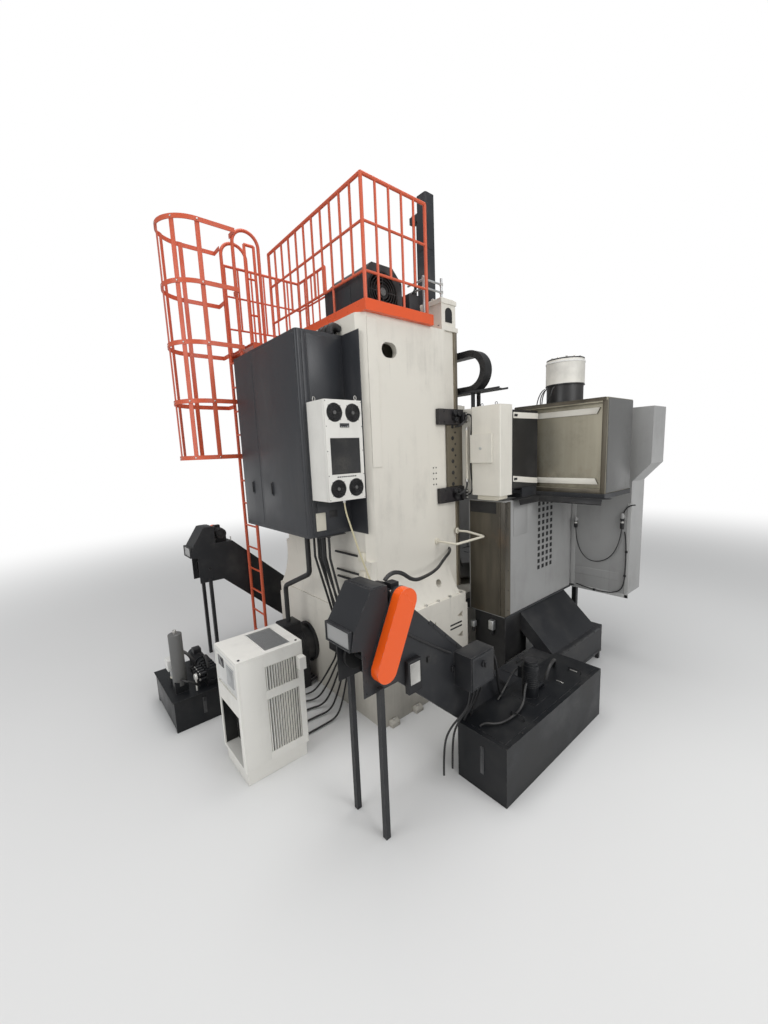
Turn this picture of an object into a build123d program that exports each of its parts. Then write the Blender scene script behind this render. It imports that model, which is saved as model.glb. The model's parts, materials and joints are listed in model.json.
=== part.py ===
from build123d import *
import os
from math import cos, radians, sin, tan

os.makedirs("parts", exist_ok=True)

# A single-column vertical turning machine, in millimetres. The origin is on the
# floor under the table's axis. X runs across the machine, +Y to its rear, +Z up.

# Fits
SLIDE_GAP = 0.2          # flat faces that slide on each other
RUN_GAP = 0.1            # a shaft or screw in its bore, on the radius
SEAT_GAP = 0.3           # round faces that meet
SHEET = 5.0              # folded sheet metal

# Bed
BED_HALF_WIDTH = 1025.0
BED_FRONT = 1035.0
BED_REAR = 2370.0
BED_HEIGHT = 940.0
BED_WALL = 70.0
BED_BAYS = 4
PEDESTAL_RADIUS = 760.0
PEDESTAL_TOP = 905.0
POCKET_LENGTH = 90.0
POCKET_HEIGHT = 70.0
POCKET_DEPTH = 60.0
POCKET_ROWS = (830.0, 590.0)
POCKET_STATIONS = 3

# Column
COLUMN_HALF_WIDTH = 875.0
COLUMN_FRONT = 1170.0
COLUMN_REAR = 2300.0
COLUMN_TOP = 3950.0
COLUMN_WALL = 60.0
COLUMN_WEBS = 3
COLUMN_BAYS_HIGH = 4
COLUMN_CORNER = 75.0
FLARE_TOP = 1650.0
FLARE_OUT = 110.0
FOOT_THICKNESS = 130.0
CORE_HOLE_Y = 1960.0
CORE_HOLE_Z = 3650.0
CORE_HOLE_WIDTH = 190.0
CORE_HOLE_HEIGHT = 140.0
DUCT_FRONT = 2110.0
DUCT_BOTTOM = 2560.0
DUCT_THICKNESS = 8.0
FOOT_HOLE_Y = 1390.0
FOOT_HOLE_Z = 1230.0
FOOT_HOLE_RADIUS = 42.0
TAPPED_HOLE_RADIUS = 8.0

# Vertical ways and lift
WAY_OUTER = 875.0
WAY_INNER = 575.0
WAY_OVERHANG = 25.0
WAY_FRONT = 970.0
WAY_THICKNESS = 40.0
WAY_BOTTOM = 1100.0
LIFT_SCREW_X = 490.0
LIFT_SCREW_Y = 1080.0
LIFT_SCREW_RADIUS = 35.0
LIFT_COLLAR_RADIUS = 49.0
LIFT_BLOCK = 120.0
GEARBOX_INNER = 400.0
GEARBOX_FRONT = 950.0
GEARBOX_REAR = 1210.0
GEARBOX_HEIGHT = 320.0
GEARBOX_FLANGE = 45.0
GEARBOX_FLANGE_OUT = 18.0
CROSS_SHAFT_RADIUS = 28.0
CROSS_SHAFT_RISE = 215.0

# Work platform on the column
PLATFORM_HALF_WIDTH = 924.0
PLATFORM_FRONT = 1387.0
PLATFORM_REAR = 2263.0
PLATFORM_SKIRT = 100.0
SKIRT_SHEET = 6.0
PLATFORM_DECK = 8.0
RAIL_RADIUS = 17.0
BALUSTER_RADIUS = 12.0
RAIL_TOP = 1100.0
RAIL_MIDDLE = 732.0
RAIL_LOW = 327.0
RAIL_INSET = 22.0
BALUSTER_PITCH = 165.0
COWL_LEFT = -800.0
COWL_WIDTH = 620.0
COWL_FRONT = 1700.0
COWL_REAR = 2190.0
COWL_HEIGHT = 470.0
COWL_ARCH = 180.0

# Ladder, cage and walkway
LADDER_X = 1360.0
LADDER_HALF_WIDTH = 190.0
LADDER_Y = 2550.0
LADDER_RUNG_PITCH = 300.0
LADDER_RUNG_RADIUS = 12.0
STILE_RADIUS = 20.0
HANDRAIL_TOP = 5380.0
CAGE_RADIUS = 335.0
CAGE_CENTRE_Y = 2980.0
CAGE_TOP = 5300.0
CAGE_HOOPS = 5
CAGE_BOTTOM = 2750.0
CAGE_BARS = 5
CAGE_BAR_WIDTH = 50.0
CAGE_BAR_THICKNESS = 8.0
WALKWAY_END = 2500.0
WALKWAY_OUTER = 1700.0

# Crossrail
RAIL_HALF_LENGTH = 1064.0
CROSSRAIL_FRONT = 560.0
CROSSRAIL_REAR = 940.0
CROSSRAIL_BOTTOM = 2200.0
CROSSRAIL_TOP = 3130.0
GUIDE_STAND = 60.0
GUIDE_HEIGHT = 150.0
GUIDE_EDGE = 50.0
CROSSRAIL_BAYS = 4
CROSSRAIL_BAY_DEPTH = 250.0
CROSSRAIL_RIB = 50.0
CLAMP_THICKNESS = 45.0
CLAMP_REACH = 1340.0
CLAMP_HEIGHT = 165.0
KEEPER_THICKNESS = 25.0
KEEPER_REACH = 1190.0
EXTENSION_END = -1428.0
EXTENSION_REAR = 760.0
COVER_REAR = 975.0
COVER_BOTTOM = 2188.0
COVER_TOP = 3138.0
HATCH_STAND = 28.0
X_SCREW_RADIUS = 25.0
X_SCREW_Y = 530.0
X_MOTOR_SIDE = 170.0
X_MOTOR_LENGTH = 300.0
X_MOTOR_FLANGE_RADIUS = 76.0
X_MOTOR_CAP_RADIUS = 68.0
X_MOTOR_CAP = 60.0
X_PLUG_START = 210.0
X_PLUG_LENGTH = 60.0
X_PLUG_HEIGHT = 42.0
CHAIN_LINK_WIDTH = 120.0
CHAIN_LINK_HEIGHT = 70.0
CHAIN_LINK_PITCH = 105.0
TRAY_POSTS = 5
CHAIN_BEND_RADIUS = 190.0
CHAIN_FRONT = 780.0
TRAY_STAND = 170.0

# Saddle and ram
SADDLE_X = 200.0
SADDLE_HALF_WIDTH = 280.0
SADDLE_BOTTOM = 2150.0
SADDLE_TOP = 3300.0
SADDLE_FRONT = -205.0
RAM_HALF = 150.0
RAM_COLLAR_RADIUS = 120.0
HOLDER_DISC_RADIUS = 112.0
HOLDER_HALF_WIDTH = 90.0
HOLDER_HALF_DEPTH = 60.0
HOLDER_HEIGHT = 210.0
SHANK_REACH = 135.0
SHANK_TAIL = 45.0
SHANK_TOP = 198.0
SHANK_DROP = 248.0
TIP_REACH = 147.0
TIP_ROOT = 120.0
TIP_DROP = 258.0
RAM_BOTTOM = 1980.0
RAM_TOP = 4250.0
TOWER_TOP = 5950.0
TOWER_SIDE = 170.0
TOWER_Y = 360.0
TOWER_ROD_RADIUS = 20.0
TOWER_ROD_OFFSETS = (60.0, 136.0)
TOWER_HEAD = 85.0

# Tool magazine beside the crossrail
MAGAZINE_LEFT = -2175.0
MAGAZINE_RIGHT = -1135.0
MAGAZINE_FRONT = -420.0
MAGAZINE_REAR = 250.0
MAGAZINE_BOTTOM = 2180.0
MAGAZINE_TOP = 3150.0
MAGAZINE_FRAME = 48.0
PANEL_RECESS = 66.0
PANEL_STRIP = 62.0
MAGAZINE_X = -1560.0
MAGAZINE_Y = -110.0
TOOL_CIRCLE = 222.0
TOOL_POCKET_RADIUS = 48.0
TOOL_SHANK = 34.0
CHANGE_CLEARANCE = 22.0
TOOL_STATIONS = 10
DRUM_RADIUS = 205.0
DRUM_HEIGHT = 500.0
DRUM_WAIST = 210.0
DRUM_LID = 35.0
SHELF_THICKNESS = 50.0

# Table
TABLE_RADIUS = 700.0
TABLE_TOP = 1200.0
TABLE_THICKNESS = 220.0
SPINDLE_RADIUS = 200.0
SPINDLE_DEPTH = 260.0
TABLE_BORE = 60.0
SLOT_WIDTH = 28.0
SLOT_DEPTH = 55.0
SLOT_COUNT = 8
JAW_INNER = 330.0
JAW_LENGTH = 250.0
JAW_WIDTH = 120.0
JAW_HEIGHT = 180.0

# Electrical cabinet on the column's rear
CABINET_LEFT = -594.0
CABINET_RIGHT = 855.0
CABINET_REAR = 2744.0
CABINET_BOTTOM = 1930.0
CABINET_TOP = 3800.0
CABINET_DOOR = 50.0
CABINET_CORNER = 28.0
DOOR_SEAM_X = 330.0
COOLER_WIDTH = 402.0
COOLER_DEPTH = 290.0
COOLER_BOTTOM = 2286.0
COOLER_TOP = 3168.0
COOLER_REAR = 2732.0
FAN_RADIUS = 76.0
FILTER_HALF_WIDTH = 158.0
FAN_SPREAD = 97.0

# Guards round the table
GUARD_HALF_WIDTH = 1437.0
GUARD_REAR = 902.0
GUARD_BOTTOM = 818.0
GUARD_TOP = 2125.0
GUARD_GAP_AT_COLUMN = 962.0
PAN_FRONT = -1000.0
VENT_COLUMNS = 4
VENT_ROWS = 11
VENT_SIDE = 30.0
VENT_PITCH_Y = 95.0
VENT_PITCH_Z = 77.0
VENT_LAST_Y = -100.0
VENT_FIRST_Z = 1240.0
WING_REAR = -605.0
WING_HALF_WIDTH = 2140.0
WING_TOP_HALF_WIDTH = 2325.0
WING_STEP_Z = 2240.0
WING_TOP = 3080.0
DOORWAY_HALF_WIDTH = 950.0
DOORWAY_TOP = 2960.0
DOOR_THICKNESS = 40.0
DOOR_LAP = 90.0

# Chip conveyors, one on each side
CONVEYOR_INNER = 1590.0
CONVEYOR_OUTER = 1890.0
CONVEYOR_FLOOR = 80.0
CONVEYOR_RUN_TOP = 430.0
CONVEYOR_START = -550.0
CONVEYOR_SLOPE = 0.933
CONVEYOR_HEAD_TOP = 1600.0
CONVEYOR_HOOD_TOP = 1825.0
CONVEYOR_WALL = 6.0
DRIVE_Y = 2860.0
DRIVE_Z = 1710.0
HEAD_SHAFT_Y = 3060.0
HEAD_SHAFT_Z = 1280.0
HEAD_SHAFT_RADIUS = 20.0
SPROCKET_RADIUS = 105.0
BELT_GUARD_RADIUS = 86.0
BELT_GUARD_DEPTH = 70.0
GUARD_BACKPLATE = 15.0

# Coolant tank, chiller and hydraulic unit
TANK_OUTER = -2353.0
TANK_FRONT = 635.0
TANK_REAR = 2268.0
TANK_HEIGHT = 490.0
CHILLER_LEFT = -810.0
CHILLER_RIGHT = -300.0
CHILLER_FRONT = 3060.0
CHILLER_REAR = 3650.0
CHILLER_BOTTOM = 130.0
CHILLER_TOP = 1100.0
POWER_PACK_LEFT = 350.0
POWER_PACK_RIGHT = 1150.0
POWER_PACK_FRONT = 3350.0
POWER_PACK_REAR = 3900.0
POWER_PACK_HEIGHT = 330.0
TABLE_CHAMFER = 36.0
SLOT_START = 150.0
CENTRING_RADIUS = 136.0
CENTRING_GROOVE = 5.0
BEARING_INNER = 260.0
BEARING_OUTER = 456.0

# Drive motor behind the bed
MOTOR_X = 341.0
MOTOR_Z = 470.0
MOTOR_RADIUS = 210.0
MOTOR_LENGTH = 520.0
MOTOR_COWL = 110.0
MOTOR_FOOT_HALF_WIDTH = 189.0
MOTOR_BOX_Y = 2620.0
MOTOR_BOX_TOP = 780.0

# Electrical cabinet's fittings
DEVICE_ROWS = 4
DEVICE_COLUMNS = 6
HANDLE_INSET = 240.0
HANDLE_WIDTH = 36.0
HANDLE_Z = 2300.0
HANDLE_LENGTH = 140.0
FAN_EDGE = 110.0
FILTER_BOTTOM = 2522.0
FILTER_TOP = 2840.0

# Guards' details
PAN_LEG = 60.0
CHUTE_FRONT = -450.0
CHUTE_REAR = 600.0
CHUTE_TOP_OUTER = 1420.0
CHUTE_TOP_INNER = 1180.0
CHUTE_INSET = 45.0
WING_STEP_TOP = 2450.0
DOORWAY_BOTTOM = 873.0
WINDOW_WIDTH = 520.0
WINDOW_BOTTOM = 1500.0
WINDOW_TOP = 2300.0
GRIP_BOTTOM = 1360.0
GRIP_LENGTH = 480.0
GRIP_RADIUS = 12.0

# Operator's pendant
PENDANT_INSET = 825.0
PENDANT_X = WING_TOP_HALF_WIDTH - PENDANT_INSET
PENDANT_Y = -1300.0
PENDANT_ARM = 120.0
PENDANT_DROP = 300.0
PENDANT_TUBE = 25.0
PENDANT_COLLAR = 40.0
PENDANT_BOX_WIDTH = 400.0
PENDANT_BOX_DEPTH = 120.0
PENDANT_BOX_BOTTOM = 1250.0
PENDANT_BOX_TOP = 1850.0
BUTTON_X = PENDANT_X + PENDANT_BOX_WIDTH * 3 / 10
BUTTON_Z = 1340.0
BUTTON_RADIUS = 20.0
BUTTON_STAND = 12.0
BUTTON_STEM = 30.0

# Conveyors' details
INCLINE_START = 1800.0
CONVEYOR_HEAD_FLOOR = 1106.0
MOUTH_REAR = 3200.0
MOUTH_TOP = 1440.0
HOOD_REAR = 3280.0
HOOD_EDGE = 1585.0
HOOD_RIDGE = 3100.0
HOOD_STEP = 2965.0
HOOD_FRONT = 2735.0
APRON_Z = 300.0
APRON_END = 2940.0
APRON_TOP = 1312.0
LEG_SIDE = 40.0
STARTER_LEFT = -2060.0
STARTER_FRONT = 2010.0
STARTER_REAR = 2300.0
STARTER_BOTTOM = 830.0
STARTER_TOP = 1110.0
PULLEY_REACH = 58.0
PULLEY_WIDTH = 30.0
PULLEY_RADIUS = 60.0
DRIVE_RADIUS = 72.0
DRIVE_LENGTH = 250.0
DRIVE_PULLEY_RADIUS = 48.0
DRIVE_BOX_HEIGHT = 100.0
MOTOR_SHAFT_RADIUS = 14.0

# Details on the floor units
TANK_HANDLES = (900.0, 1900.0)
PUMP_X = -2110.0
PUMP_Y = 1530.0
PUMP_PLATE = 120.0
PUMP_RADIUS = 70.0
PUMP_HEIGHT = 300.0
PUMP_CAP_RADIUS = 63.0
PUMP_BOX_INNER = 56.0
PUMP_BOX_OUTER = 105.0
PUMP_BOX_TOP = 255.0
LOUVRE_FRONT = 59.0
LOUVRE_REAR = 354.0
LOUVRE_BANDS = ((640.0, 854.0), (78.0, 563.0))
LOUVRE_COUNT = 12
LOUVRE_BLADE = 10.0
CONTROL_RECESS = (640.0, 902.0)
BAY_TOP = 485.0
TOP_GRILLE = (88.0, 324.0)
JUNCTION_DEPTH = 70.0
JUNCTION_HEIGHT = 110.0
JUNCTION_DROP = 120.0
ACCUMULATOR_X = 550.0
ACCUMULATOR_Y = 3780.0
ACCUMULATOR_RADIUS = 62.0
ACCUMULATOR_BOTTOM = 450.0
ACCUMULATOR_TOP = 950.0
FILLER_X = 760.0
FILLER_Y = 3780.0
FILLER_RADIUS = 50.0
VALVE_X = 420.0
VALVE_Y = 3430.0
VALVE_PITCH = 60.0
VALVE_COUNT = 4
VALVE_WIDTH = 42.0
COIL_RADIUS = 18.0
GEAR_PUMP_LENGTH = 84.0
PUMP_FOOT_HALF_WIDTH = 56.0
FILLER_CAP_RADIUS = 65.0
FILLER_CAP_HEIGHT = 15.0
PACK_FOOT = 30.0

# Cables
TERMINAL_LEFT = -620.0
TERMINAL_RIGHT = -320.0
TERMINAL_DEPTH = 120.0
TERMINAL_BOTTOM = 640.0
TERMINAL_TOP = 900.0
CABLE_COUNT = 6
CABLE_FIRST_X = -560.0
CABLE_Y = 2560.0
CABLE_RADIUS = 12.0
CABLE_PITCH = 40.0
CABLE_GLAND_RADIUS = 19.0
CONDUIT_X = -240.0
CONDUIT_DROP = 130.0
CONDUIT_RADIUS = 27.0
CONDUIT_GLAND_RADIUS = 40.0
GLAND_LENGTH = 30.0
PLUG_RADIUS = 18.0
PLUG_LENGTH = 72.0
PLUG_STAND = 24.0
WING_CABLE_RADIUS = 6.0
BEND_SHARE = 0.45           # part of the shorter run that a bend may take

# Points of the wing's cable: X, distance from the plugs' plane, Z
WING_CABLE_POINTS = [
    (-2060, 0, 1790), (-2060, 0, 1650), (-2035, 14, 1490), (-1985, 20, 1360), (-1900, 22, 1270),
    (-1790, 22, 1225), (-1680, 20, 1240), (-1595, 16, 1320), (-1545, 12, 1440), (-1512, 0, 1580),
    (-1512, 0, 1700)]

nodes = {}


def block(x0, x1, y0, y1, z0, z1):
    """Rectangular solid between two corners."""
    middle = Pos((x0 + x1) / 2, (y0 + y1) / 2, (z0 + z1) / 2)
    return middle * Box(abs(x1 - x0), abs(y1 - y0), abs(z1 - z0))


def rod(start, end, radius):
    """Round bar between two points."""
    a, b = Vector(start), Vector(end)
    return Part() + Solid.make_cylinder(radius, (b - a).length, Plane(origin=a, z_dir=b - a))


def slab_yz(points, x0, x1):
    """Outline in Y and Z, carried along X."""
    return extrude(Plane.YZ.offset(x0) * Polygon(*points, align=None), amount=x1 - x0, dir=(1, 0, 0))


def slab_xz(points, y0, y1):
    """Outline in X and Z, carried along Y."""
    face = Plane(origin=(0, y0, 0), x_dir=(1, 0, 0), z_dir=(0, -1, 0)) * Polygon(*points, align=None)
    return extrude(face, amount=y1 - y0, dir=(0, 1, 0))


def slab_xy(points, z0, z1):
    """Outline in X and Y, carried up."""
    return extrude(Plane.XY.offset(z0) * Polygon(*points, align=None), amount=z1 - z0, dir=(0, 0, 1))


def other_side(part):
    """The same piece on the machine's other side."""
    return mirror(part, about=Plane.YZ)


def pair(part):
    return part + other_side(part)


def union(parts):
    """One shape made of many."""
    parts = list(parts)
    return parts[0] + parts[1:] if len(parts) > 1 else parts[0]


def apart(parts):
    """Solids of one node that meet face to face, each kept as it is."""
    return Compound([solid for part in parts for solid in part.solids()])


def bed_casting():
    """Bed: a closed box with ribs inside under the column and a round pedestal under the table."""
    box = block(-BED_HALF_WIDTH, BED_HALF_WIDTH, BED_FRONT, BED_REAR, 0, BED_HEIGHT)
    neck = block(-PEDESTAL_RADIUS, PEDESTAL_RADIUS, 0, BED_FRONT, 0, PEDESTAL_TOP)
    pedestal = rod((0, 0, 0), (0, 0, PEDESTAL_TOP), PEDESTAL_RADIUS)
    bed = box + neck + pedestal
    bay = (2 * BED_HALF_WIDTH - (BED_BAYS + 1) * BED_WALL) / BED_BAYS
    half_depth = (BED_REAR - BED_FRONT - 3 * BED_WALL) / 2
    for column_index in range(BED_BAYS):
        x = -BED_HALF_WIDTH + BED_WALL + column_index * (bay + BED_WALL)
        for row in range(2):
            y = BED_FRONT + BED_WALL + row * (half_depth + BED_WALL)
            bed -= block(x, x + bay, y, y + half_depth, BED_WALL, BED_HEIGHT - BED_WALL)
    bed -= rod((0, 0, PEDESTAL_TOP - SPINDLE_DEPTH), (0, 0, PEDESTAL_TOP), SPINDLE_RADIUS + RUN_GAP)
    for side in (-1, 1):
        for z in POCKET_ROWS:
            for station in range(POCKET_STATIONS):
                y = BED_FRONT + 2 * POCKET_LENGTH + station * (BED_REAR - BED_FRONT) / POCKET_STATIONS
                bed -= foot_pocket(side, y, z)
    return bed


def foot_pocket(side, y, z):
    """Three-cornered bolt pocket in the bed's side."""
    half = POCKET_HEIGHT / 2
    outline = [(y - POCKET_LENGTH, z - half), (y - POCKET_LENGTH, z + half), (y, z)]
    face = side * BED_HALF_WIDTH
    return slab_yz(outline, min(face, face - side * POCKET_DEPTH), max(face, face - side * POCKET_DEPTH))


def column():
    """Hollow column casting with webs, way columns at its front and a flared foot."""
    foot_top = BED_HEIGHT + FOOT_THICKNESS
    depth = COLUMN_REAR - COLUMN_FRONT
    middle = (COLUMN_REAR + COLUMN_FRONT) / 2
    body = block(-COLUMN_HALF_WIDTH, COLUMN_HALF_WIDTH, COLUMN_FRONT, COLUMN_REAR, foot_top, COLUMN_TOP)
    rear_edges = body.edges().filter_by(Axis.Z).group_by(Axis.Y)[-1]
    body = chamfer(rear_edges, COLUMN_CORNER)
    upper = Pos(0, middle, FLARE_TOP) * Rectangle(2 * COLUMN_HALF_WIDTH, depth)
    half_way = Pos(0, middle, (FLARE_TOP + 2 * foot_top) / 3) * Rectangle(
        2 * COLUMN_HALF_WIDTH + FLARE_OUT / 2, depth + FLARE_OUT / 3)
    lower = Pos(0, middle, foot_top) * Rectangle(
        2 * COLUMN_HALF_WIDTH + 2 * FLARE_OUT, depth + FLARE_OUT)
    flare = loft([upper, half_way, lower])
    foot = block(-BED_HALF_WIDTH, BED_HALF_WIDTH, BED_FRONT, BED_REAR, BED_HEIGHT, foot_top)
    foot = fillet(foot.edges().filter_by(Axis.Z), FOOT_THICKNESS / 3)
    way_column = block(WAY_INNER + WAY_OVERHANG, WAY_OUTER - WAY_OVERHANG,
                       WAY_FRONT + WAY_THICKNESS, COLUMN_FRONT, foot_top, COLUMN_TOP)
    bearing = block(LIFT_SCREW_X - LIFT_BLOCK / 2, LIFT_SCREW_X + LIFT_BLOCK / 2,
                    LIFT_SCREW_Y - LIFT_BLOCK / 2, COLUMN_FRONT, WAY_BOTTOM, WAY_BOTTOM + LIFT_BLOCK)
    duct = block(-COLUMN_HALF_WIDTH - DUCT_THICKNESS, -COLUMN_HALF_WIDTH, DUCT_FRONT,
                 COLUMN_REAR - COLUMN_CORNER, DUCT_BOTTOM, COLUMN_TOP - WAY_THICKNESS)
    casting = body + flare + foot + pair(way_column) + pair(bearing) + duct

    bay_width = (2 * COLUMN_HALF_WIDTH - (COLUMN_WEBS + 2) * COLUMN_WALL) / (COLUMN_WEBS + 1)
    bay_height = (COLUMN_TOP - BED_HEIGHT - COLUMN_WALL * COLUMN_BAYS_HIGH) / COLUMN_BAYS_HIGH
    for i in range(COLUMN_WEBS + 1):
        x = -COLUMN_HALF_WIDTH + COLUMN_WALL + i * (bay_width + COLUMN_WALL)
        for j in range(COLUMN_BAYS_HIGH):
            z = BED_HEIGHT + j * (bay_height + COLUMN_WALL)
            casting -= block(x, x + bay_width, COLUMN_FRONT + COLUMN_WALL,
                             COLUMN_REAR - COLUMN_WALL - COLUMN_CORNER, z, z + bay_height)
    for side in (-1, 1):
        screw_x = side * LIFT_SCREW_X
        casting -= rod((screw_x, LIFT_SCREW_Y, WAY_BOTTOM), (screw_x, LIFT_SCREW_Y, WAY_BOTTOM + LIFT_BLOCK),
                       LIFT_SCREW_RADIUS + RUN_GAP)
        outside = side * (COLUMN_HALF_WIDTH + FLARE_OUT)
        inside = side * (COLUMN_HALF_WIDTH - COLUMN_WALL - RUN_GAP)
        casting -= core_hole(outside, inside)
        casting -= rod((side * BED_HALF_WIDTH, FOOT_HOLE_Y, FOOT_HOLE_Z),
                       (inside, FOOT_HOLE_Y, FOOT_HOLE_Z), FOOT_HOLE_RADIUS)
    return casting


def core_hole(x0, x1):
    """Rounded hole of the casting's core, through one side wall."""
    span = Vector(x1 - x0, 0, 0)
    face = Plane(origin=(x0, CORE_HOLE_Y, CORE_HOLE_Z), x_dir=(0, 1, 0), z_dir=(1, 0, 0)) * SlotOverall(
        CORE_HOLE_WIDTH, CORE_HOLE_HEIGHT)
    return extrude(face, amount=span.length, dir=span.normalized())


def column_ways():
    """Hardened strips on the two way columns; their edges overhang for the clamps."""
    return pair(block(WAY_INNER, WAY_OUTER, WAY_FRONT, WAY_FRONT + WAY_THICKNESS, WAY_BOTTOM, COLUMN_TOP))


def lift_screw():
    """Screw on the left, from its foot bearing up into the gearbox."""
    top = COLUMN_TOP + GEARBOX_HEIGHT / 2
    screw = rod((-LIFT_SCREW_X, LIFT_SCREW_Y, WAY_BOTTOM), (-LIFT_SCREW_X, LIFT_SCREW_Y, top),
                LIFT_SCREW_RADIUS)
    collar_z = WAY_BOTTOM + LIFT_BLOCK + SLIDE_GAP
    collar = rod((-LIFT_SCREW_X, LIFT_SCREW_Y, collar_z),
                 (-LIFT_SCREW_X, LIFT_SCREW_Y, collar_z + LIFT_SCREW_RADIUS), LIFT_COLLAR_RADIUS)
    return screw + collar


def lift_gearboxes():
    """Boxes over the ways with an arched slot, each holding the top of a screw."""
    flange_top = COLUMN_TOP + GEARBOX_FLANGE
    top = COLUMN_TOP + GEARBOX_HEIGHT
    box = block(-WAY_OUTER + GEARBOX_FLANGE_OUT, -GEARBOX_INNER, GEARBOX_FRONT + GEARBOX_FLANGE_OUT,
                GEARBOX_REAR - GEARBOX_FLANGE_OUT, flange_top, top)
    band = block(-WAY_OUTER + GEARBOX_FLANGE_OUT / 2, -GEARBOX_INNER + GEARBOX_FLANGE_OUT / 2,
                 GEARBOX_FRONT + GEARBOX_FLANGE_OUT / 2, GEARBOX_REAR - GEARBOX_FLANGE_OUT / 2,
                 top - GEARBOX_FLANGE, top)
    flange = block(-WAY_OUTER, -GEARBOX_INNER + GEARBOX_FLANGE_OUT, GEARBOX_FRONT, GEARBOX_REAR,
                   COLUMN_TOP, flange_top)
    box = box + band + flange
    slot_y = (GEARBOX_FRONT + GEARBOX_REAR) / 2
    half_slot = 3 * GEARBOX_FLANGE_OUT
    slot_top = top - 3 * GEARBOX_FLANGE
    slot = block(-WAY_OUTER, -WAY_OUTER + 4 * GEARBOX_FLANGE, slot_y - half_slot, slot_y + half_slot,
                 flange_top + GEARBOX_FLANGE, slot_top)
    arch = rod((-WAY_OUTER, slot_y, slot_top), (-WAY_OUTER + 4 * GEARBOX_FLANGE, slot_y, slot_top), half_slot)
    bore = rod((-LIFT_SCREW_X, LIFT_SCREW_Y, COLUMN_TOP),
               (-LIFT_SCREW_X, LIFT_SCREW_Y, COLUMN_TOP + GEARBOX_HEIGHT / 2 + SEAT_GAP),
               LIFT_SCREW_RADIUS + RUN_GAP)
    shaft_z = COLUMN_TOP + CROSS_SHAFT_RISE
    side_bore = rod((-GEARBOX_INNER - 2 * GEARBOX_FLANGE, LIFT_SCREW_Y, shaft_z + SEAT_GAP),
                    (-GEARBOX_INNER + GEARBOX_FLANGE, LIFT_SCREW_Y, shaft_z + SEAT_GAP),
                    CROSS_SHAFT_RADIUS + RUN_GAP)
    return pair(box - slot - arch - bore - side_bore)


def lift_cross_shaft():
    """Shaft that drives both lift gearboxes, with a coupling at its middle."""
    z = COLUMN_TOP + CROSS_SHAFT_RISE + SEAT_GAP
    reach = GEARBOX_INNER + GEARBOX_FLANGE
    shaft = rod((-reach, LIFT_SCREW_Y, z), (reach, LIFT_SCREW_Y, z), CROSS_SHAFT_RADIUS)
    hub = 2 * CROSS_SHAFT_RADIUS
    flanges = [rod((x, LIFT_SCREW_Y, z), (x + CROSS_SHAFT_RADIUS, LIFT_SCREW_Y, z), hub)
               for x in (-hub, hub - CROSS_SHAFT_RADIUS)]
    return union([shaft] + flanges)


def lift_motor_cowl():
    """Steel cowl with chamfered top edges and an arched air inlet in two sides."""
    right = COWL_LEFT + COWL_WIDTH
    deck = COLUMN_TOP + PLATFORM_DECK
    top = deck + COWL_HEIGHT
    slope = COWL_HEIGHT / 4
    outline = [(COWL_FRONT, deck), (COWL_REAR, deck), (COWL_REAR, top - slope), (COWL_REAR - slope, top),
               (COWL_FRONT + slope, top), (COWL_FRONT, top - slope)]
    cowl = slab_yz(outline, COWL_LEFT, right)
    middle_y = (COWL_FRONT + COWL_REAR) / 2
    spring = deck + COWL_HEIGHT / 2
    depth = COWL_WIDTH / 3
    for x in (COWL_LEFT, right - depth):
        cowl -= block(x, x + depth, middle_y - COWL_ARCH, middle_y + COWL_ARCH, deck + SHEET, spring)
        cowl -= rod((x, middle_y, spring), (x + depth, middle_y, spring), COWL_ARCH)
    fan_hub = rod((COWL_LEFT + SHEET, middle_y, spring), (COWL_LEFT + depth, middle_y, spring), COWL_ARCH / 3)
    return cowl + fan_hub


def work_platform():
    """Deck plate with a skirt round its rim."""
    outer = block(-PLATFORM_HALF_WIDTH, PLATFORM_HALF_WIDTH, PLATFORM_FRONT, PLATFORM_REAR,
                  COLUMN_TOP, COLUMN_TOP + PLATFORM_SKIRT)
    rim = SKIRT_SHEET
    inner = block(-PLATFORM_HALF_WIDTH + rim, PLATFORM_HALF_WIDTH - rim, PLATFORM_FRONT + rim,
                  PLATFORM_REAR - rim, COLUMN_TOP + PLATFORM_DECK, COLUMN_TOP + PLATFORM_SKIRT)
    return outer - inner


def rail_run(start, end, base_z, full_posts, low_z=None):
    """Three rails between two plan points, with balusters; some posts reach the base."""
    a = Vector(start[0], start[1], base_z)
    b = Vector(end[0], end[1], base_z)
    low = RAIL_LOW if low_z is None else low_z
    bars = [rod(a + Vector(0, 0, z), b + Vector(0, 0, z), r)
            for z, r in ((RAIL_TOP, RAIL_RADIUS), (RAIL_MIDDLE, BALUSTER_RADIUS), (low, BALUSTER_RADIUS))]
    count = max(1, round((b - a).length / BALUSTER_PITCH))
    for i in range(count + 1):
        foot = a + (b - a) * (i / count)
        ends = i in (0, count)
        reach_down = ends or i % full_posts == 0
        radius = RAIL_RADIUS if ends else BALUSTER_RADIUS
        z0 = 0 if reach_down else low
        bars.append(rod(foot + Vector(0, 0, z0), foot + Vector(0, 0, RAIL_TOP), radius))
    return union(bars)


def platform_railing():
    """Guard railing on the platform's left and rear, standing on the deck."""
    edge_x = PLATFORM_HALF_WIDTH - RAIL_INSET - SHEET
    rear = PLATFORM_REAR - RAIL_INSET - SHEET
    front = PLATFORM_FRONT + 3 * RAIL_INSET
    deck = COLUMN_TOP + PLATFORM_DECK
    side = rail_run((-edge_x, front), (-edge_x, rear), deck, 2)
    back = rail_run((-edge_x, rear), (edge_x, rear), deck, 3)
    return side + back


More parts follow.
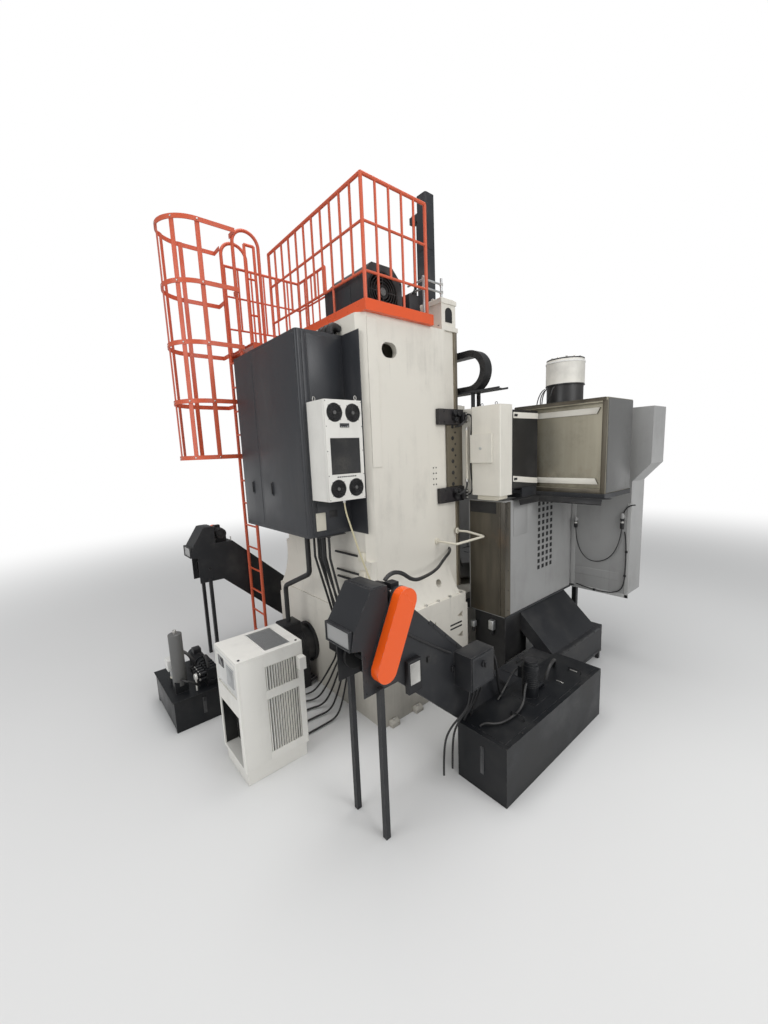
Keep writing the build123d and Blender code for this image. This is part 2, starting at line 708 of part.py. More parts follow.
def walkway():
    """Grid deck from the platform to the ladder, with railings and two hooped hand rails."""
    inner = PLATFORM_HALF_WIDTH
    z = COLUMN_TOP + PLATFORM_SKIRT - PLATFORM_DECK
    deck = block(inner, WALKWAY_OUTER, PLATFORM_FRONT, WALKWAY_END, z, z + PLATFORM_DECK)
    for k in range(2):
        x = inner + k * (WALKWAY_OUTER - inner - PLATFORM_DECK)
        deck += block(x, x + PLATFORM_DECK, PLATFORM_FRONT, WALKWAY_END, COLUMN_TOP, z)
    base = z + PLATFORM_DECK
    outer_x = WALKWAY_OUTER - RAIL_INSET
    front_y = PLATFORM_FRONT + RAIL_INSET
    outside = rail_run((outer_x, front_y), (outer_x, WALKWAY_END - RAIL_INSET), base, 2)
    front = rail_run((inner + 2 * RAIL_INSET, front_y), (outer_x, front_y), base, 2)
    near = rail_run((inner + 4 * RAIL_INSET, PLATFORM_REAR + PLATFORM_SKIRT),
                    (inner + 4 * RAIL_INSET, WALKWAY_END - RAIL_INSET), base, 2)
    return deck + outside + front + near


def ladder():
    """Two tube stiles with rungs; the stiles go on up and hoop over to the walkway."""
    parts = []
    hoop = (LADDER_Y - WALKWAY_END + 5 * RAIL_INSET)
    for side in (-1, 1):
        x = LADDER_X + side * LADDER_HALF_WIDTH
        top = HANDRAIL_TOP - hoop
        front = LADDER_Y - 2 * hoop
        parts.append(rod((x, LADDER_Y, 0), (x, LADDER_Y, top), STILE_RADIUS))
        path = CenterArc((0, 0, 0), hoop, 0, 180)
        arc = Plane(origin=(x, LADDER_Y - hoop, top), x_dir=(0, 1, 0), z_dir=(1, 0, 0)) * path
        parts.append(sweep(Plane(origin=arc @ 0, z_dir=arc % 0) * Circle(STILE_RADIUS), path=arc))
        parts.append(rod((x, front, top), (x, front, COLUMN_TOP + PLATFORM_SKIRT), STILE_RADIUS))
    count = int((COLUMN_TOP + PLATFORM_SKIRT) // LADDER_RUNG_PITCH)
    for i in range(1, count + 1):
        z = i * LADDER_RUNG_PITCH
        parts.append(rod((LADDER_X - LADDER_HALF_WIDTH, LADDER_Y, z),
                         (LADDER_X + LADDER_HALF_WIDTH, LADDER_Y, z), LADDER_RUNG_RADIUS))
    return union(parts)


def hoop_outline(radius, front):
    """Plan of a cage hoop: a half circle behind two straight arms."""
    left = Line((LADDER_X - radius, front), (LADDER_X - radius, CAGE_CENTRE_Y))
    arc = CenterArc((LADDER_X, CAGE_CENTRE_Y), radius, 180, -180)
    right = Line((LADDER_X + radius, CAGE_CENTRE_Y), (LADDER_X + radius, front))
    close = Line((LADDER_X + radius, front), (LADDER_X - radius, front))
    return make_face([left, arc, right, close])


def ladder_cage():
    """Flat-bar hoops round the climber with upright bars inside them, held to the stiles."""
    front = LADDER_Y + STILE_RADIUS + SEAT_GAP
    outer = CAGE_RADIUS + CAGE_BAR_THICKNESS
    ring = hoop_outline(outer, front) - hoop_outline(CAGE_RADIUS, front - outer)
    pitch = (CAGE_TOP - CAGE_BOTTOM) / (CAGE_HOOPS - 1)
    stile_edge = LADDER_HALF_WIDTH - STILE_RADIUS
    parts = []
    for i in range(CAGE_HOOPS):
        z = CAGE_BOTTOM + i * pitch
        hoop = extrude(Pos(0, 0, z - CAGE_BAR_WIDTH) * ring, amount=CAGE_BAR_WIDTH)
        for side in (-1, 1):
            hoop += block(LADDER_X + side * stile_edge, LADDER_X + side * outer, front,
                          front + CAGE_BAR_THICKNESS, z - CAGE_BAR_WIDTH, z)
        parts.append(hoop)
    low = CAGE_BOTTOM - CAGE_BAR_WIDTH
    hoop_inside = rod((LADDER_X, CAGE_CENTRE_Y, low), (LADDER_X, CAGE_CENTRE_Y, CAGE_TOP), CAGE_RADIUS)
    for i in range(CAGE_BARS):
        turn = 180 * i / (CAGE_BARS - 1)
        reach = CAGE_RADIUS - CAGE_BAR_THICKNESS / 2
        bar = Box(CAGE_BAR_THICKNESS, CAGE_BAR_WIDTH, CAGE_TOP - low)
        at = Pos(LADDER_X + reach * cos(radians(turn)), CAGE_CENTRE_Y + reach * sin(radians(turn)),
                 (CAGE_TOP + low) / 2)
        parts.append((at * Rot(0, 0, turn) * bar) & hoop_inside)
    return apart(parts)


def crossrail():
    """Beam with two guideways in front, ribbed pockets behind, pads on the ways and lift nuts."""
    beam = block(-RAIL_HALF_LENGTH, RAIL_HALF_LENGTH, CROSSRAIL_FRONT, CROSSRAIL_REAR,
                 CROSSRAIL_BOTTOM, CROSSRAIL_TOP)
    extension = block(EXTENSION_END, -RAIL_HALF_LENGTH, CROSSRAIL_FRONT, EXTENSION_REAR,
                      CROSSRAIL_BOTTOM + 2 * GUIDE_EDGE, CROSSRAIL_TOP - 2 * GUIDE_EDGE)
    guide_front = CROSSRAIL_FRONT - GUIDE_STAND
    for z in (CROSSRAIL_BOTTOM + GUIDE_EDGE, CROSSRAIL_TOP - GUIDE_EDGE - GUIDE_HEIGHT):
        beam += block(-RAIL_HALF_LENGTH, RAIL_HALF_LENGTH, guide_front, CROSSRAIL_FRONT, z, z + GUIDE_HEIGHT)
    screw_z = (CROSSRAIL_BOTTOM + CROSSRAIL_TOP) / 2
    pad = block(WAY_INNER, WAY_OUTER, CROSSRAIL_REAR, WAY_FRONT - SLIDE_GAP, CROSSRAIL_BOTTOM, CROSSRAIL_TOP)
    pad += block(WAY_OUTER, WAY_OUTER + SHEET, CROSSRAIL_REAR, WAY_FRONT - SLIDE_GAP,
                 CROSSRAIL_BOTTOM, CROSSRAIL_TOP)
    nut = block(LIFT_SCREW_X - LIFT_BLOCK / 2, LIFT_SCREW_X + LIFT_BLOCK / 2, CROSSRAIL_REAR,
                LIFT_SCREW_Y + LIFT_BLOCK / 2, screw_z - LIFT_BLOCK, screw_z + LIFT_BLOCK)
    bearing = block(RAIL_HALF_LENGTH - GUIDE_STAND, RAIL_HALF_LENGTH, guide_front, CROSSRAIL_FRONT,
                    screw_z - GUIDE_STAND, screw_z + GUIDE_STAND)
    casting = beam + extension + pair(pad) + pair(nut) + pair(bearing)
    span = 2 * (WAY_INNER - CROSSRAIL_RIB)
    bay = (span - (CROSSRAIL_BAYS - 1) * CROSSRAIL_RIB) / CROSSRAIL_BAYS
    for i in range(CROSSRAIL_BAYS):
        x = -span / 2 + i * (bay + CROSSRAIL_RIB)
        for z0, z1 in ((CROSSRAIL_BOTTOM + CROSSRAIL_RIB, screw_z - LIFT_BLOCK - CROSSRAIL_RIB),
                       (screw_z + LIFT_BLOCK + CROSSRAIL_RIB, CROSSRAIL_TOP - CROSSRAIL_RIB)):
            casting -= block(x, x + bay, CROSSRAIL_REAR - CROSSRAIL_BAY_DEPTH, CROSSRAIL_REAR, z0, z1)
    for side in (-1, 1):
        casting -= rod((side * LIFT_SCREW_X, LIFT_SCREW_Y, screw_z - LIFT_BLOCK),
                       (side * LIFT_SCREW_X, LIFT_SCREW_Y, screw_z + LIFT_BLOCK), LIFT_SCREW_RADIUS + RUN_GAP)
        bearing_inner = RAIL_HALF_LENGTH - GUIDE_STAND
        casting -= rod((side * RAIL_HALF_LENGTH, X_SCREW_Y, screw_z),
                       (side * bearing_inner, X_SCREW_Y, screw_z), X_SCREW_RADIUS + RUN_GAP)
    return casting


def crossrail_clamps():
    """Hydraulic clamps and keeper plates that hook behind the edges of the ways."""
    face = WAY_OUTER + SHEET
    hook_front = WAY_FRONT + WAY_THICKNESS + SLIDE_GAP
    hook_in = WAY_OUTER - WAY_OVERHANG + SHEET / 2

    def gripper(z0, z1, thickness, reach, hook_depth):
        arm = block(face, face + thickness, CROSSRAIL_REAR, reach, z0, z1)
        hook = block(hook_in, face, hook_front, hook_front + hook_depth, z0, z1)
        return arm + hook

    top_z = CROSSRAIL_TOP - CLAMP_HEIGHT
    bottom_z = CROSSRAIL_BOTTOM - CLAMP_HEIGHT / 2
    pieces = []
    for z in (bottom_z, top_z):
        clamp = gripper(z, z + CLAMP_HEIGHT, CLAMP_THICKNESS, CLAMP_REACH, 2 * CLAMP_THICKNESS)
        bore = rod((face + CLAMP_THICKNESS, WAY_FRONT + 3 * CLAMP_THICKNESS, z + CLAMP_HEIGHT / 2),
                   (face + CLAMP_THICKNESS / 2, WAY_FRONT + 3 * CLAMP_THICKNESS, z + CLAMP_HEIGHT / 2),
                   CLAMP_HEIGHT / 4)
        pieces.append(clamp - bore)
    pieces.append(gripper(bottom_z + CLAMP_HEIGHT + SHEET, top_z - SHEET, KEEPER_THICKNESS, KEEPER_REACH,
                          CLAMP_THICKNESS))
    right = union(pieces)
    return right + other_side(right)


def crossrail_end_cover():
    """Sheet cover over the beam's left end, with a hatch box on its rear face."""
    outer = block(EXTENSION_END, -RAIL_HALF_LENGTH - SLIDE_GAP, EXTENSION_REAR + SLIDE_GAP, COVER_REAR,
                  COVER_BOTTOM, COVER_TOP)
    outer = fillet(outer.edges().filter_by(Axis.Z).group_by(Axis.Y)[-1], 2 * SHEET)
    hollow = block(EXTENSION_END + SHEET, -RAIL_HALF_LENGTH - SHEET, EXTENSION_REAR, COVER_REAR - SHEET,
                   COVER_BOTTOM + SHEET, COVER_TOP - SHEET)
    width = -RAIL_HALF_LENGTH - EXTENSION_END
    middle = (COVER_BOTTOM + COVER_TOP) / 2
    hatch = block(EXTENSION_END + width / 4, -RAIL_HALF_LENGTH - SLIDE_GAP, COVER_REAR,
                  COVER_REAR + HATCH_STAND, middle - width / 3, middle + width / 2)
    return outer - hollow + hatch


def x_ball_screw():
    """Screw along the crossrail, in its two end bearings."""
    z = (CROSSRAIL_BOTTOM + CROSSRAIL_TOP) / 2
    shaft = rod((-RAIL_HALF_LENGTH, X_SCREW_Y, z), (RAIL_HALF_LENGTH, X_SCREW_Y, z), X_SCREW_RADIUS)
    inner = RAIL_HALF_LENGTH - GUIDE_STAND - SLIDE_GAP
    collars = [rod((side * inner, X_SCREW_Y, z), (side * (inner - X_SCREW_RADIUS), X_SCREW_Y, z),
                   X_SCREW_RADIUS + SHEET / 2) for side in (-1, 1)]
    return union([shaft] + collars)


def x_servo_motor():
    """Square motor with a round flange and a rear cap, on the crossrail's right end."""
    z = (CROSSRAIL_BOTTOM + CROSSRAIL_TOP) / 2
    half = X_MOTOR_SIDE / 2
    x0 = RAIL_HALF_LENGTH + X_MOTOR_LENGTH / 8
    body = block(x0, x0 + X_MOTOR_LENGTH, X_SCREW_Y - half, X_SCREW_Y + half, z - half, z + half)
    body = chamfer(body.edges().filter_by(Axis.X), half / 4)
    flange = rod((RAIL_HALF_LENGTH, X_SCREW_Y, z), (x0, X_SCREW_Y, z), X_MOTOR_FLANGE_RADIUS)
    cap = rod((x0 + X_MOTOR_LENGTH, X_SCREW_Y, z), (x0 + X_MOTOR_LENGTH + X_MOTOR_CAP, X_SCREW_Y, z),
              X_MOTOR_CAP_RADIUS)
    connector = block(x0 + X_PLUG_START, x0 + X_PLUG_START + X_PLUG_LENGTH, X_SCREW_Y - half / 3,
                      X_SCREW_Y + half / 3, z + half, z + half + X_PLUG_HEIGHT)
    return flange + body + cap + connector


def cable_chain():
    """Chain for the cables of the saddle: a lower run on its tray, a bend and an upper run."""
    rest = CROSSRAIL_TOP + TRAY_STAND + SHEET
    low = rest + CHAIN_LINK_HEIGHT / 2
    centre_z = low + CHAIN_BEND_RADIUS
    bend_x = -RAIL_HALF_LENGTH + CHAIN_BEND_RADIUS / 2
    half = CHAIN_LINK_HEIGHT / 2
    y0, y1 = CHAIN_FRONT, CHAIN_FRONT + CHAIN_LINK_WIDTH
    run_end = SADDLE_X
    lower = block(bend_x, run_end, y0, y1, low - half, low + half)
    upper = block(bend_x, run_end, y0, y1, low + 2 * CHAIN_BEND_RADIUS - half,
                  low + 2 * CHAIN_BEND_RADIUS + half)
    ring = (rod((bend_x, y0, centre_z), (bend_x, y1, centre_z), CHAIN_BEND_RADIUS + half)
            - rod((bend_x, y0, centre_z), (bend_x, y1, centre_z), CHAIN_BEND_RADIUS - half)
            - block(bend_x, bend_x + 2 * CHAIN_BEND_RADIUS, y0, y1, low - half,
                    low + 2 * CHAIN_BEND_RADIUS + half))
    chain = lower + upper + ring
    count = int((run_end - bend_x) // CHAIN_LINK_PITCH)
    groove = SHEET / 2
    for i in range(1, count + 1):
        x = bend_x + i * CHAIN_LINK_PITCH
        for z in (low, low + 2 * CHAIN_BEND_RADIUS):
            for y in (y0, y1 - groove):
                chain -= block(x, x + groove, y, y + groove, z - half, z + half)
    return chain


def chain_tray():
    """Sheet channel on posts above the crossrail, under the cable chain."""
    y0, y1 = CHAIN_FRONT - 4 * SHEET, CHAIN_FRONT + CHAIN_LINK_WIDTH + 4 * SHEET
    x0 = EXTENSION_END + CHAIN_BEND_RADIUS / 4
    z = CROSSRAIL_TOP + TRAY_STAND
    tray = block(x0, RAIL_HALF_LENGTH, y0, y1, z, z + SHEET)
    for y in (y0, y1 - SHEET):
        tray += block(x0, RAIL_HALF_LENGTH, y, y + SHEET, z, z + 4 * SHEET)
    for i in range(TRAY_POSTS):
        x = -RAIL_HALF_LENGTH + 4 * SHEET + i * (2 * RAIL_HALF_LENGTH - 16 * SHEET) / (TRAY_POSTS - 1)
        tray += block(x, x + 8 * SHEET, y0 + 4 * SHEET, y0 + 8 * SHEET, CROSSRAIL_TOP, z)
        tray += block(x, x + 8 * SHEET, y1 - 8 * SHEET, y1 - 4 * SHEET, CROSSRAIL_TOP, z)
    return tray


def saddle():
    """Carriage on the crossrail with the square guide of the ram in front."""
    rail_front = CROSSRAIL_FRONT - GUIDE_STAND - SLIDE_GAP
    x0, x1 = SADDLE_X - SADDLE_HALF_WIDTH, SADDLE_X + SADDLE_HALF_WIDTH
    body = block(x0, x1, SADDLE_FRONT, rail_front, SADDLE_BOTTOM, SADDLE_TOP)
    front_edges = body.edges().filter_by(Axis.Z).group_by(Axis.Y)[0]
    body = chamfer(front_edges, SADDLE_HALF_WIDTH / 5)
    screw_z = (CROSSRAIL_BOTTOM + CROSSRAIL_TOP) / 2
    lip = GUIDE_EDGE - SHEET
    for z0, z1 in ((CROSSRAIL_TOP - GUIDE_EDGE + SLIDE_GAP, CROSSRAIL_TOP - GUIDE_EDGE + lip),
                   (CROSSRAIL_BOTTOM + GUIDE_EDGE - lip, CROSSRAIL_BOTTOM + GUIDE_EDGE - SLIDE_GAP)):
        body += block(x0, x1, rail_front, CROSSRAIL_FRONT - SHEET, z0, z1)
    boss = block(SADDLE_X - GUIDE_HEIGHT / 2, SADDLE_X + GUIDE_HEIGHT / 2, rail_front,
                 CROSSRAIL_FRONT - SHEET / 2, screw_z - GUIDE_STAND, screw_z + GUIDE_STAND)
    body += boss
    body -= rod((x0, X_SCREW_Y, screw_z), (x1, X_SCREW_Y, screw_z), X_SCREW_RADIUS + RUN_GAP)
    hole = RAM_HALF + SLIDE_GAP
    body -= block(SADDLE_X - hole, SADDLE_X + hole, -hole, hole, SADDLE_BOTTOM, SADDLE_TOP)
    pocket = SADDLE_HALF_WIDTH - RAM_HALF / 3
    body -= block(SADDLE_X - pocket, SADDLE_X + pocket, hole + RAM_HALF / 3, rail_front - RAM_HALF / 3,
                  SADDLE_BOTTOM, screw_z - 2 * GUIDE_STAND)
    return body


def ram():
    """Square ram with a stepped tool clamp at its lower end."""
    bar = block(SADDLE_X - RAM_HALF, SADDLE_X + RAM_HALF, -RAM_HALF, RAM_HALF, RAM_BOTTOM, RAM_TOP)
    bar = chamfer(bar.edges().filter_by(Axis.Z), RAM_HALF / 12)
    core = RAM_HALF / 2
    bar -= block(SADDLE_X - core, SADDLE_X + core, -core, core, RAM_BOTTOM + 2 * RAM_HALF, RAM_TOP)
    collar = rod((SADDLE_X, 0, RAM_BOTTOM - GUIDE_STAND), (SADDLE_X, 0, RAM_BOTTOM), RAM_COLLAR_RADIUS)
    return bar + collar


def tool_holder():
    """Tool block under the ram with a clamped turning tool."""
    top = RAM_BOTTOM - GUIDE_STAND
    disc = rod((SADDLE_X, 0, top - 2 * SHEET), (SADDLE_X, 0, top), HOLDER_DISC_RADIUS)
    body = block(SADDLE_X - HOLDER_HALF_WIDTH, SADDLE_X + HOLDER_HALF_WIDTH, -HOLDER_HALF_DEPTH,
                 HOLDER_HALF_DEPTH, top - HOLDER_HEIGHT, top - 2 * SHEET)
    body = chamfer(body.edges().filter_by(Axis.Y).group_by(Axis.Z)[0], HOLDER_HALF_WIDTH / 3)
    shank = block(SADDLE_X - SHANK_REACH, SADDLE_X + SHANK_TAIL, -SHANK_TAIL / 2, SHANK_TAIL / 2,
                  top - SHANK_DROP, top - SHANK_TOP)
    tip = slab_xz([(SADDLE_X - SHANK_REACH, top - SHANK_DROP), (SADDLE_X - TIP_REACH, top - TIP_DROP),
                   (SADDLE_X - TIP_ROOT, top - SHANK_DROP)], -SHANK_TAIL / 4, SHANK_TAIL / 4)
    return disc + body + shank + tip


def ram_tower():
    """Drive box of the ram with two guide rods beside it and a head block across their tops."""
    box_x = SADDLE_X - TOWER_SIDE / 2
    half = TOWER_SIDE / 2
    box = block(box_x - half, box_x + half, TOWER_Y - half, TOWER_Y + half, SADDLE_TOP, TOWER_TOP)
    box = chamfer(box.edges().filter_by(Axis.Z), half / 5)
    foot = block(box_x - half - 4 * SHEET, SADDLE_X + TOWER_SIDE + 4 * SHEET, TOWER_Y - half - 4 * SHEET,
                 TOWER_Y + half + 4 * SHEET, SADDLE_TOP, SADDLE_TOP + 5 * SHEET)
    head = block(box_x + half, SADDLE_X + TOWER_SIDE, TOWER_Y - half / 2, TOWER_Y + half / 2,
                 TOWER_TOP - TOWER_SIDE - TOWER_HEAD, TOWER_TOP - TOWER_SIDE)
    rods = [rod((SADDLE_X + offset, TOWER_Y, SADDLE_TOP),
                (SADDLE_X + offset, TOWER_Y, TOWER_TOP - TOWER_SIDE), TOWER_ROD_RADIUS)
            for offset in TOWER_ROD_OFFSETS]
    return union([box, foot, head] + rods)


def magazine_bracket():
    """Shelf under the tool magazine, with two gussets bolted to the crossrail's end."""
    z0 = MAGAZINE_BOTTOM - SHELF_THICKNESS
    shelf = block(MAGAZINE_LEFT - 2 * SHEET, MAGAZINE_RIGHT + 12 * SHEET, MAGAZINE_FRONT,
                  CROSSRAIL_FRONT - SLIDE_GAP, z0, MAGAZINE_BOTTOM)
    cut = block(MAGAZINE_LEFT - 3 * SHEET, EXTENSION_END, MAGAZINE_REAR + 4 * SHEET, CROSSRAIL_FRONT,
                z0, MAGAZINE_BOTTOM)
    shelf -= cut
    for x in (EXTENSION_END, MAGAZINE_RIGHT + 4 * SHEET):
        near, far = MAGAZINE_REAR + SLIDE_GAP, CROSSRAIL_FRONT - SLIDE_GAP
        outline = [(near, MAGAZINE_BOTTOM), (far, MAGAZINE_BOTTOM), (far, CROSSRAIL_TOP - 4 * GUIDE_EDGE),
                   (near, CROSSRAIL_BOTTOM + 2 * GUIDE_EDGE)]
        shelf += slab_yz(outline, x, x + 4 * SHEET)
    return shelf


def magazine_housing():
    """Sheet housing of the tool magazine: framed at the rear, open to the ram at its right."""
    z0 = MAGAZINE_BOTTOM
    outer = block(MAGAZINE_LEFT, MAGAZINE_RIGHT, MAGAZINE_FRONT, MAGAZINE_REAR, z0, MAGAZINE_TOP)
    outer = fillet(outer.edges().filter_by(Axis.Z).group_by(Axis.Y)[0], 3 * SHEET)
    inner = block(MAGAZINE_LEFT + SHEET, MAGAZINE_RIGHT - SHEET, MAGAZINE_FRONT + SHEET,
                  MAGAZINE_REAR - SHEET, z0 + SHEET, MAGAZINE_TOP - SHEET)
    shell = outer - inner
    frame = MAGAZINE_FRAME
    shell -= block(MAGAZINE_LEFT + frame, MAGAZINE_RIGHT - frame, MAGAZINE_REAR - SHEET, MAGAZINE_REAR,
                   z0 + frame, MAGAZINE_TOP - frame)
    lip = PANEL_RECESS
    reveal = block(MAGAZINE_LEFT + frame - SHEET, MAGAZINE_RIGHT - frame + SHEET, MAGAZINE_REAR - lip,
                   MAGAZINE_REAR - SHEET, z0 + frame - SHEET, MAGAZINE_TOP - frame + SHEET)
    reveal -= block(MAGAZINE_LEFT + frame, MAGAZINE_RIGHT - frame, MAGAZINE_REAR - lip, MAGAZINE_REAR,
                    z0 + frame, MAGAZINE_TOP - frame)
    shell += reveal
    front, rear, low, high = shutter_opening()
    shell -= block(MAGAZINE_RIGHT - SHEET, MAGAZINE_RIGHT, front, rear, low, high)
    shell -= rod((MAGAZINE_X, MAGAZINE_Y, MAGAZINE_TOP - SHEET), (MAGAZINE_X, MAGAZINE_Y, MAGAZINE_TOP),
                 TOOL_POCKET_RADIUS + RUN_GAP)
    guide = 4 * SHEET
    for y, lip_y in ((front - guide, front - SHEET), (rear + guide - SHEET, rear - guide + 2 * SHEET)):
        web = block(MAGAZINE_RIGHT, MAGAZINE_RIGHT + guide, y, y + SHEET, z0, MAGAZINE_TOP)
        flange = block(MAGAZINE_RIGHT + guide - SHEET, MAGAZINE_RIGHT + guide, min(y, lip_y),
                       max(y, lip_y) + SHEET, z0, MAGAZINE_TOP)
        shell += web + flange
    return shell


def shutter_opening():
    """Front, rear, low and high edge of the opening through which tools are changed."""
    half = TOOL_CIRCLE + CHANGE_CLEARANCE
    return (MAGAZINE_Y - half, MAGAZINE_Y + half,
            MAGAZINE_BOTTOM + MAGAZINE_FRAME, MAGAZINE_TOP - 5 * MAGAZINE_FRAME)


def magazine_shutter():
    """Sliding plate over the tool change opening, held in its two guides."""
    front, rear, low, high = shutter_opening()
    x0 = MAGAZINE_RIGHT + SLIDE_GAP
    plate = block(x0, x0 + SHEET, front - 2 * SHEET, rear + 2 * SHEET, low - SHEET, high + SHEET)
    grip = block(x0 + SHEET, x0 + 4 * SHEET, front + 8 * SHEET, rear - 8 * SHEET, low + 4 * SHEET,
                 low + 6 * SHEET)
    return plate + grip


def magazine_panel():
    """Recessed stainless panel with a strip along its top and bottom, chamfered at their ends."""
    frame = MAGAZINE_FRAME
    y1 = MAGAZINE_REAR - PANEL_RECESS
    x0, x1 = MAGAZINE_LEFT + frame - SHEET, MAGAZINE_RIGHT - frame + SHEET
    low, high = MAGAZINE_BOTTOM + frame - SHEET, MAGAZINE_TOP - frame + SHEET
    panel = block(x0, x1, y1 - SHEET, y1, low, high)
    x0, x1 = x0 + frame, x1 - frame
    for edge_z, width in ((high - frame, -PANEL_STRIP), (low + frame, PANEL_STRIP)):
        outline = [(x0, edge_z), (x1, edge_z), (x1 - PANEL_STRIP / 2, edge_z + width),
                   (x0 + PANEL_STRIP / 2, edge_z + width)]
        panel += slab_xz(outline, y1, y1 + 3 * SHEET)
    return panel


def tool_magazine():
    """Disc with tool pockets round its rim, a hub shaft and a tool hanging in each pocket."""
    disc_z = MAGAZINE_TOP - 9 * MAGAZINE_FRAME
    thickness = 6 * SHEET
    disc = rod((MAGAZINE_X, MAGAZINE_Y, disc_z), (MAGAZINE_X, MAGAZINE_Y, disc_z + thickness), TOOL_CIRCLE)
    shaft = rod((MAGAZINE_X, MAGAZINE_Y, disc_z), (MAGAZINE_X, MAGAZINE_Y, MAGAZINE_TOP - SLIDE_GAP),
                TOOL_POCKET_RADIUS)
    parts = [disc, shaft]
    for i in range(TOOL_STATIONS):
        turn = 360 * i / TOOL_STATIONS
        x = MAGAZINE_X + TOOL_CIRCLE * cos(radians(turn))
        y = MAGAZINE_Y + TOOL_CIRCLE * sin(radians(turn))
        parts.append(rod((x, y, disc_z - 8 * SHEET), (x, y, disc_z + 2 * thickness), TOOL_POCKET_RADIUS))
        tool = Pos(x, y, disc_z - 8 * SHEET - 3 * TOOL_POCKET_RADIUS / 2) * Rot(0, 0, turn)
        parts.append(tool * Box(TOOL_POCKET_RADIUS, TOOL_SHANK, 3 * TOOL_POCKET_RADIUS))
    return union(parts)


def magazine_drum():
    """Round drive drum on the magazine: a flanged lower half, an upper can and a studded lid."""
    base = MAGAZINE_TOP
    waist, brim = base + DRUM_WAIST, base + DRUM_HEIGHT - DRUM_LID

    def can(low, high, radius):
        return rod((MAGAZINE_X, MAGAZINE_Y, low), (MAGAZINE_X, MAGAZINE_Y, high), radius)

    lower = can(base, waist, DRUM_RADIUS - 2 * SHEET)
    upper = can(waist, brim, DRUM_RADIUS)
    lid = can(brim, base + DRUM_HEIGHT, DRUM_RADIUS - SHEET)
    foot = can(base, base + 3 * SHEET, DRUM_RADIUS + 2 * SHEET)
    return union([foot, lower, upper, lid])


def turned(part, angle):
    """The piece turned about the table's axis."""
    return Rot(0, 0, angle) * part


def box_shell(x0, x1, y0, y1, z0, z1, wall):
    """Closed sheet box."""
    return (block(x0, x1, y0, y1, z0, z1)
            - block(x0 + wall, x1 - wall, y0 + wall, y1 - wall, z0 + wall, z1 - wall))


def tube(points, radius, bend):
    """Round cable or pipe along a route with rounded corners."""
    path = FilletPolyline(*points, radius=bend)
    return sweep(Plane(origin=path @ 0, z_dir=path % 0) * Circle(radius), path=path)


def table():
    """Face plate with radial T-slots and a centring groove, on a hollow spindle."""
    bottom = TABLE_TOP - TABLE_THICKNESS
    plate = rod((0, 0, bottom), (0, 0, TABLE_TOP), TABLE_RADIUS)
    plate = chamfer(plate.edges().group_by(Axis.Z)[0], TABLE_CHAMFER)
    spindle = rod((0, 0, PEDESTAL_TOP - SPINDLE_DEPTH + SEAT_GAP), (0, 0, bottom), SPINDLE_RADIUS)
    body = plate + spindle - rod((0, 0, 0), (0, 0, TABLE_TOP), TABLE_BORE)
    start = SLOT_START
    low = TABLE_TOP - SLOT_DEPTH
    for i in range(SLOT_COUNT):
        stem = block(start, TABLE_RADIUS, -SLOT_WIDTH / 2, SLOT_WIDTH / 2, low, TABLE_TOP)
        foot = block(start, TABLE_RADIUS, -SLOT_WIDTH, SLOT_WIDTH, low, low + SLOT_DEPTH / 2)
        body -= turned(stem + foot, 360 * i / SLOT_COUNT)
    groove_low = TABLE_TOP - CENTRING_GROOVE
    groove = rod((0, 0, groove_low), (0, 0, TABLE_TOP), CENTRING_RADIUS)
    return body - (groove - rod((0, 0, groove_low), (0, 0, TABLE_TOP), CENTRING_RADIUS - CENTRING_GROOVE))


def table_bearing():
    """Ring bearing between the pedestal and the face plate."""
    top = TABLE_TOP - TABLE_THICKNESS - SLIDE_GAP
    outside = rod((0, 0, PEDESTAL_TOP), (0, 0, top), BEARING_OUTER)
    return outside - rod((0, 0, PEDESTAL_TOP), (0, 0, top), BEARING_INNER)


def jaw():
    """Stepped jaw on the table's right, keyed into a T-slot."""
    base = TABLE_TOP + SLIDE_GAP
    step = JAW_HEIGHT / 3
    run = JAW_LENGTH / 3
    outer = JAW_INNER + JAW_LENGTH
    outline = [(JAW_INNER, base), (outer, base), (outer, base + JAW_HEIGHT),
               (JAW_INNER + 2 * run, base + JAW_HEIGHT), (JAW_INNER + 2 * run, base + 2 * step),
               (JAW_INNER + run, base + 2 * step), (JAW_INNER + run, base + step), (JAW_INNER, base + step)]
    body = slab_xz(outline, -JAW_WIDTH / 2, JAW_WIDTH / 2)
    key_half = SLOT_WIDTH / 2 - SLIDE_GAP
    key = block(JAW_INNER + run / 2, outer - run / 2, -key_half, key_half, TABLE_TOP - SLOT_DEPTH / 4, base)
    return body + key


def main_motor():
    """Drive motor behind the bed with feet, a fan cowl and a terminal box on top."""
    z = MOTOR_Z
    end = BED_REAR + MOTOR_LENGTH
    body = rod((MOTOR_X, BED_REAR, z), (MOTOR_X, end, z), MOTOR_RADIUS)
    cowl = rod((MOTOR_X, end, z), (MOTOR_X, end + MOTOR_COWL, z), MOTOR_RADIUS - 3 * SHEET)
    flange = rod((MOTOR_X, BED_REAR, z), (MOTOR_X, BED_REAR + 6 * SHEET, z), MOTOR_RADIUS + 6 * SHEET)
    half = MOTOR_FOOT_HALF_WIDTH
    feet = block(MOTOR_X - half, MOTOR_X + half, BED_REAR + MOTOR_COWL, end - MOTOR_COWL, 0,
                 z - MOTOR_RADIUS / 2)
    lid = block(MOTOR_X - MOTOR_COWL, MOTOR_X + MOTOR_COWL, MOTOR_BOX_Y - MOTOR_COWL,
                MOTOR_BOX_Y + MOTOR_COWL, z, MOTOR_BOX_TOP)
    return body + cowl + flange + feet + lid


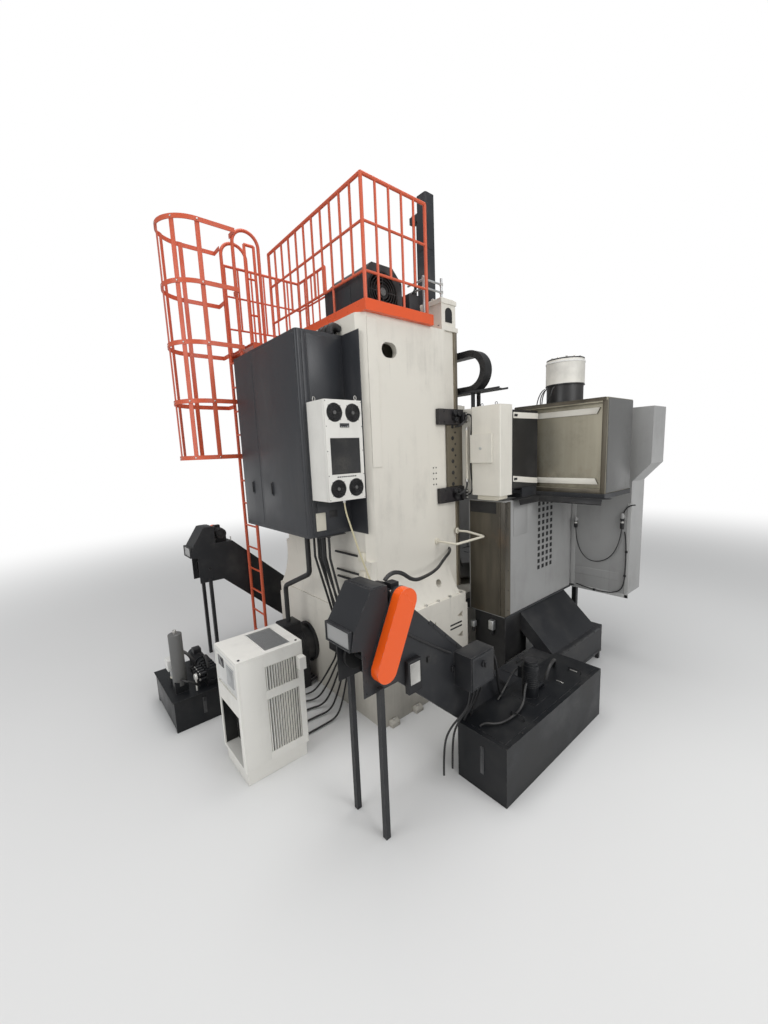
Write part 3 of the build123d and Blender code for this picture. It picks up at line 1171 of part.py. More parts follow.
def electrical_cabinet():
    """Folded cabinet on the column's rear, open behind its doors, with devices on its plate."""
    body = block(CABINET_LEFT, CABINET_RIGHT, COLUMN_REAR, CABINET_REAR, CABINET_BOTTOM, CABINET_TOP)
    body -= block(CABINET_LEFT + SHEET, CABINET_RIGHT - SHEET, COLUMN_REAR + SHEET, CABINET_REAR - SHEET,
                  CABINET_BOTTOM + SHEET, CABINET_TOP - SHEET)
    rim = CABINET_CORNER
    body -= block(CABINET_LEFT + rim, CABINET_RIGHT - rim, CABINET_REAR - SHEET, CABINET_REAR,
                  CABINET_BOTTOM + rim, CABINET_TOP - rim)
    body += block(DOOR_SEAM_X - rim, DOOR_SEAM_X + rim, CABINET_REAR - rim, CABINET_REAR,
                  CABINET_BOTTOM, CABINET_TOP)
    plate_y = COLUMN_REAR + 2 * rim
    side = 3 * rim
    body += block(CABINET_LEFT + side, CABINET_RIGHT - side, COLUMN_REAR + SHEET, plate_y,
                  CABINET_BOTTOM + side, CABINET_TOP - side)
    pitch_x = (CABINET_RIGHT - CABINET_LEFT - 2 * side) / DEVICE_COLUMNS
    pitch_z = (CABINET_TOP - CABINET_BOTTOM - 2 * side) / DEVICE_ROWS
    for row in range(DEVICE_ROWS):
        for col in range(DEVICE_COLUMNS):
            x = CABINET_LEFT + side + col * pitch_x + rim
            z = CABINET_BOTTOM + side + row * pitch_z + rim
            body += block(x, x + pitch_x - 2 * rim, plate_y, plate_y + side * (1 + (row + col) % 2),
                          z, z + pitch_z - 3 * rim)
    return body


def cabinet_door(x0, x1, hinge_side):
    """Folded door pan with a rounded outer corner and a flush handle near its free edge."""
    inner = CABINET_REAR + SEAT_GAP
    outer = CABINET_REAR + CABINET_DOOR
    pan = block(x0, x1, inner, outer, CABINET_BOTTOM, CABINET_TOP)
    vertical = pan.edges().filter_by(Axis.Z).group_by(Axis.Y)[-1].sort_by(Axis.X)
    pan = fillet(vertical[0 if hinge_side < 0 else -1], CABINET_CORNER)
    pan -= block(x0 + CABINET_CORNER, x1 - CABINET_CORNER, inner, outer - SHEET,
                 CABINET_BOTTOM + CABINET_CORNER, CABINET_TOP - CABINET_CORNER)
    free_x = x1 if hinge_side < 0 else x0
    handle_x = free_x + hinge_side * HANDLE_INSET
    pan += block(handle_x - HANDLE_WIDTH / 2, handle_x + HANDLE_WIDTH / 2, outer, outer + 2 * SHEET,
                 HANDLE_Z, HANDLE_Z + HANDLE_LENGTH)
    return pan


def cooling_unit():
    """Cabinet cooler: a white case with four round fan guards and a filter panel."""
    x0 = CABINET_LEFT - COOLER_DEPTH
    y0 = COOLER_REAR - COOLER_WIDTH
    case = block(x0, CABINET_LEFT, y0, COOLER_REAR, COOLER_BOTTOM, COOLER_TOP)
    case = fillet(case.edges().filter_by(Axis.Z).group_by(Axis.X)[0], 2 * SHEET)
    middle = COOLER_REAR - COOLER_WIDTH / 2
    recess = 4 * SHEET
    for y in (middle - FAN_SPREAD, middle + FAN_SPREAD):
        for z in (COOLER_TOP - FAN_EDGE, COOLER_BOTTOM + FAN_EDGE):
            case -= rod((x0, y, z), (x0 + recess, y, z), FAN_RADIUS)
            case += rod((x0 + SHEET, y, z), (x0 + recess, y, z), FAN_RADIUS / 3)
            for turn in range(0, 180, 45):
                bar = Box(SHEET, 2 * FAN_RADIUS, SHEET)
                case += Pos(x0 + SHEET, y, z) * Rot(turn, 0, 0) * bar
    case -= block(x0, x0 + SHEET, middle - FILTER_HALF_WIDTH, middle + FILTER_HALF_WIDTH, FILTER_BOTTOM,
                  FILTER_TOP)
    return case


def chip_pan():
    """Pan round the pedestal on four legs, with a chute to the conveyor on each side."""
    gap = PEDESTAL_RADIUS + SEAT_GAP
    pan = block(-GUARD_HALF_WIDTH, GUARD_HALF_WIDTH, PAN_FRONT - SHEET, GUARD_REAR, GUARD_BOTTOM,
                GUARD_BOTTOM + SHEET)
    pan -= rod((0, 0, GUARD_BOTTOM), (0, 0, GUARD_BOTTOM + SHEET), gap)
    pan -= block(-gap, gap, 0, GUARD_REAR, GUARD_BOTTOM, GUARD_BOTTOM + SHEET)
    chute = slab_xz(chute_outline(0), CHUTE_FRONT, CHUTE_REAR)
    throat = slab_xz(chute_outline(2 * SHEET), CHUTE_FRONT + SHEET, CHUTE_REAR - SHEET)
    pan = pan + pair(chute) - pair(throat)
    foot = GUARD_HALF_WIDTH - PAN_LEG
    for y in (PAN_FRONT, GUARD_REAR - 2 * PAN_LEG):
        pan += pair(block(foot - PAN_LEG, foot, y, y + PAN_LEG, 0, GUARD_BOTTOM))
    return pan


def chute_outline(wall):
    """Section of the left chute; the wall shrinks it to its inside."""
    low, high = CONVEYOR_RUN_TOP, GUARD_BOTTOM + SHEET
    inner = CONVEYOR_INNER + CHUTE_INSET
    outer = CONVEYOR_OUTER - CHUTE_INSET
    return [(-CHUTE_TOP_OUTER + wall, high), (-CHUTE_TOP_INNER - wall, high), (-inner - wall, low),
            (-outer + wall, low)]


def splash_guard(vented):
    """Bent sheet at the left: a side wall and a return behind, with a folded top edge."""
    z0 = GUARD_BOTTOM + SHEET
    x = -GUARD_HALF_WIDTH
    fold = 6 * SHEET
    guard = block(x, x + SHEET, WING_REAR, GUARD_REAR, z0, GUARD_TOP)
    guard += block(x, -GUARD_GAP_AT_COLUMN, GUARD_REAR - SHEET, GUARD_REAR, z0, GUARD_TOP)
    guard += block(x, x + fold, WING_REAR, GUARD_REAR, GUARD_TOP - SHEET, GUARD_TOP)
    guard += block(x, -GUARD_GAP_AT_COLUMN, GUARD_REAR - fold, GUARD_REAR, GUARD_TOP - SHEET, GUARD_TOP)
    if vented:
        for i in range(VENT_COLUMNS):
            for j in range(VENT_ROWS):
                y = VENT_LAST_Y + i * VENT_PITCH_Y
                z = VENT_FIRST_Z + j * VENT_PITCH_Z
                guard -= block(x, x + SHEET, y, y + VENT_SIDE, z, z + VENT_SIDE)
    return guard


def wing_outline(inset):
    """Outline of the left door pocket in X and Z, shrunk on its outer edges."""
    root = -GUARD_HALF_WIDTH + SHEET
    low = DOORWAY_BOTTOM - SHEET + inset
    return [(root, low), (-WING_HALF_WIDTH + inset, low), (-WING_HALF_WIDTH + inset, WING_STEP_Z),
            (-WING_TOP_HALF_WIDTH + inset, WING_STEP_TOP), (-WING_TOP_HALF_WIDTH + inset, WING_TOP - inset),
            (root, WING_TOP - inset)]


def front_guard():
    """Front sheets with a door pocket on each side, a header and a sill."""
    front = PAN_FRONT - SHEET
    pocket = slab_xz(wing_outline(0), front, WING_REAR)
    pocket -= slab_xz(wing_outline(SHEET), PAN_FRONT, WING_REAR - SHEET)
    sheet = block(-GUARD_HALF_WIDTH, -DOORWAY_HALF_WIDTH, front, PAN_FRONT, GUARD_BOTTOM + SHEET, WING_TOP)
    guard = pair(pocket + sheet)
    rear = PAN_FRONT + 3 * DOOR_THICKNESS
    guard += block(-GUARD_HALF_WIDTH, GUARD_HALF_WIDTH, front, rear, DOORWAY_TOP, WING_TOP)
    guard -= block(-GUARD_HALF_WIDTH, GUARD_HALF_WIDTH, PAN_FRONT, rear - SHEET, DOORWAY_TOP,
                   WING_TOP - SHEET)
    guard += block(-GUARD_HALF_WIDTH, GUARD_HALF_WIDTH, front, rear, GUARD_BOTTOM + SHEET, DOORWAY_BOTTOM)
    z = WING_TOP - PENDANT_DROP
    arm = block(PENDANT_X - PENDANT_ARM / 2, PENDANT_X + PENDANT_ARM / 2, PENDANT_Y - PENDANT_ARM / 2,
                front, z, z + PENDANT_ARM)
    arm -= rod((PENDANT_X, PENDANT_Y, z), (PENDANT_X, PENDANT_Y, z + PENDANT_ARM), PENDANT_TUBE + RUN_GAP)
    return guard + arm


def front_door():
    """Left sliding door pan with a window recess and a bar handle."""
    y0 = PAN_FRONT + DOOR_THICKNESS
    y1 = y0 + DOOR_THICKNESS
    z0 = DOORWAY_BOTTOM + SLIDE_GAP
    z1 = DOORWAY_TOP + DOOR_LAP / 2
    x0, x1 = -DOORWAY_HALF_WIDTH - DOOR_LAP / 2, -SLIDE_GAP
    rim = 6 * SHEET
    door = block(x0, x1, y0, y1, z0, z1)
    door -= block(x0 + rim, x1 - rim, y0 + 2 * SHEET, y1, z0 + rim, z1 - rim)
    middle = (x0 + x1) / 2
    door -= block(middle - WINDOW_WIDTH / 2, middle + WINDOW_WIDTH / 2, y0, y0 + SHEET, WINDOW_BOTTOM,
                  WINDOW_TOP)
    y = y0 - 2 * rim / 3
    low, high = GRIP_BOTTOM, GRIP_BOTTOM + GRIP_LENGTH
    for z in (low + rim, high - rim):
        door += rod((-DOOR_LAP, y0, z), (-DOOR_LAP, y, z), 2 * SHEET)
    return door + rod((-DOOR_LAP, y, low), (-DOOR_LAP, y, high), GRIP_RADIUS)


def operator_pendant():
    """Control box that swivels on a tube hung in the guard's arm."""
    rest = WING_TOP - PENDANT_DROP + PENDANT_ARM + SLIDE_GAP
    top = rest + PENDANT_TUBE
    post = rod((PENDANT_X, PENDANT_Y, PENDANT_BOX_TOP), (PENDANT_X, PENDANT_Y, top), PENDANT_TUBE)
    collar = rod((PENDANT_X, PENDANT_Y, rest), (PENDANT_X, PENDANT_Y, top), PENDANT_COLLAR)
    half_x, half_y = PENDANT_BOX_WIDTH / 2, PENDANT_BOX_DEPTH / 2
    face = PENDANT_Y - half_y
    case = block(PENDANT_X - half_x, PENDANT_X + half_x, face, PENDANT_Y + half_y,
                 PENDANT_BOX_BOTTOM, PENDANT_BOX_TOP)
    case = fillet(case.edges().filter_by(Axis.Z), 3 * SHEET)
    rim = 6 * SHEET
    screen_low = (PENDANT_BOX_BOTTOM + PENDANT_BOX_TOP) / 2
    case -= block(PENDANT_X - half_x + rim, PENDANT_X + half_x - rim, face, face + SHEET,
                  screen_low, PENDANT_BOX_TOP - rim)
    case -= rod((BUTTON_X, face, BUTTON_Z), (BUTTON_X, face + 2 * BUTTON_RADIUS, BUTTON_Z),
                BUTTON_RADIUS / 2 + RUN_GAP)
    return case + post + collar


def emergency_stop():
    """Mushroom button on the pendant's face, standing off by its stroke."""
    face = PENDANT_Y - PENDANT_BOX_DEPTH / 2
    stem = rod((BUTTON_X, face - BUTTON_STAND, BUTTON_Z), (BUTTON_X, face + BUTTON_STEM, BUTTON_Z),
               BUTTON_RADIUS / 2)
    cap = rod((BUTTON_X, face - 2 * BUTTON_STAND, BUTTON_Z), (BUTTON_X, face - BUTTON_STAND, BUTTON_Z),
              BUTTON_RADIUS)
    return stem + chamfer(cap.edges().group_by(Axis.Y)[0], BUTTON_STAND / 3)


def coolant_tank():
    """Low sheet tank beside the left conveyor, with lift handles, a pump and a return pipe."""
    inner = -CONVEYOR_OUTER
    tank = box_shell(TANK_OUTER, inner, TANK_FRONT, TANK_REAR, 0, TANK_HEIGHT, CONVEYOR_WALL)
    lid = TANK_HEIGHT + SHEET
    inset = 8 * SHEET
    tank += block(TANK_OUTER + inset, inner - inset, TANK_FRONT + inset, TANK_REAR - inset, TANK_HEIGHT, lid)
    for y in TANK_HANDLES:
        x0, x1 = TANK_OUTER + 2 * inset, TANK_OUTER + 5 * inset
        route = [(x0, y, lid), (x0, y, lid + inset), (x1, y, lid + inset), (x1, y, lid)]
        tank += tube(route, SHEET, 2 * SHEET)
    plate = block(PUMP_X - PUMP_PLATE, PUMP_X + PUMP_PLATE, PUMP_Y - PUMP_PLATE, PUMP_Y + PUMP_PLATE, lid,
                  lid + SHEET)
    pump_top = lid + PUMP_HEIGHT
    pump = rod((PUMP_X, PUMP_Y, lid + SHEET), (PUMP_X, PUMP_Y, pump_top), PUMP_RADIUS)
    cap = rod((PUMP_X, PUMP_Y, pump_top), (PUMP_X, PUMP_Y, pump_top + 6 * SHEET), PUMP_CAP_RADIUS)
    box = block(PUMP_X + PUMP_BOX_INNER, PUMP_X + PUMP_BOX_OUTER, PUMP_Y - PUMP_RADIUS / 2,
                PUMP_Y + PUMP_RADIUS / 2, lid + PUMP_HEIGHT / 2, lid + PUMP_BOX_TOP)
    outlet_z = lid + 6 * SHEET
    outlet_y = PUMP_Y - 3 * PUMP_RADIUS
    outlet = tube([(PUMP_X, PUMP_Y - PUMP_RADIUS / 2, outlet_z), (PUMP_X, outlet_y, outlet_z),
                   (PUMP_X, outlet_y, lid)], 4 * SHEET, 5 * SHEET)
    return tank + plate + pump + cap + box + outlet


def conveyor_profile():
    """Side outline of a chip conveyor in Y and Z: flat run, incline, head and hood."""
    head_y = INCLINE_START + (CONVEYOR_HEAD_FLOOR - CONVEYOR_FLOOR) / CONVEYOR_SLOPE
    top_y = HOOD_FRONT - (CONVEYOR_HEAD_TOP - CONVEYOR_RUN_TOP) / CONVEYOR_SLOPE
    return [(CONVEYOR_START, CONVEYOR_FLOOR), (INCLINE_START, CONVEYOR_FLOOR), (head_y, CONVEYOR_HEAD_FLOOR),
            (MOUTH_REAR, CONVEYOR_HEAD_FLOOR), (MOUTH_REAR, MOUTH_TOP), (HOOD_REAR, MOUTH_TOP + 4 * SHEET),
            (HOOD_REAR - 5 * SHEET, HOOD_EDGE), (HOOD_RIDGE, CONVEYOR_HOOD_TOP),
            (HOOD_STEP, CONVEYOR_HOOD_TOP), (HOOD_STEP, CONVEYOR_HEAD_TOP), (HOOD_FRONT, CONVEYOR_HEAD_TOP),
            (top_y, CONVEYOR_RUN_TOP), (CONVEYOR_START, CONVEYOR_RUN_TOP)]


def stadium(start, end, radius, x0, x1):
    """Rounded link plate between two points in Y and Z, carried along X."""
    a, b = Vector(0, *start), Vector(0, *end)
    along = (b - a).normalized()
    across = Vector(0, -along.Z, along.Y) * radius
    corners = [a + across, b + across, b - across, a - across]
    body = slab_yz([(p.Y, p.Z) for p in corners], x0, x1)
    for p in (start, end):
        body += rod((x0, *p), (x1, *p), radius)
    return body


def inset_corners(points, wall):
    """Corners of an outline, moved in by the thickness of its wall."""
    corners = [Vector(0, *point) for point in points]
    inner = []
    for i, corner in enumerate(corners):
        before = (corner - corners[i - 1]).normalized()
        after = (corners[(i + 1) % len(corners)] - corner).normalized()
        from_before = Vector(0, -before.Z, before.Y)
        inward = from_before + Vector(0, -after.Z, after.Y)
        moved = corner + inward * (wall / inward.dot(from_before))
        inner.append((moved.Y, moved.Z))
    return inner


def conveyor_fields(profile):
    """Fields that a conveyor's side sheet is jointed from: run, incline, head and hood."""
    low_front, low_knee, heel, mouth_foot, mouth_head, *hood, step, crown, top_knee, top_front = profile
    return [[low_front, low_knee, top_knee, top_front], [low_knee, heel, crown, top_knee],
            [heel, mouth_foot, mouth_head, step, crown], [mouth_head, *hood, step]]


def strips_round(sheet, gap):
    """A flat sheet as the four strips that frame a rectangular gap in it."""
    whole, hole = sheet.bounding_box(), gap.bounding_box()
    z0, z1 = whole.min.Z, whole.max.Z
    return [sheet & block(whole.min.X, whole.max.X, whole.min.Y, hole.min.Y, z0, z1),
            sheet & block(whole.min.X, whole.max.X, hole.max.Y, whole.max.Y, z0, z1),
            block(whole.min.X, hole.min.X, hole.min.Y, hole.max.Y, z0, z1),
            block(hole.max.X, whole.max.X, hole.min.Y, hole.max.Y, z0, z1)]


def conveyor():
    """Left chip conveyor as its sheets: two sides, a skin between them, an apron, legs and skids."""
    profile = conveyor_profile()
    wall_out, wall_in = -CONVEYOR_OUTER + CONVEYOR_WALL, -CONVEYOR_INNER - CONVEYOR_WALL
    bore = rod((-CONVEYOR_OUTER - GUARD_BACKPLATE, HEAD_SHAFT_Y, HEAD_SHAFT_Z),
               (-CONVEYOR_INNER, HEAD_SHAFT_Y, HEAD_SHAFT_Z), HEAD_SHAFT_RADIUS + RUN_GAP)
    back_plate = stadium((DRIVE_Y, DRIVE_Z), (HEAD_SHAFT_Y, HEAD_SHAFT_Z), BELT_GUARD_RADIUS,
                         -CONVEYOR_OUTER - GUARD_BACKPLATE, -CONVEYOR_OUTER)
    motor_hole = rod((-CONVEYOR_OUTER - GUARD_BACKPLATE, DRIVE_Y, DRIVE_Z),
                     (-CONVEYOR_OUTER, DRIVE_Y, DRIVE_Z), MOTOR_SHAFT_RADIUS + SEAT_GAP)
    parts = [back_plate - motor_hole - bore]
    for field in conveyor_fields(profile):
        parts.append(slab_yz(field, -CONVEYOR_OUTER, wall_out) - bore)
        parts.append(slab_yz(field, wall_in, -CONVEYOR_INNER) - bore)

    inside = inset_corners(profile, CONVEYOR_WALL)
    inlet = block(wall_out + CHUTE_INSET, wall_in - CHUTE_INSET, CHUTE_FRONT + SHEET, CHUTE_REAR - SHEET,
                  CONVEYOR_RUN_TOP - CONVEYOR_WALL, CONVEYOR_RUN_TOP)
    mouth = block(wall_out, wall_in, HEAD_SHAFT_Y - SPROCKET_RADIUS / 2, MOUTH_REAR, CONVEYOR_HEAD_FLOOR,
                  MOUTH_TOP + CONVEYOR_WALL)
    for i in range(len(profile)):
        j = (i + 1) % len(profile)
        sheet = slab_yz([profile[i], profile[j], inside[j], inside[i]], wall_out, wall_in)
        if (sheet & inlet).solids():
            parts += strips_round(sheet, inlet)
        elif (sheet - mouth).solids():
            parts.append(sheet - mouth)

    start = CONVEYOR_START + CONVEYOR_WALL
    knee_y = APRON_END - (APRON_TOP - APRON_Z) / CONVEYOR_SLOPE
    line = [(start, APRON_Z), (knee_y, APRON_Z), (APRON_END, APRON_TOP)]
    for (y0, z0), (y1, z1) in zip(line, line[1:]):
        parts.append(slab_yz([(y0, z0 - SHEET), (y1, z1 - SHEET), (y1, z1), (y0, z0)], wall_out, wall_in))
    for x in (-CONVEYOR_OUTER, -CONVEYOR_INNER - LEG_SIDE):
        for y in (CONVEYOR_START + LEG_SIDE, INCLINE_START - 2 * LEG_SIDE):
            parts.append(block(x, x + LEG_SIDE, y, y + LEG_SIDE, 0, CONVEYOR_FLOOR))
    for x in (-CONVEYOR_OUTER - LEG_SIDE, -CONVEYOR_INNER):
        parts.append(block(x, x + LEG_SIDE, HEAD_SHAFT_Y, HEAD_SHAFT_Y + LEG_SIDE, 0,
                           CONVEYOR_HEAD_FLOOR + LEG_SIDE))
    return apart(parts)


def conveyor_control_box():
    """Starter box of the left conveyor, on its side wall."""
    return block(STARTER_LEFT, -CONVEYOR_OUTER, STARTER_FRONT, STARTER_REAR, STARTER_BOTTOM, STARTER_TOP)


def head_shaft():
    """Conveyor head shaft with its two sprockets and the driven pulley."""
    outer = -CONVEYOR_OUTER - GUARD_BACKPLATE - PULLEY_REACH

    def turned_part(x0, x1, radius):
        return rod((x0, HEAD_SHAFT_Y, HEAD_SHAFT_Z), (x1, HEAD_SHAFT_Y, HEAD_SHAFT_Z), radius)

    parts = [turned_part(outer, -CONVEYOR_INNER, HEAD_SHAFT_RADIUS),
             turned_part(outer, outer + PULLEY_WIDTH, PULLEY_RADIUS)]
    for x in (-CONVEYOR_OUTER + 4 * CONVEYOR_WALL, -CONVEYOR_INNER - 8 * CONVEYOR_WALL):
        parts.append(turned_part(x, x + 4 * CONVEYOR_WALL, SPROCKET_RADIUS))
    return union(parts)


def belt_guards():
    """Closed covers over the belts that drive the two conveyors."""
    x1 = -CONVEYOR_OUTER - GUARD_BACKPLATE
    x0 = x1 - BELT_GUARD_DEPTH
    ends = ((DRIVE_Y, DRIVE_Z), (HEAD_SHAFT_Y, HEAD_SHAFT_Z))
    cover = stadium(*ends, BELT_GUARD_RADIUS, x0, x1)
    cover -= stadium(*ends, BELT_GUARD_RADIUS - SHEET, x0 + SHEET, x1)
    return pair(cover)


def conveyor_motors():
    """Flange motors on the conveyor heads, each with a foot, a fan cowl and a pulley."""
    start = -CONVEYOR_OUTER
    end = start + DRIVE_LENGTH
    at = (DRIVE_Y, DRIVE_Z)
    base = CONVEYOR_HEAD_TOP
    foot = block(start + 6 * SHEET, end - 8 * SHEET, DRIVE_Y - DRIVE_RADIUS, DRIVE_Y + DRIVE_RADIUS, base,
                 DRIVE_Z - DRIVE_RADIUS / 2)
    body = rod((start + 2 * SHEET, *at), (end - 8 * SHEET, *at), DRIVE_RADIUS)
    cowl = rod((end - 8 * SHEET, *at), (end, *at), DRIVE_RADIUS - SHEET)
    face = rod((start + SEAT_GAP, *at), (start + 2 * SHEET, *at), BELT_GUARD_RADIUS - SHEET)
    reach = start - GUARD_BACKPLATE - PULLEY_REACH
    shaft = rod((reach, *at), (start + SEAT_GAP, *at), MOTOR_SHAFT_RADIUS)
    pulley = rod((reach, *at), (reach + PULLEY_WIDTH, *at), DRIVE_PULLEY_RADIUS)
    box = block(start + 8 * SHEET, start + 22 * SHEET, DRIVE_Y - DRIVE_RADIUS / 2, DRIVE_Y + DRIVE_RADIUS / 2,
                DRIVE_Z, DRIVE_Z + DRIVE_BOX_HEIGHT)
    return pair(union([foot, body, cowl, face, shaft, pulley, box]))


def chiller():
    """Spindle oil chiller: white case with louvres on its left and a grille on top."""
    case = block(CHILLER_LEFT, CHILLER_RIGHT, CHILLER_FRONT, CHILLER_REAR, CHILLER_BOTTOM, CHILLER_TOP)
    case = fillet(case.edges().filter_by(Axis.Z), 2 * SHEET)
    case += block(CHILLER_LEFT + 4 * SHEET, CHILLER_RIGHT - 4 * SHEET, CHILLER_FRONT + 4 * SHEET,
                  CHILLER_REAR - 4 * SHEET, 0, CHILLER_BOTTOM)
    depth = 3 * SHEET
    y0, y1 = CHILLER_FRONT + LOUVRE_FRONT, CHILLER_FRONT + LOUVRE_REAR
    pitch = (y1 - y0) / LOUVRE_COUNT
    for low, high in LOUVRE_BANDS:
        z0, z1 = CHILLER_BOTTOM + low, CHILLER_BOTTOM + high
        case -= block(CHILLER_LEFT, CHILLER_LEFT + depth, y0, y1, z0, z1)
        for i in range(LOUVRE_COUNT):
            y = y0 + i * pitch + (pitch - LOUVRE_BLADE) / 2
            case += block(CHILLER_LEFT + SHEET / 2, CHILLER_LEFT + depth, y, y + LOUVRE_BLADE, z0, z1)
    x0, x1 = CHILLER_LEFT + 9 * SHEET, CHILLER_RIGHT - 9 * SHEET
    case -= block(x0, x1, CHILLER_REAR - depth, CHILLER_REAR, CHILLER_BOTTOM + CONTROL_RECESS[0],
                  CHILLER_BOTTOM + CONTROL_RECESS[1])
    case -= block(x0, x1, CHILLER_REAR - 8 * depth, CHILLER_REAR, CHILLER_BOTTOM + 6 * SHEET,
                  CHILLER_BOTTOM + BAY_TOP)
    case -= block(x0, x1, CHILLER_FRONT + TOP_GRILLE[0], CHILLER_FRONT + TOP_GRILLE[1], CHILLER_TOP - depth,
                  CHILLER_TOP)
    return case + block(CHILLER_LEFT - JUNCTION_DEPTH, CHILLER_LEFT, CHILLER_FRONT + 2 * SHEET,
                        CHILLER_FRONT + JUNCTION_DEPTH, CHILLER_TOP - JUNCTION_DROP - JUNCTION_HEIGHT,
                        CHILLER_TOP - JUNCTION_DROP)


def hydraulic_unit():
    """Power pack: oil tank, motor and pump, accumulator, filler cap, filter and a valve stack."""
    top = POWER_PACK_HEIGHT
    tank = box_shell(POWER_PACK_LEFT, POWER_PACK_RIGHT, POWER_PACK_FRONT, POWER_PACK_REAR, PACK_FOOT, top,
                     SHEET)
    for x in (POWER_PACK_LEFT, POWER_PACK_RIGHT - LEG_SIDE):
        tank += block(x, x + LEG_SIDE, POWER_PACK_FRONT, POWER_PACK_REAR, 0, PACK_FOOT)
    rim = 3 * SHEET
    deck = top + SHEET
    tank += block(POWER_PACK_LEFT - rim, POWER_PACK_RIGHT + rim, POWER_PACK_FRONT - rim,
                  POWER_PACK_REAR + rim, top, deck)
    motor_z = deck + PUMP_RADIUS + 4 * SHEET
    y = POWER_PACK_FRONT + 2 * PUMP_RADIUS
    x = POWER_PACK_RIGHT - PUMP_HEIGHT - 6 * SHEET
    motor = rod((x, y, motor_z), (x + PUMP_HEIGHT, y, motor_z), PUMP_RADIUS)
    feet = block(x + 4 * SHEET, x + PUMP_HEIGHT - 4 * SHEET, y - PUMP_FOOT_HALF_WIDTH,
                 y + PUMP_FOOT_HALF_WIDTH, deck, motor_z)
    bell = rod((x - PUMP_RADIUS, y, motor_z), (x, y, motor_z), PUMP_FOOT_HALF_WIDTH)
    pump = block(x - PUMP_RADIUS - GEAR_PUMP_LENGTH, x - PUMP_RADIUS, y - PUMP_RADIUS / 2,
                 y + PUMP_RADIUS / 2, motor_z - PUMP_RADIUS / 2, motor_z + PUMP_RADIUS / 2)

    def upright(centre_x, centre_y, z0, z1, radius):
        return rod((centre_x, centre_y, z0), (centre_x, centre_y, z1), radius)

    reach = ACCUMULATOR_RADIUS
    clamp = block(ACCUMULATOR_X - reach, ACCUMULATOR_X + reach, ACCUMULATOR_Y - reach,
                  ACCUMULATOR_Y + reach, deck, ACCUMULATOR_BOTTOM)
    bottle = upright(ACCUMULATOR_X, ACCUMULATOR_Y, ACCUMULATOR_BOTTOM, ACCUMULATOR_TOP, ACCUMULATOR_RADIUS)
    neck_top = deck + FILLER_RADIUS
    neck = upright(FILLER_X, FILLER_Y, deck, neck_top, FILLER_RADIUS)
    cap = upright(FILLER_X, FILLER_Y, neck_top, neck_top + FILLER_CAP_HEIGHT, FILLER_CAP_RADIUS)
    manifold_top = deck + VALVE_PITCH
    valve_rear = VALVE_Y + 2 * VALVE_PITCH
    manifold = block(VALVE_X - VALVE_PITCH / 4, VALVE_X + VALVE_COUNT * VALVE_PITCH, VALVE_Y, valve_rear,
                     deck, manifold_top)
    parts = [motor, feet, bell, pump, clamp, bottle, neck, cap, manifold]
    for i in range(VALVE_COUNT):
        left = VALVE_X + i * VALVE_PITCH
        parts.append(block(left, left + VALVE_WIDTH, VALVE_Y, valve_rear, manifold_top,
                           manifold_top + 2 * VALVE_PITCH))
        centre = left + VALVE_WIDTH / 2
        for z in (manifold_top + VALVE_PITCH / 2, manifold_top + 3 * VALVE_PITCH / 2):
            parts.append(rod((centre, valve_rear, z), (centre, valve_rear + VALVE_PITCH, z), COIL_RADIUS))
    return union([tank] + parts)


def cabinet_conduits():
    """Thick conduit to the drive motor and cables down to a terminal box on the bed."""
    top = CABINET_BOTTOM
    box = block(TERMINAL_LEFT, TERMINAL_RIGHT, BED_REAR, BED_REAR + TERMINAL_DEPTH, TERMINAL_BOTTOM,
                TERMINAL_TOP)
    box_y = BED_REAR + TERMINAL_DEPTH / 2
    parts = [box]
    pitch = (TERMINAL_RIGHT - TERMINAL_LEFT) / CABLE_COUNT
    for i in range(CABLE_COUNT):
        x_low = TERMINAL_LEFT + i * pitch + pitch / 2
        x_high = CABLE_FIRST_X + i * CABLE_PITCH
        y_high = CABLE_Y + (i % 2) * pitch
        parts.append(tube([(x_high, y_high, top), (x_high, y_high, top - 2 * TERMINAL_DEPTH),
                           (x_low, box_y, TERMINAL_TOP + TERMINAL_DEPTH), (x_low, box_y, TERMINAL_TOP)],
                          CABLE_RADIUS, 3 * CABLE_RADIUS))
        parts.append(rod((x_high, y_high, top - GLAND_LENGTH), (x_high, y_high, top), CABLE_GLAND_RADIUS))
    middle = (top + MOTOR_BOX_TOP) / 2
    conduit = tube([(CONDUIT_X, MOTOR_BOX_Y, top), (CONDUIT_X, MOTOR_BOX_Y, middle + CONDUIT_DROP),
                    (MOTOR_X, MOTOR_BOX_Y, middle - CONDUIT_DROP), (MOTOR_X, MOTOR_BOX_Y, MOTOR_BOX_TOP)],
                   CONDUIT_RADIUS, 3 * CONDUIT_RADIUS)
    gland = rod((CONDUIT_X, MOTOR_BOX_Y, top - GLAND_LENGTH), (CONDUIT_X, MOTOR_BOX_Y, top),
                CONDUIT_GLAND_RADIUS)
    return union(parts) + conduit + gland


def wing_cable_route():
    """Free cable on the wing's rear face: down from its plug, a hanging loop and up to the other."""
    y = WING_REAR + PLUG_STAND
    return [Vector(x, y + out, z) for x, out, z in WING_CABLE_POINTS]


def wing_cable():
    """The cable's tube; each bend is as wide as its two runs allow."""
    route = wing_cable_route()
    bends = []
    for before, here, after in zip(route, route[1:], route[2:]):
        turn = (here - before).get_angle(after - here)
        shorter = min((here - before).length, (after - here).length)
        bends.append(BEND_SHARE * shorter / tan(radians(turn / 2)))
    print("wing cable bend radii", [round(r) for r in bends])
    path = FilletPolyline(*route, radius=bends)
    return sweep(Plane(origin=path @ 0, z_dir=path % 0) * Circle(WING_CABLE_RADIUS), path=path)


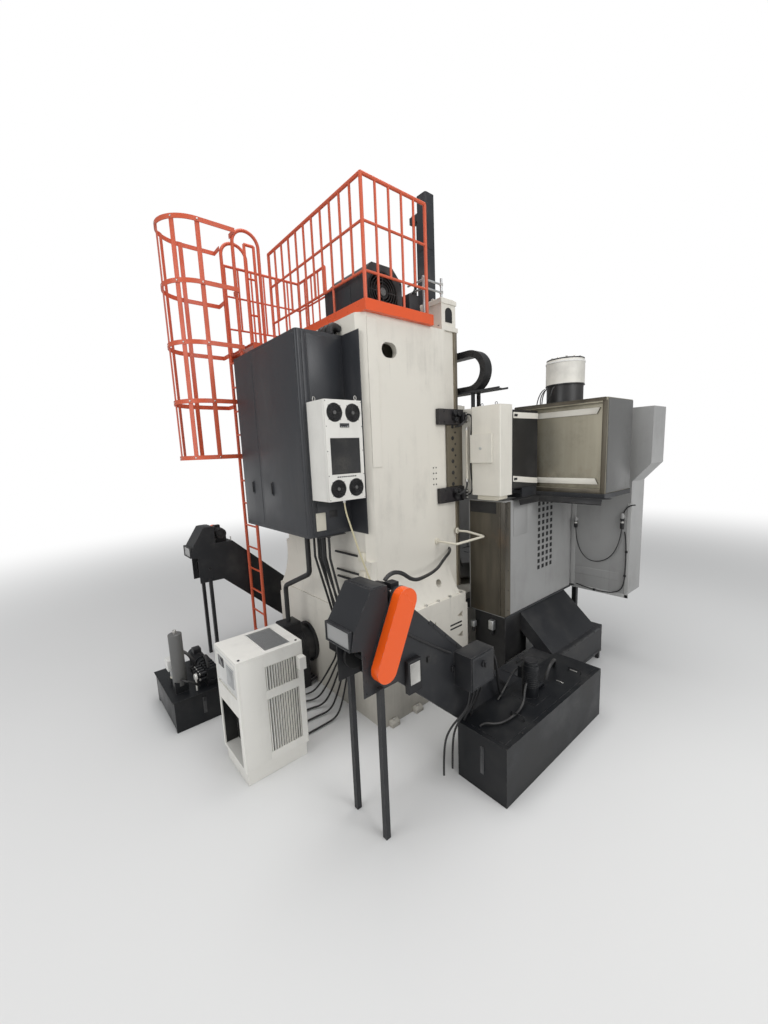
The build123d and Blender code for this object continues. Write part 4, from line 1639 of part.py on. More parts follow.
def wing_plugs():
    """The two plugs of the wing's cable, each on a foot on the wing's rear sheet."""
    plugs = []
    for end in (wing_cable_route()[0], wing_cable_route()[-1]):
        plug = rod(end, end + Vector(0, 0, PLUG_LENGTH), PLUG_RADIUS)
        foot = block(end.X - PLUG_RADIUS, end.X + PLUG_RADIUS, WING_REAR, end.Y, end.Z + PLUG_LENGTH / 4,
                     end.Z + PLUG_LENGTH * 3 / 4)
        plugs.append(plug + foot)
    return union(plugs)


nodes["bed_casting"] = bed_casting()
nodes["column"] = column()
nodes["column_ways"] = column_ways()
nodes["lift_screw_left"] = lift_screw()
nodes["lift_screw_right"] = other_side(lift_screw())
nodes["lift_gearboxes"] = lift_gearboxes()
nodes["lift_cross_shaft"] = lift_cross_shaft()
nodes["lift_motor_cowl"] = lift_motor_cowl()
nodes["work_platform"] = work_platform()
nodes["platform_railing"] = platform_railing()
nodes["walkway"] = walkway()
nodes["ladder"] = ladder()
nodes["ladder_cage"] = ladder_cage()
nodes["crossrail"] = crossrail()
nodes["crossrail_clamps"] = crossrail_clamps()
nodes["crossrail_end_cover"] = crossrail_end_cover()
nodes["x_ball_screw"] = x_ball_screw()
nodes["x_servo_motor"] = x_servo_motor()
nodes["chain_tray"] = chain_tray()
nodes["cable_chain"] = cable_chain()
nodes["saddle"] = saddle()
nodes["ram"] = ram()
nodes["ram_tower"] = ram_tower()
nodes["tool_holder"] = tool_holder()
nodes["magazine_bracket"] = magazine_bracket()
nodes["magazine_housing"] = magazine_housing()
nodes["magazine_panel"] = magazine_panel()
nodes["magazine_shutter"] = magazine_shutter()
nodes["tool_magazine"] = tool_magazine()
nodes["magazine_drum"] = magazine_drum()
nodes["table"] = table()
nodes["table_bearing"] = table_bearing()
for i in range(4):
    nodes[f"jaw_{i + 1}"] = turned(jaw(), 90 * i)
nodes["main_motor"] = main_motor()
nodes["electrical_cabinet"] = electrical_cabinet()
nodes["cabinet_door_left"] = cabinet_door(CABINET_LEFT, DOOR_SEAM_X - SLIDE_GAP, -1)
nodes["cabinet_door_right"] = cabinet_door(DOOR_SEAM_X + SLIDE_GAP, CABINET_RIGHT, 1)
nodes["cooling_unit"] = cooling_unit()
nodes["chip_pan"] = chip_pan()
nodes["splash_guard_left"] = splash_guard(True)
nodes["splash_guard_right"] = other_side(splash_guard(False))
nodes["front_guard"] = front_guard() + wing_plugs()
nodes["front_door_left"] = front_door()
nodes["front_door_right"] = other_side(front_door())
nodes["operator_pendant"] = operator_pendant()
nodes["emergency_stop"] = emergency_stop()
nodes["coolant_tank"] = coolant_tank()
nodes["left_conveyor"] = apart([conveyor(), conveyor_control_box()])
nodes["right_conveyor"] = other_side(conveyor())
nodes["left_head_shaft"] = head_shaft()
nodes["right_head_shaft"] = other_side(head_shaft())
nodes["belt_guards"] = belt_guards()
nodes["conveyor_motors"] = conveyor_motors()
nodes["chiller"] = chiller()
nodes["hydraulic_unit"] = hydraulic_unit()
nodes["cabinet_conduits"] = cabinet_conduits()
nodes["wing_cable"] = wing_cable()

for name, shape in nodes.items():
    export_step(shape, f"parts/{name}.step")
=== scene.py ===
import bmesh
import bpy
import json
from contextlib import contextmanager
from math import cos, pi, radians, sin
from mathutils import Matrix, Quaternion, Vector


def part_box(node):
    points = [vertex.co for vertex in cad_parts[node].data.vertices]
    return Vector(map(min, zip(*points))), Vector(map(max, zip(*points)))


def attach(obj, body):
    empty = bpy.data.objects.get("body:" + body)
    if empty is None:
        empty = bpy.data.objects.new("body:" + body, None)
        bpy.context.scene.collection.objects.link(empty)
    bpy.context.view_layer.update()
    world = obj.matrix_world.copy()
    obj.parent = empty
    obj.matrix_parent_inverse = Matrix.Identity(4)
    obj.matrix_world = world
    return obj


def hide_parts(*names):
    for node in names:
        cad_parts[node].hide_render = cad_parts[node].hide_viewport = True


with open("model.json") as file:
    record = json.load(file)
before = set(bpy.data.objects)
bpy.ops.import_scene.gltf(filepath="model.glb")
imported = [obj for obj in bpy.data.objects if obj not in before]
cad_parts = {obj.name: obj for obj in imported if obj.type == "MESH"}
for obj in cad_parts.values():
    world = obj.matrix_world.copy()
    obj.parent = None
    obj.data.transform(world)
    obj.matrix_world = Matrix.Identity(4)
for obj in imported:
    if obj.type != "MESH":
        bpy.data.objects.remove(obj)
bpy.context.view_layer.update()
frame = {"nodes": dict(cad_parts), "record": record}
nodes = frame["nodes"]


# The viewpoint, behind the machine and to its left, with a very wide lens

EYE = Vector((-3.8989, 4.6514, 2.7079))
HEADING = radians(-40.0355)
TILT_DOWN = radians(8.4333)
ROLL = radians(2.4453)
LENS = 14.374


def add_camera():
    camera = bpy.data.objects.new("viewpoint", bpy.data.cameras.new("viewpoint"))
    bpy.context.scene.collection.objects.link(camera)
    camera.data.lens = LENS
    camera.data.clip_end = 200
    ahead = Vector((cos(HEADING) * cos(TILT_DOWN), sin(HEADING) * cos(TILT_DOWN), -sin(TILT_DOWN)))
    camera.location = EYE
    camera.rotation_mode = "QUATERNION"
    camera.rotation_quaternion = ahead.to_track_quat("-Z", "Y") @ Quaternion((0, 0, 1), -ROLL)
    bpy.context.scene.camera = camera


add_camera()


# The free cable on the left door pocket

WING_CABLE = [(-2.06, -0.581, 1.79), (-2.06, -0.581, 1.65), (-2.035, -0.567, 1.49), (-1.985, -0.561, 1.36),
    (-1.9, -0.559, 1.27), (-1.79, -0.559, 1.225), (-1.68, -0.561, 1.24), (-1.595, -0.565, 1.32),
    (-1.545, -0.569, 1.44), (-1.512, -0.581, 1.58), (-1.512, -0.581, 1.7)]
WING_CABLE_WIDTH = 0.012


def curve_along(name, points, width, steps, roundness, point_width=1):
    """A round curve along points. The cord's width lies in its points: its box is measured with them."""
    line = bpy.data.curves.new(name, "CURVE")
    line.dimensions = "3D"
    run = line.splines.new("NURBS")
    run.points.add(len(points) - 1)
    for point, place in zip(run.points, points):
        point.co = (*place, 1)
        point.radius = point_width
    run.order_u = 3
    run.use_endpoint_u = True
    run.resolution_u = steps
    line.bevel_depth = width
    line.bevel_resolution = roundness
    line.use_fill_caps = True
    piece = bpy.data.objects.new(name, line)
    bpy.context.scene.collection.objects.link(piece)
    return piece


def hang_wing_cable():
    cord = curve_along("wing_cord", WING_CABLE, 1, 10, 4, WING_CABLE_WIDTH / 2)
    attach(cord, "machine_frame")
    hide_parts("wing_cable")
    return cord


wing_cord = hang_wing_cable()


# Shader arithmetic: sums, products and comparisons are written on sockets

def plug(tree, item, target):
    """Feeds a socket with a signal or with a fixed value."""
    if isinstance(item, Signal):
        tree.links.new(item.socket, target)
    else:
        target.default_value = item


class Signal:
    def __init__(self, tree, socket):
        self.tree = tree
        self.socket = socket

    def math(self, operation, first, second):
        node = self.tree.nodes.new("ShaderNodeMath")
        node.operation = operation
        for target, item in zip(node.inputs, (first, second)):
            plug(self.tree, item, target)
        return Signal(self.tree, node.outputs[0])

    def __add__(self, other):
        return self.math("ADD", self, other)

    __radd__ = __add__

    def __sub__(self, other):
        return self.math("SUBTRACT", self, other)

    def __rsub__(self, other):
        return self.math("SUBTRACT", other, self)

    def __mul__(self, other):
        return self.math("MULTIPLY", self, other)

    __rmul__ = __mul__

    def __gt__(self, other):
        return self.math("GREATER_THAN", self, other)

    def __lt__(self, other):
        return self.math("LESS_THAN", self, other)


class Finish:
    """One surface finish: a material whose shader is fed by the expressions of its recipe."""

    def __init__(self, name, **fixed):
        self.material = bpy.data.materials.new(name)
        self.material.use_nodes = True
        self.tree = self.material.node_tree
        self.shader = self.tree.nodes["Principled BSDF"]
        for socket, value in fixed.items():
            self.shader.inputs[socket.replace("_", " ")].default_value = value

    def node(self, kind, settings, sockets, output=0):
        made = self.tree.nodes.new(kind)
        for key, value in settings.items():
            setattr(made, key, value)
        for key, value in sockets.items():
            plug(self.tree, value, made.inputs[key])
        return Signal(self.tree, made.outputs[output])

    def place(self, stretch=(1, 1, 1)):
        where = self.node("ShaderNodeTexCoord", {}, {}, "Object")
        return self.node("ShaderNodeMapping", {}, {"Vector": where, "Scale": stretch})

    def along(self, axis):
        """The coordinate along X, Y or Z, in metres."""
        return self.node("ShaderNodeSeparateXYZ", {}, {"Vector": self.place()}, axis)

    def noise(self, scale, detail, stretch=(1, 1, 1), roughness=0.55):
        return self.node("ShaderNodeTexNoise", {}, {"Vector": self.place(stretch), "Scale": scale,
            "Detail": detail, "Roughness": roughness})

    def cells(self, scale):
        return self.node("ShaderNodeTexVoronoi", {}, {"Vector": self.place(), "Scale": scale})

    def rise(self, signal, low, high, to_low=0.0, to_high=1.0):
        """A smooth step of a signal from low to high."""
        return self.node("ShaderNodeMapRange", {"interpolation_type": "SMOOTHSTEP"}, {"Value": signal,
            "From Min": low, "From Max": high, "To Min": to_low, "To Max": to_high})

    def edge(self, width):
        """1 on the outer edges of the piece, 0 on its flats."""
        rounded = self.node("ShaderNodeBevel", {"samples": 4}, {"Radius": width})
        flat = self.node("ShaderNodeNewGeometry", {}, {}, "Normal")
        match = self.node("ShaderNodeVectorMath", {"operation": "DOT_PRODUCT"}, {0: rounded, 1: flat},
            "Value")
        return self.rise(match, 0.97, 0.8)

    def mix(self, factor, first, second):
        sockets = {0: factor}
        for index, colour in ((6, first), (7, second)):
            sockets[index] = colour if isinstance(colour, Signal) else (*colour, 1.0)
        return self.node("ShaderNodeMix", {"data_type": "RGBA"}, sockets, 2)

    def feed(self, socket, value):
        plug(self.tree, value, self.shader.inputs[socket])

    def bump(self, height, distance, rounding=0.0):
        sockets = {"Strength": 1.0, "Distance": distance, "Height": height}
        if rounding:
            sockets["Normal"] = self.node("ShaderNodeBevel", {"samples": 4}, {"Radius": rounding})
        self.feed("Normal", self.node("ShaderNodeBump", {}, sockets))


def shade(colour, factor):
    return tuple(min(1.0, channel * factor) for channel in colour)


def blend(first, second, share):
    return tuple(a * (1 - share) + b * share for a, b in zip(first, second))


def enamel(name, colour, gloss=0.38, soil_colour=(0.1, 0.09, 0.075), soil=0.4, wear=0.5,
        metal=(0.3, 0.29, 0.28), peel=0.00035, low=0.0, runs=0.0):
    """Sprayed machine enamel: orange peel, cloudy handling dirt, runs below, and worn or dirty edges."""
    paint = Finish(name)
    cloud = paint.noise(1.15, 6.0, roughness=0.64)
    smear = paint.noise(7.0, 4.0, (1, 1, 0.22), 0.6)
    drift = paint.rise(paint.noise(0.45, 2.0), 0.32, 0.68)
    tone = paint.mix(drift, shade(colour, 0.94), shade(colour, 1.03))
    grime = paint.rise(cloud * 0.62 + smear * 0.38, 0.47, 0.72) * soil
    if low:
        grime = grime + paint.rise(paint.along("Z") + cloud * 0.5, low, 0.15) * 0.55
    if runs:
        run = paint.rise(paint.noise(16.0, 2.0, (1, 1, 0.05)), 0.6, 0.78)
        grime = grime + run * paint.rise(cloud, 0.42, 0.62) * runs
    dirty = paint.mix(grime, tone, blend(soil_colour, colour, 0.25))
    ragged = paint.edge(0.007) * paint.rise(paint.noise(24.0, 4.0, roughness=0.7), 0.46, 0.6) * wear
    paint.feed("Base Color", paint.mix(ragged, dirty, metal))
    paint.feed("Roughness", paint.rise(cloud, 0.3, 0.7, gloss - 0.07, gloss + 0.12) + grime * 0.2)
    paint.bump(paint.noise(190.0, 2.0), peel, rounding=0.004)
    return paint.material


def bare_steel(name, colour, gloss, grain, scale, rust=0.0, oil=0.5):
    """Ground, turned or rolled steel: a fine grain, cloudy oil stains and, where asked, brown rust."""
    steel = Finish(name, Metallic=0.85)
    line = steel.noise(scale, 4.0, grain)
    stain = steel.noise(2.1, 6.0, roughness=0.68)
    tone = steel.mix(line, shade(colour, 0.8), shade(colour, 1.14))
    toned = steel.mix(steel.rise(stain, 0.46, 0.7) * oil, tone, shade(colour, 0.42))
    if rust:
        patch = steel.rise(steel.noise(2.6, 6.0, (1, 1, 0.5), 0.72), 0.6 - rust * 0.16, 0.76) * rust
        toned = steel.mix(patch, toned, (0.17, 0.095, 0.05))
    rim = steel.edge(0.005) * 0.5
    steel.feed("Base Color", steel.mix(rim, toned, shade(colour, 1.3)))
    steel.feed("Roughness", steel.rise(stain, 0.3, 0.75, gloss, gloss + 0.25))
    steel.bump(line, 0.00018, rounding=0.003)
    return steel.material


def dark_crackle(name, colour, gloss=0.46, dust=0.3, wear=0.45, grit=0.0005):
    """Dark crackle paint, moulded plastic or rubber, with pale dust in its clouds and rubbed edges."""
    black = Finish(name, Specular_IOR_Level=0.3)
    cloud = black.noise(1.9, 5.0, roughness=0.62)
    veil = black.rise(cloud, 0.45, 0.74) * dust
    dusty = black.mix(veil, colour, (0.13, 0.125, 0.115))
    rubbed = black.edge(0.006) * black.rise(black.noise(20.0, 4.0), 0.42, 0.6) * wear
    black.feed("Base Color", black.mix(rubbed, dusty, (0.16, 0.155, 0.15)))
    black.feed("Roughness", black.rise(cloud, 0.3, 0.7, gloss - 0.08, gloss + 0.16))
    black.bump(black.noise(170.0, 2.0), grit, rounding=0.003)
    return black.material


def conduit_rubber(name):
    """Black cable jacket with a slight sheen, dusty on its upper side."""
    rubber = Finish(name)
    cloud = rubber.noise(6.0, 4.0)
    up = rubber.node("ShaderNodeSeparateXYZ", {},
        {"Vector": rubber.node("ShaderNodeNewGeometry", {}, {}, "Normal")}, "Z")
    rubber.feed("Base Color", rubber.mix(rubber.rise(up, 0.1, 1.0) * rubber.rise(cloud, 0.35, 0.7) * 0.6,
        (0.016, 0.016, 0.017), (0.11, 0.105, 0.1)))
    rubber.feed("Roughness", rubber.rise(cloud, 0.3, 0.7, 0.42, 0.6))
    rubber.bump(rubber.noise(300.0, 2.0), 0.00015)
    return rubber.material


def smooth_glass(name, colour, gloss):
    """Glossy pane, dial glass or clear hose, with a faint film of dust."""
    glass = Finish(name, Coat_Roughness=0.05)
    film = glass.rise(glass.noise(3.2, 5.0), 0.45, 0.75)
    glass.feed("Base Color", glass.mix(film * 0.25, colour, blend(colour, (0.3, 0.29, 0.27), 0.35)))
    glass.feed("Roughness", glass.rise(film, 0.0, 1.0, gloss, gloss + 0.22))
    glass.feed("Coat Weight", glass.rise(film, 0.0, 1.0, 0.8, 0.3))
    return glass.material


def oiled_sheet_with_painted_sheen(name):
    """Rear sheets browned by oil and swarf: dark olive with a painted reflection, soft upright smears and
    painted sheen.
    """
    sheet = Finish(name)
    cloud = sheet.noise(1.3, 5.0, (1, 1, 0.3), 0.6)
    smear = sheet.noise(9.0, 3.0, (1, 1, 0.12), 0.55)
    # Dark to lighter olive along upright streaks: partly oil smears, partly painted sheen and painted
    # reflection of dark surroundings
    depth = sheet.rise(cloud * 0.7 + smear * 0.3, 0.38, 0.66)
    rust = sheet.rise(sheet.noise(3.1, 6.0, roughness=0.7), 0.56, 0.74) * 0.5
    tone = sheet.mix(depth, (0.052, 0.045, 0.033), (0.135, 0.118, 0.088))
    sheet.feed("Base Color", sheet.mix(rust, tone, (0.11, 0.07, 0.038)))
    sheet.feed("Metallic", sheet.rise(depth, 0.0, 1.0, 0.25, 0.45))
    sheet.feed("Roughness", sheet.rise(cloud, 0.3, 0.7, 0.26, 0.48))
    sheet.bump(smear, 0.0006, rounding=0.003)
    return sheet.material


def banded(name, low, high, inner, outer):
    """One tone between two heights and another above and below them, both oily and worn at the edges."""
    paint = Finish(name)
    height = paint.along("Z")
    band = (height > low) * (height < high)
    cloud = paint.noise(2.4, 5.0, roughness=0.62)
    soil = paint.rise(cloud, 0.46, 0.72) * 0.5
    inside = paint.mix(soil, inner, shade(inner, 0.55))
    outside = paint.mix(soil, outer, (0.06, 0.052, 0.046))
    worn = paint.edge(0.005) * paint.rise(paint.noise(22.0, 4.0), 0.45, 0.62) * 0.5
    paint.feed("Base Color", paint.mix(worn, paint.mix(band, outside, inside), (0.3, 0.28, 0.25)))
    paint.feed("Roughness", paint.rise(cloud, 0.3, 0.7, 0.32, 0.52))
    paint.bump(paint.noise(180.0, 2.0), 0.0003, rounding=0.004)
    return paint.material


def woven_mesh(name):
    """Black filter cloth: fine holes in rows, with dust caught in its clouds."""
    mesh = Finish(name)
    holes = mesh.rise(mesh.cells(230.0), 0.25, 0.45)
    dust = mesh.rise(mesh.noise(5.0, 5.0), 0.42, 0.72)
    threads = mesh.mix(dust * 0.5, (0.02, 0.02, 0.021), (0.11, 0.105, 0.095))
    mesh.feed("Base Color", mesh.mix(holes, (0.004, 0.004, 0.004), threads))
    mesh.feed("Roughness", mesh.rise(dust, 0.0, 1.0, 0.62, 0.85))
    mesh.bump(holes, 0.0006)
    return mesh.material


finishes = {
    "casting_white": enamel("casting_enamel", (0.8, 0.765, 0.685), soil=0.3, wear=0.25, low=1.15,
        runs=0.25),
    "cover_white": enamel("cover_enamel", (0.82, 0.79, 0.71), soil=0.22, wear=0.3, runs=0.2),
    "drum_white": enamel("drum_enamel", (0.8, 0.795, 0.765), soil=0.25, wear=0.3, runs=0.3),
    "cooler_white": enamel("cooler_powder", (0.83, 0.815, 0.765), 0.42, soil=0.22, wear=0.2),
    "pendant_grey": enamel("pendant_powder", (0.7, 0.7, 0.68), 0.42, soil=0.2, wear=0.3),
    "cabinet_charcoal": enamel("cabinet_powder", (0.027, 0.029, 0.034), 0.4, (0.12, 0.115, 0.11), 0.35, 0.5,
        (0.2, 0.2, 0.2), 0.0005),
    "dark_paint": dark_crackle("dark_enamel", (0.03, 0.032, 0.036)),
    "rail_orange": enamel("rail_enamel", (0.66, 0.115, 0.05), 0.36, (0.13, 0.05, 0.03), 0.4, 0.5),
    "skirt_orange": enamel("skirt_enamel", (0.8, 0.105, 0.025), 0.34, (0.16, 0.06, 0.03), 0.35, 0.5),
    "guard_orange": enamel("belt_guard_enamel", (0.9, 0.11, 0.008), 0.3, (0.2, 0.05, 0.02), 0.3, 0.6),
    "guard_grey": enamel("guard_enamel", (0.345, 0.345, 0.34), 0.4, (0.12, 0.11, 0.1), 0.35, 0.5,
        runs=0.35),
    "panel_steel": bare_steel("stained_sheet", (0.36, 0.335, 0.265), 0.36, (1, 1, 0.06), 14.0, rust=0.35),
    "way_steel": bare_steel("ground_way", (0.3, 0.265, 0.21), 0.3, (1, 1, 0.05), 60.0, rust=0.4),
    "screw_steel": bare_steel("turned_steel", (0.6, 0.6, 0.59), 0.22, (1, 1, 1), 60.0),
    "tool_steel": bare_steel("tool_steel", (0.46, 0.46, 0.47), 0.3, (1, 1, 1), 44.0),
    "cast_grey": bare_steel("machined_casting", (0.3, 0.3, 0.305), 0.38, (1, 1, 1), 30.0, oil=0.7),
    "shade_grey": enamel("shade_enamel", (0.125, 0.125, 0.122), 0.42, (0.12, 0.11, 0.1), 0.35, 0.5,
        runs=0.35),
    "pan_grey": dark_crackle("conveyor_enamel", (0.024, 0.025, 0.028), 0.42, 0.3, 0.6),
    "tank_black": dark_crackle("tank_enamel", (0.009, 0.01, 0.012), 0.36, 0.16, 0.4),
    "motor_black": dark_crackle("motor_enamel", (0.018, 0.018, 0.02), 0.42),
    "chain_black": dark_crackle("link_plastic", (0.02, 0.02, 0.021), 0.5, 0.35, 0.2),
    "stop_red": enamel("button_red", (0.55, 0.012, 0.01), 0.22, soil=0.1, wear=0.0),
    "cable_black": conduit_rubber("cable_jacket"),
    # Black oxide for screws and fittings; also the near-black of the painted-shade sheets under the splash
    # guard
    "bolt_black": dark_crackle("black_oxide_and_shade_sheet", (0.016, 0.016, 0.017), 0.36, 0.2, 0.5, 0.0001),
    "zinc_plate": bare_steel("zinc_plated", (0.62, 0.61, 0.58), 0.26, (1, 1, 1), 50.0, oil=0.35),
    "guard_wire": bare_steel("bright_wire", (0.66, 0.65, 0.63), 0.22, (1, 1, 1), 50.0, oil=0.3),
    "galvanised": bare_steel("galvanised_tube", (0.56, 0.57, 0.57), 0.34, (1, 1, 1), 24.0, oil=0.25),
    "brushed_plate": bare_steel("brushed_plate", (0.64, 0.63, 0.6), 0.3, (1, 16, 1), 40.0, oil=0.2),
    # Black moulded plastic; also set flat into holes, slots and gaps as painted shade
    "plastic_and_painted_shade": dark_crackle("moulded_plastic_and_painted_shade", (0.012, 0.012, 0.013), 0.44, 0.2, 0.1),
    "tube_cream": enamel("tube_enamel", (0.74, 0.7, 0.59), 0.34, soil=0.3, wear=0.3),
    # Browned sheet: oil stains with painted reflection and painted sheen
    "brown_sheet": oiled_sheet_with_painted_sheen("browned_sheet_painted_sheen"),
    # Lighter copy of the guard grey for the wing rims: painted highlight
    "guard_rim_highlight": enamel("wing_rim_highlight_enamel", (0.47, 0.47, 0.46), 0.4, (0.12, 0.11, 0.1), 0.3, 0.5),
    "clamp_black": banded("clamp_and_keeper", 2.2826, 2.9649, (0.135, 0.115, 0.08), (0.02, 0.018, 0.02)),
    "drum_bands": banded("drum_and_lid", 3.372, 3.636, (0.78, 0.76, 0.7), (0.018, 0.018, 0.019)),
    "window_glass": smooth_glass("window_glass", (0.016, 0.02, 0.022), 0.06),
    "screen_glass": smooth_glass("screen_glass", (0.01, 0.011, 0.014), 0.12),
    "filter_mesh": woven_mesh("filter_mesh"),
    "drain_tube": smooth_glass("drain_tube", (0.62, 0.56, 0.36), 0.28),
    "gauge_face": smooth_glass("gauge_face", (0.78, 0.77, 0.73), 0.12),
}
slot_of = {part["node"]: part["material_slot"] for part in frame["record"]["subparts"]}
FINISH_OF = {"crossrail_clamps": "clamp_black", "magazine_drum": "drum_bands", "chain_tray": "dark_paint",
    "left_head_shaft": "bolt_black", "right_head_shaft": "bolt_black"}
for node, piece in nodes.items():
    piece.data.materials.clear()
    piece.data.materials.append(finishes[FINISH_OF.get(node, slot_of[node])])
wing_cord.data.materials.append(finishes["cable_black"])


# Making a piece: a primitive at its size and place, shaped in edit mode

ENDS = ((-1, "left"), (1, "right"))
FRAME, RAIL = "machine_frame", "crossrail_unit"
UP, DOWN, REAR, FRONT, RIGHT, LEFT = (0, 0, 1), (0, 0, -1), (0, 1, 0), (0, -1, 0), (1, 0, 0), (-1, 0, 0)
# How far a fitting sits in the face under it, in metres
BITE = 0.0006
# An edge sharper than this is rounded off, and isn't shaded smooth
CREASE = radians(40)


def take(piece):
    bpy.ops.object.select_all(action="DESELECT")
    piece.select_set(True)
    bpy.context.view_layer.objects.active = piece


@contextmanager
def shaping(piece, faces=None, edges=None):
    """Edit mode with the faces, or the edges, that pass a test selected, or with the whole piece."""
    take(piece)
    bpy.ops.object.mode_set(mode="EDIT")
    if faces or edges:
        bpy.ops.mesh.select_mode(type="FACE" if faces else "EDGE")
        bpy.ops.mesh.select_all(action="DESELECT")
        shape = bmesh.from_edit_mesh(piece.data)
        for item in shape.faces if faces else shape.edges:
            if (faces or edges)(item):
                item.select_set(True)
        bmesh.update_edit_mesh(piece.data)
    else:
        bpy.ops.mesh.select_all(action="SELECT")
    yield
    bpy.ops.object.mode_set(mode="OBJECT")


def facing(way):
    return lambda face: face.normal.dot(Vector(way)) > 0.95


def middle_of(item):
    return sum((corner.co for corner in item.verts), Vector()) / len(item.verts)


def settled():
    bpy.ops.object.transform_apply(location=True, rotation=True, scale=True)
    return bpy.context.object


def bar(corner, far_corner):
    """A box between two opposite corners, in any order."""
    bpy.ops.object.select_all(action="DESELECT")
    low, high = Vector(map(min, corner, far_corner)), Vector(map(max, corner, far_corner))
    bpy.ops.mesh.primitive_cube_add(size=1, location=(low + high) / 2, scale=high - low)
    return settled()


def round_bar(start, end, radius, sides):
    bpy.ops.object.select_all(action="DESELECT")
    start, end = Vector(start), Vector(end)
    run = end - start
    bpy.ops.mesh.primitive_cylinder_add(vertices=sides, radius=radius, depth=run.length,
        location=(start + end) / 2, rotation=run.to_track_quat("Z", "Y").to_euler())
    return settled()


def wire_ring(centre, way, radius, wire, turns, around):
    bpy.ops.object.select_all(action="DESELECT")
    bpy.ops.mesh.primitive_torus_add(location=centre,
        rotation=Vector(way).to_track_quat("Z", "Y").to_euler(), major_radius=radius, minor_radius=wire,
        major_segments=turns, minor_segments=around)
    return settled()


def stepped(piece, way, *steps):
    """Insets the faces that look one way; each step is an inset, a rise of its slope and a push."""
    with shaping(piece, faces=facing(way)):
        for inset, slope, push in steps:
            bpy.ops.mesh.inset(thickness=inset, depth=slope)
            if push:
                bpy.ops.mesh.extrude_region_move(TRANSFORM_OT_translate={"value": Vector(way) * push})
    return piece


def cut_off(piece, at, way):
    """Cuts away what lies beyond a plane and closes the cut."""
    with shaping(piece):
        bpy.ops.mesh.bisect(plane_co=at, plane_no=way, use_fill=True, clear_outer=True)
    return piece


def apply_modifier(piece, kind, **settings):
    take(piece)
    change = piece.modifiers.new("change", kind)
    for key, value in settings.items():
        setattr(change, key, value)
    bpy.ops.object.modifier_apply(modifier=change.name)


def in_rows(piece, *rows):
    """Sets a piece out in rows: each is a count and the step to the next one."""
    for count, step in rows:
        apply_modifier(piece, "ARRAY", use_relative_offset=False, use_constant_offset=True, count=count,
            constant_offset_displace=step)
    return piece


def joined(pieces):
    take(pieces[0])
    for piece in pieces:
        piece.select_set(True)
    bpy.ops.object.join()
    return bpy.context.object


def dressed(piece, name, slot, finish=None, edge=0, segments=2, body=FRAME):
    """Rounds the edges and gives the piece its name, its body and its finish."""
    if edge:
        apply_modifier(piece, "BEVEL", width=edge, segments=segments, limit_method="ANGLE",
            angle_limit=CREASE)
    take(piece)
    bpy.ops.object.shade_smooth_by_angle(angle=CREASE)
    piece.name = piece.data.name = name
    piece.data.materials.clear()
    piece.data.materials.append(finishes[finish or slot])
    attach(piece, body)
    return piece


def cover(name, slot, corner, far_corner, way=None, *steps, finish=None, edge=0.0015, body=FRAME):
    """A plate or a box, plain or with a stepped face."""
    piece = bar(corner, far_corner)
    if steps:
        stepped(piece, way, *steps)
    dressed(piece, name, slot, finish, edge, body=body)


def disc(name, slot, start, end, radius, way=None, *steps, sides=28, finish=None, edge=0.001, body=FRAME):
    """A round plate or a round bar, plain or with a stepped end."""
    piece = round_bar(start, end, radius, sides)
    if steps:
        stepped(piece, way, *steps)
    dressed(piece, name, slot, finish, edge, body=body)


def screws(name, first, way, radius, rows, height=None, sides=12, finish="bolt_black", slot="tool_steel",
        body=FRAME):
    """Socket head screws, or hexagon heads with six sides: one is shaped and then set out in rows."""
    way = Vector(way)
    height = height or radius
    base = Vector(first) - way * BITE
    head = round_bar(base, base + way * height, radius, sides)
    if sides == 6:
        stepped(head, way, (radius * 0.18, radius * 0.12, 0))
    else:
        stepped(head, way, (radius * 0.14, radius * 0.1, 0), (radius * 0.34, 0, -height * 0.5))
    return dressed(in_rows(head, *rows), name, slot, finish, body=body)


def hose(name, points, radius, slot="cable_black", finish=None, tight=False, body=FRAME):
    """A hose or a bent tube along its points; a tight one has short round corners."""
    if tight:
        corners = [Vector(point) for point in points]
        route = [corners[0]]
        for before, corner, after in zip(corners, corners[1:], corners[2:]):
            for other in (before, after):
                reach = min(3 * radius, (other - corner).length * 0.45)
                route.append(corner + (other - corner).normalized() * reach)
                if other is before:
                    route.append(corner)
        points = route + [corners[-1]]
    take(curve_along(name, points, radius, 6, 3))
    bpy.ops.object.convert(target="MESH")
    dressed(bpy.context.object, name, slot, finish, body=body)


def eye_bolt(name, base, size, way=REAR, finish="zinc_plate", body=FRAME):
    """Lifting eye on its collar."""
    base = Vector(base)
    collar = round_bar(base - Vector((0, 0, BITE)), base + Vector((0, 0, size * 0.5)), size * 0.55, 20)
    stepped(collar, UP, (size * 0.15, size * 0.1, 0))
    loop = wire_ring(base + Vector((0, 0, size * 1.35)), way, size, size * 0.22, 24, 8)
    dressed(joined([collar, loop]), name, "tool_steel", finish, body=body)


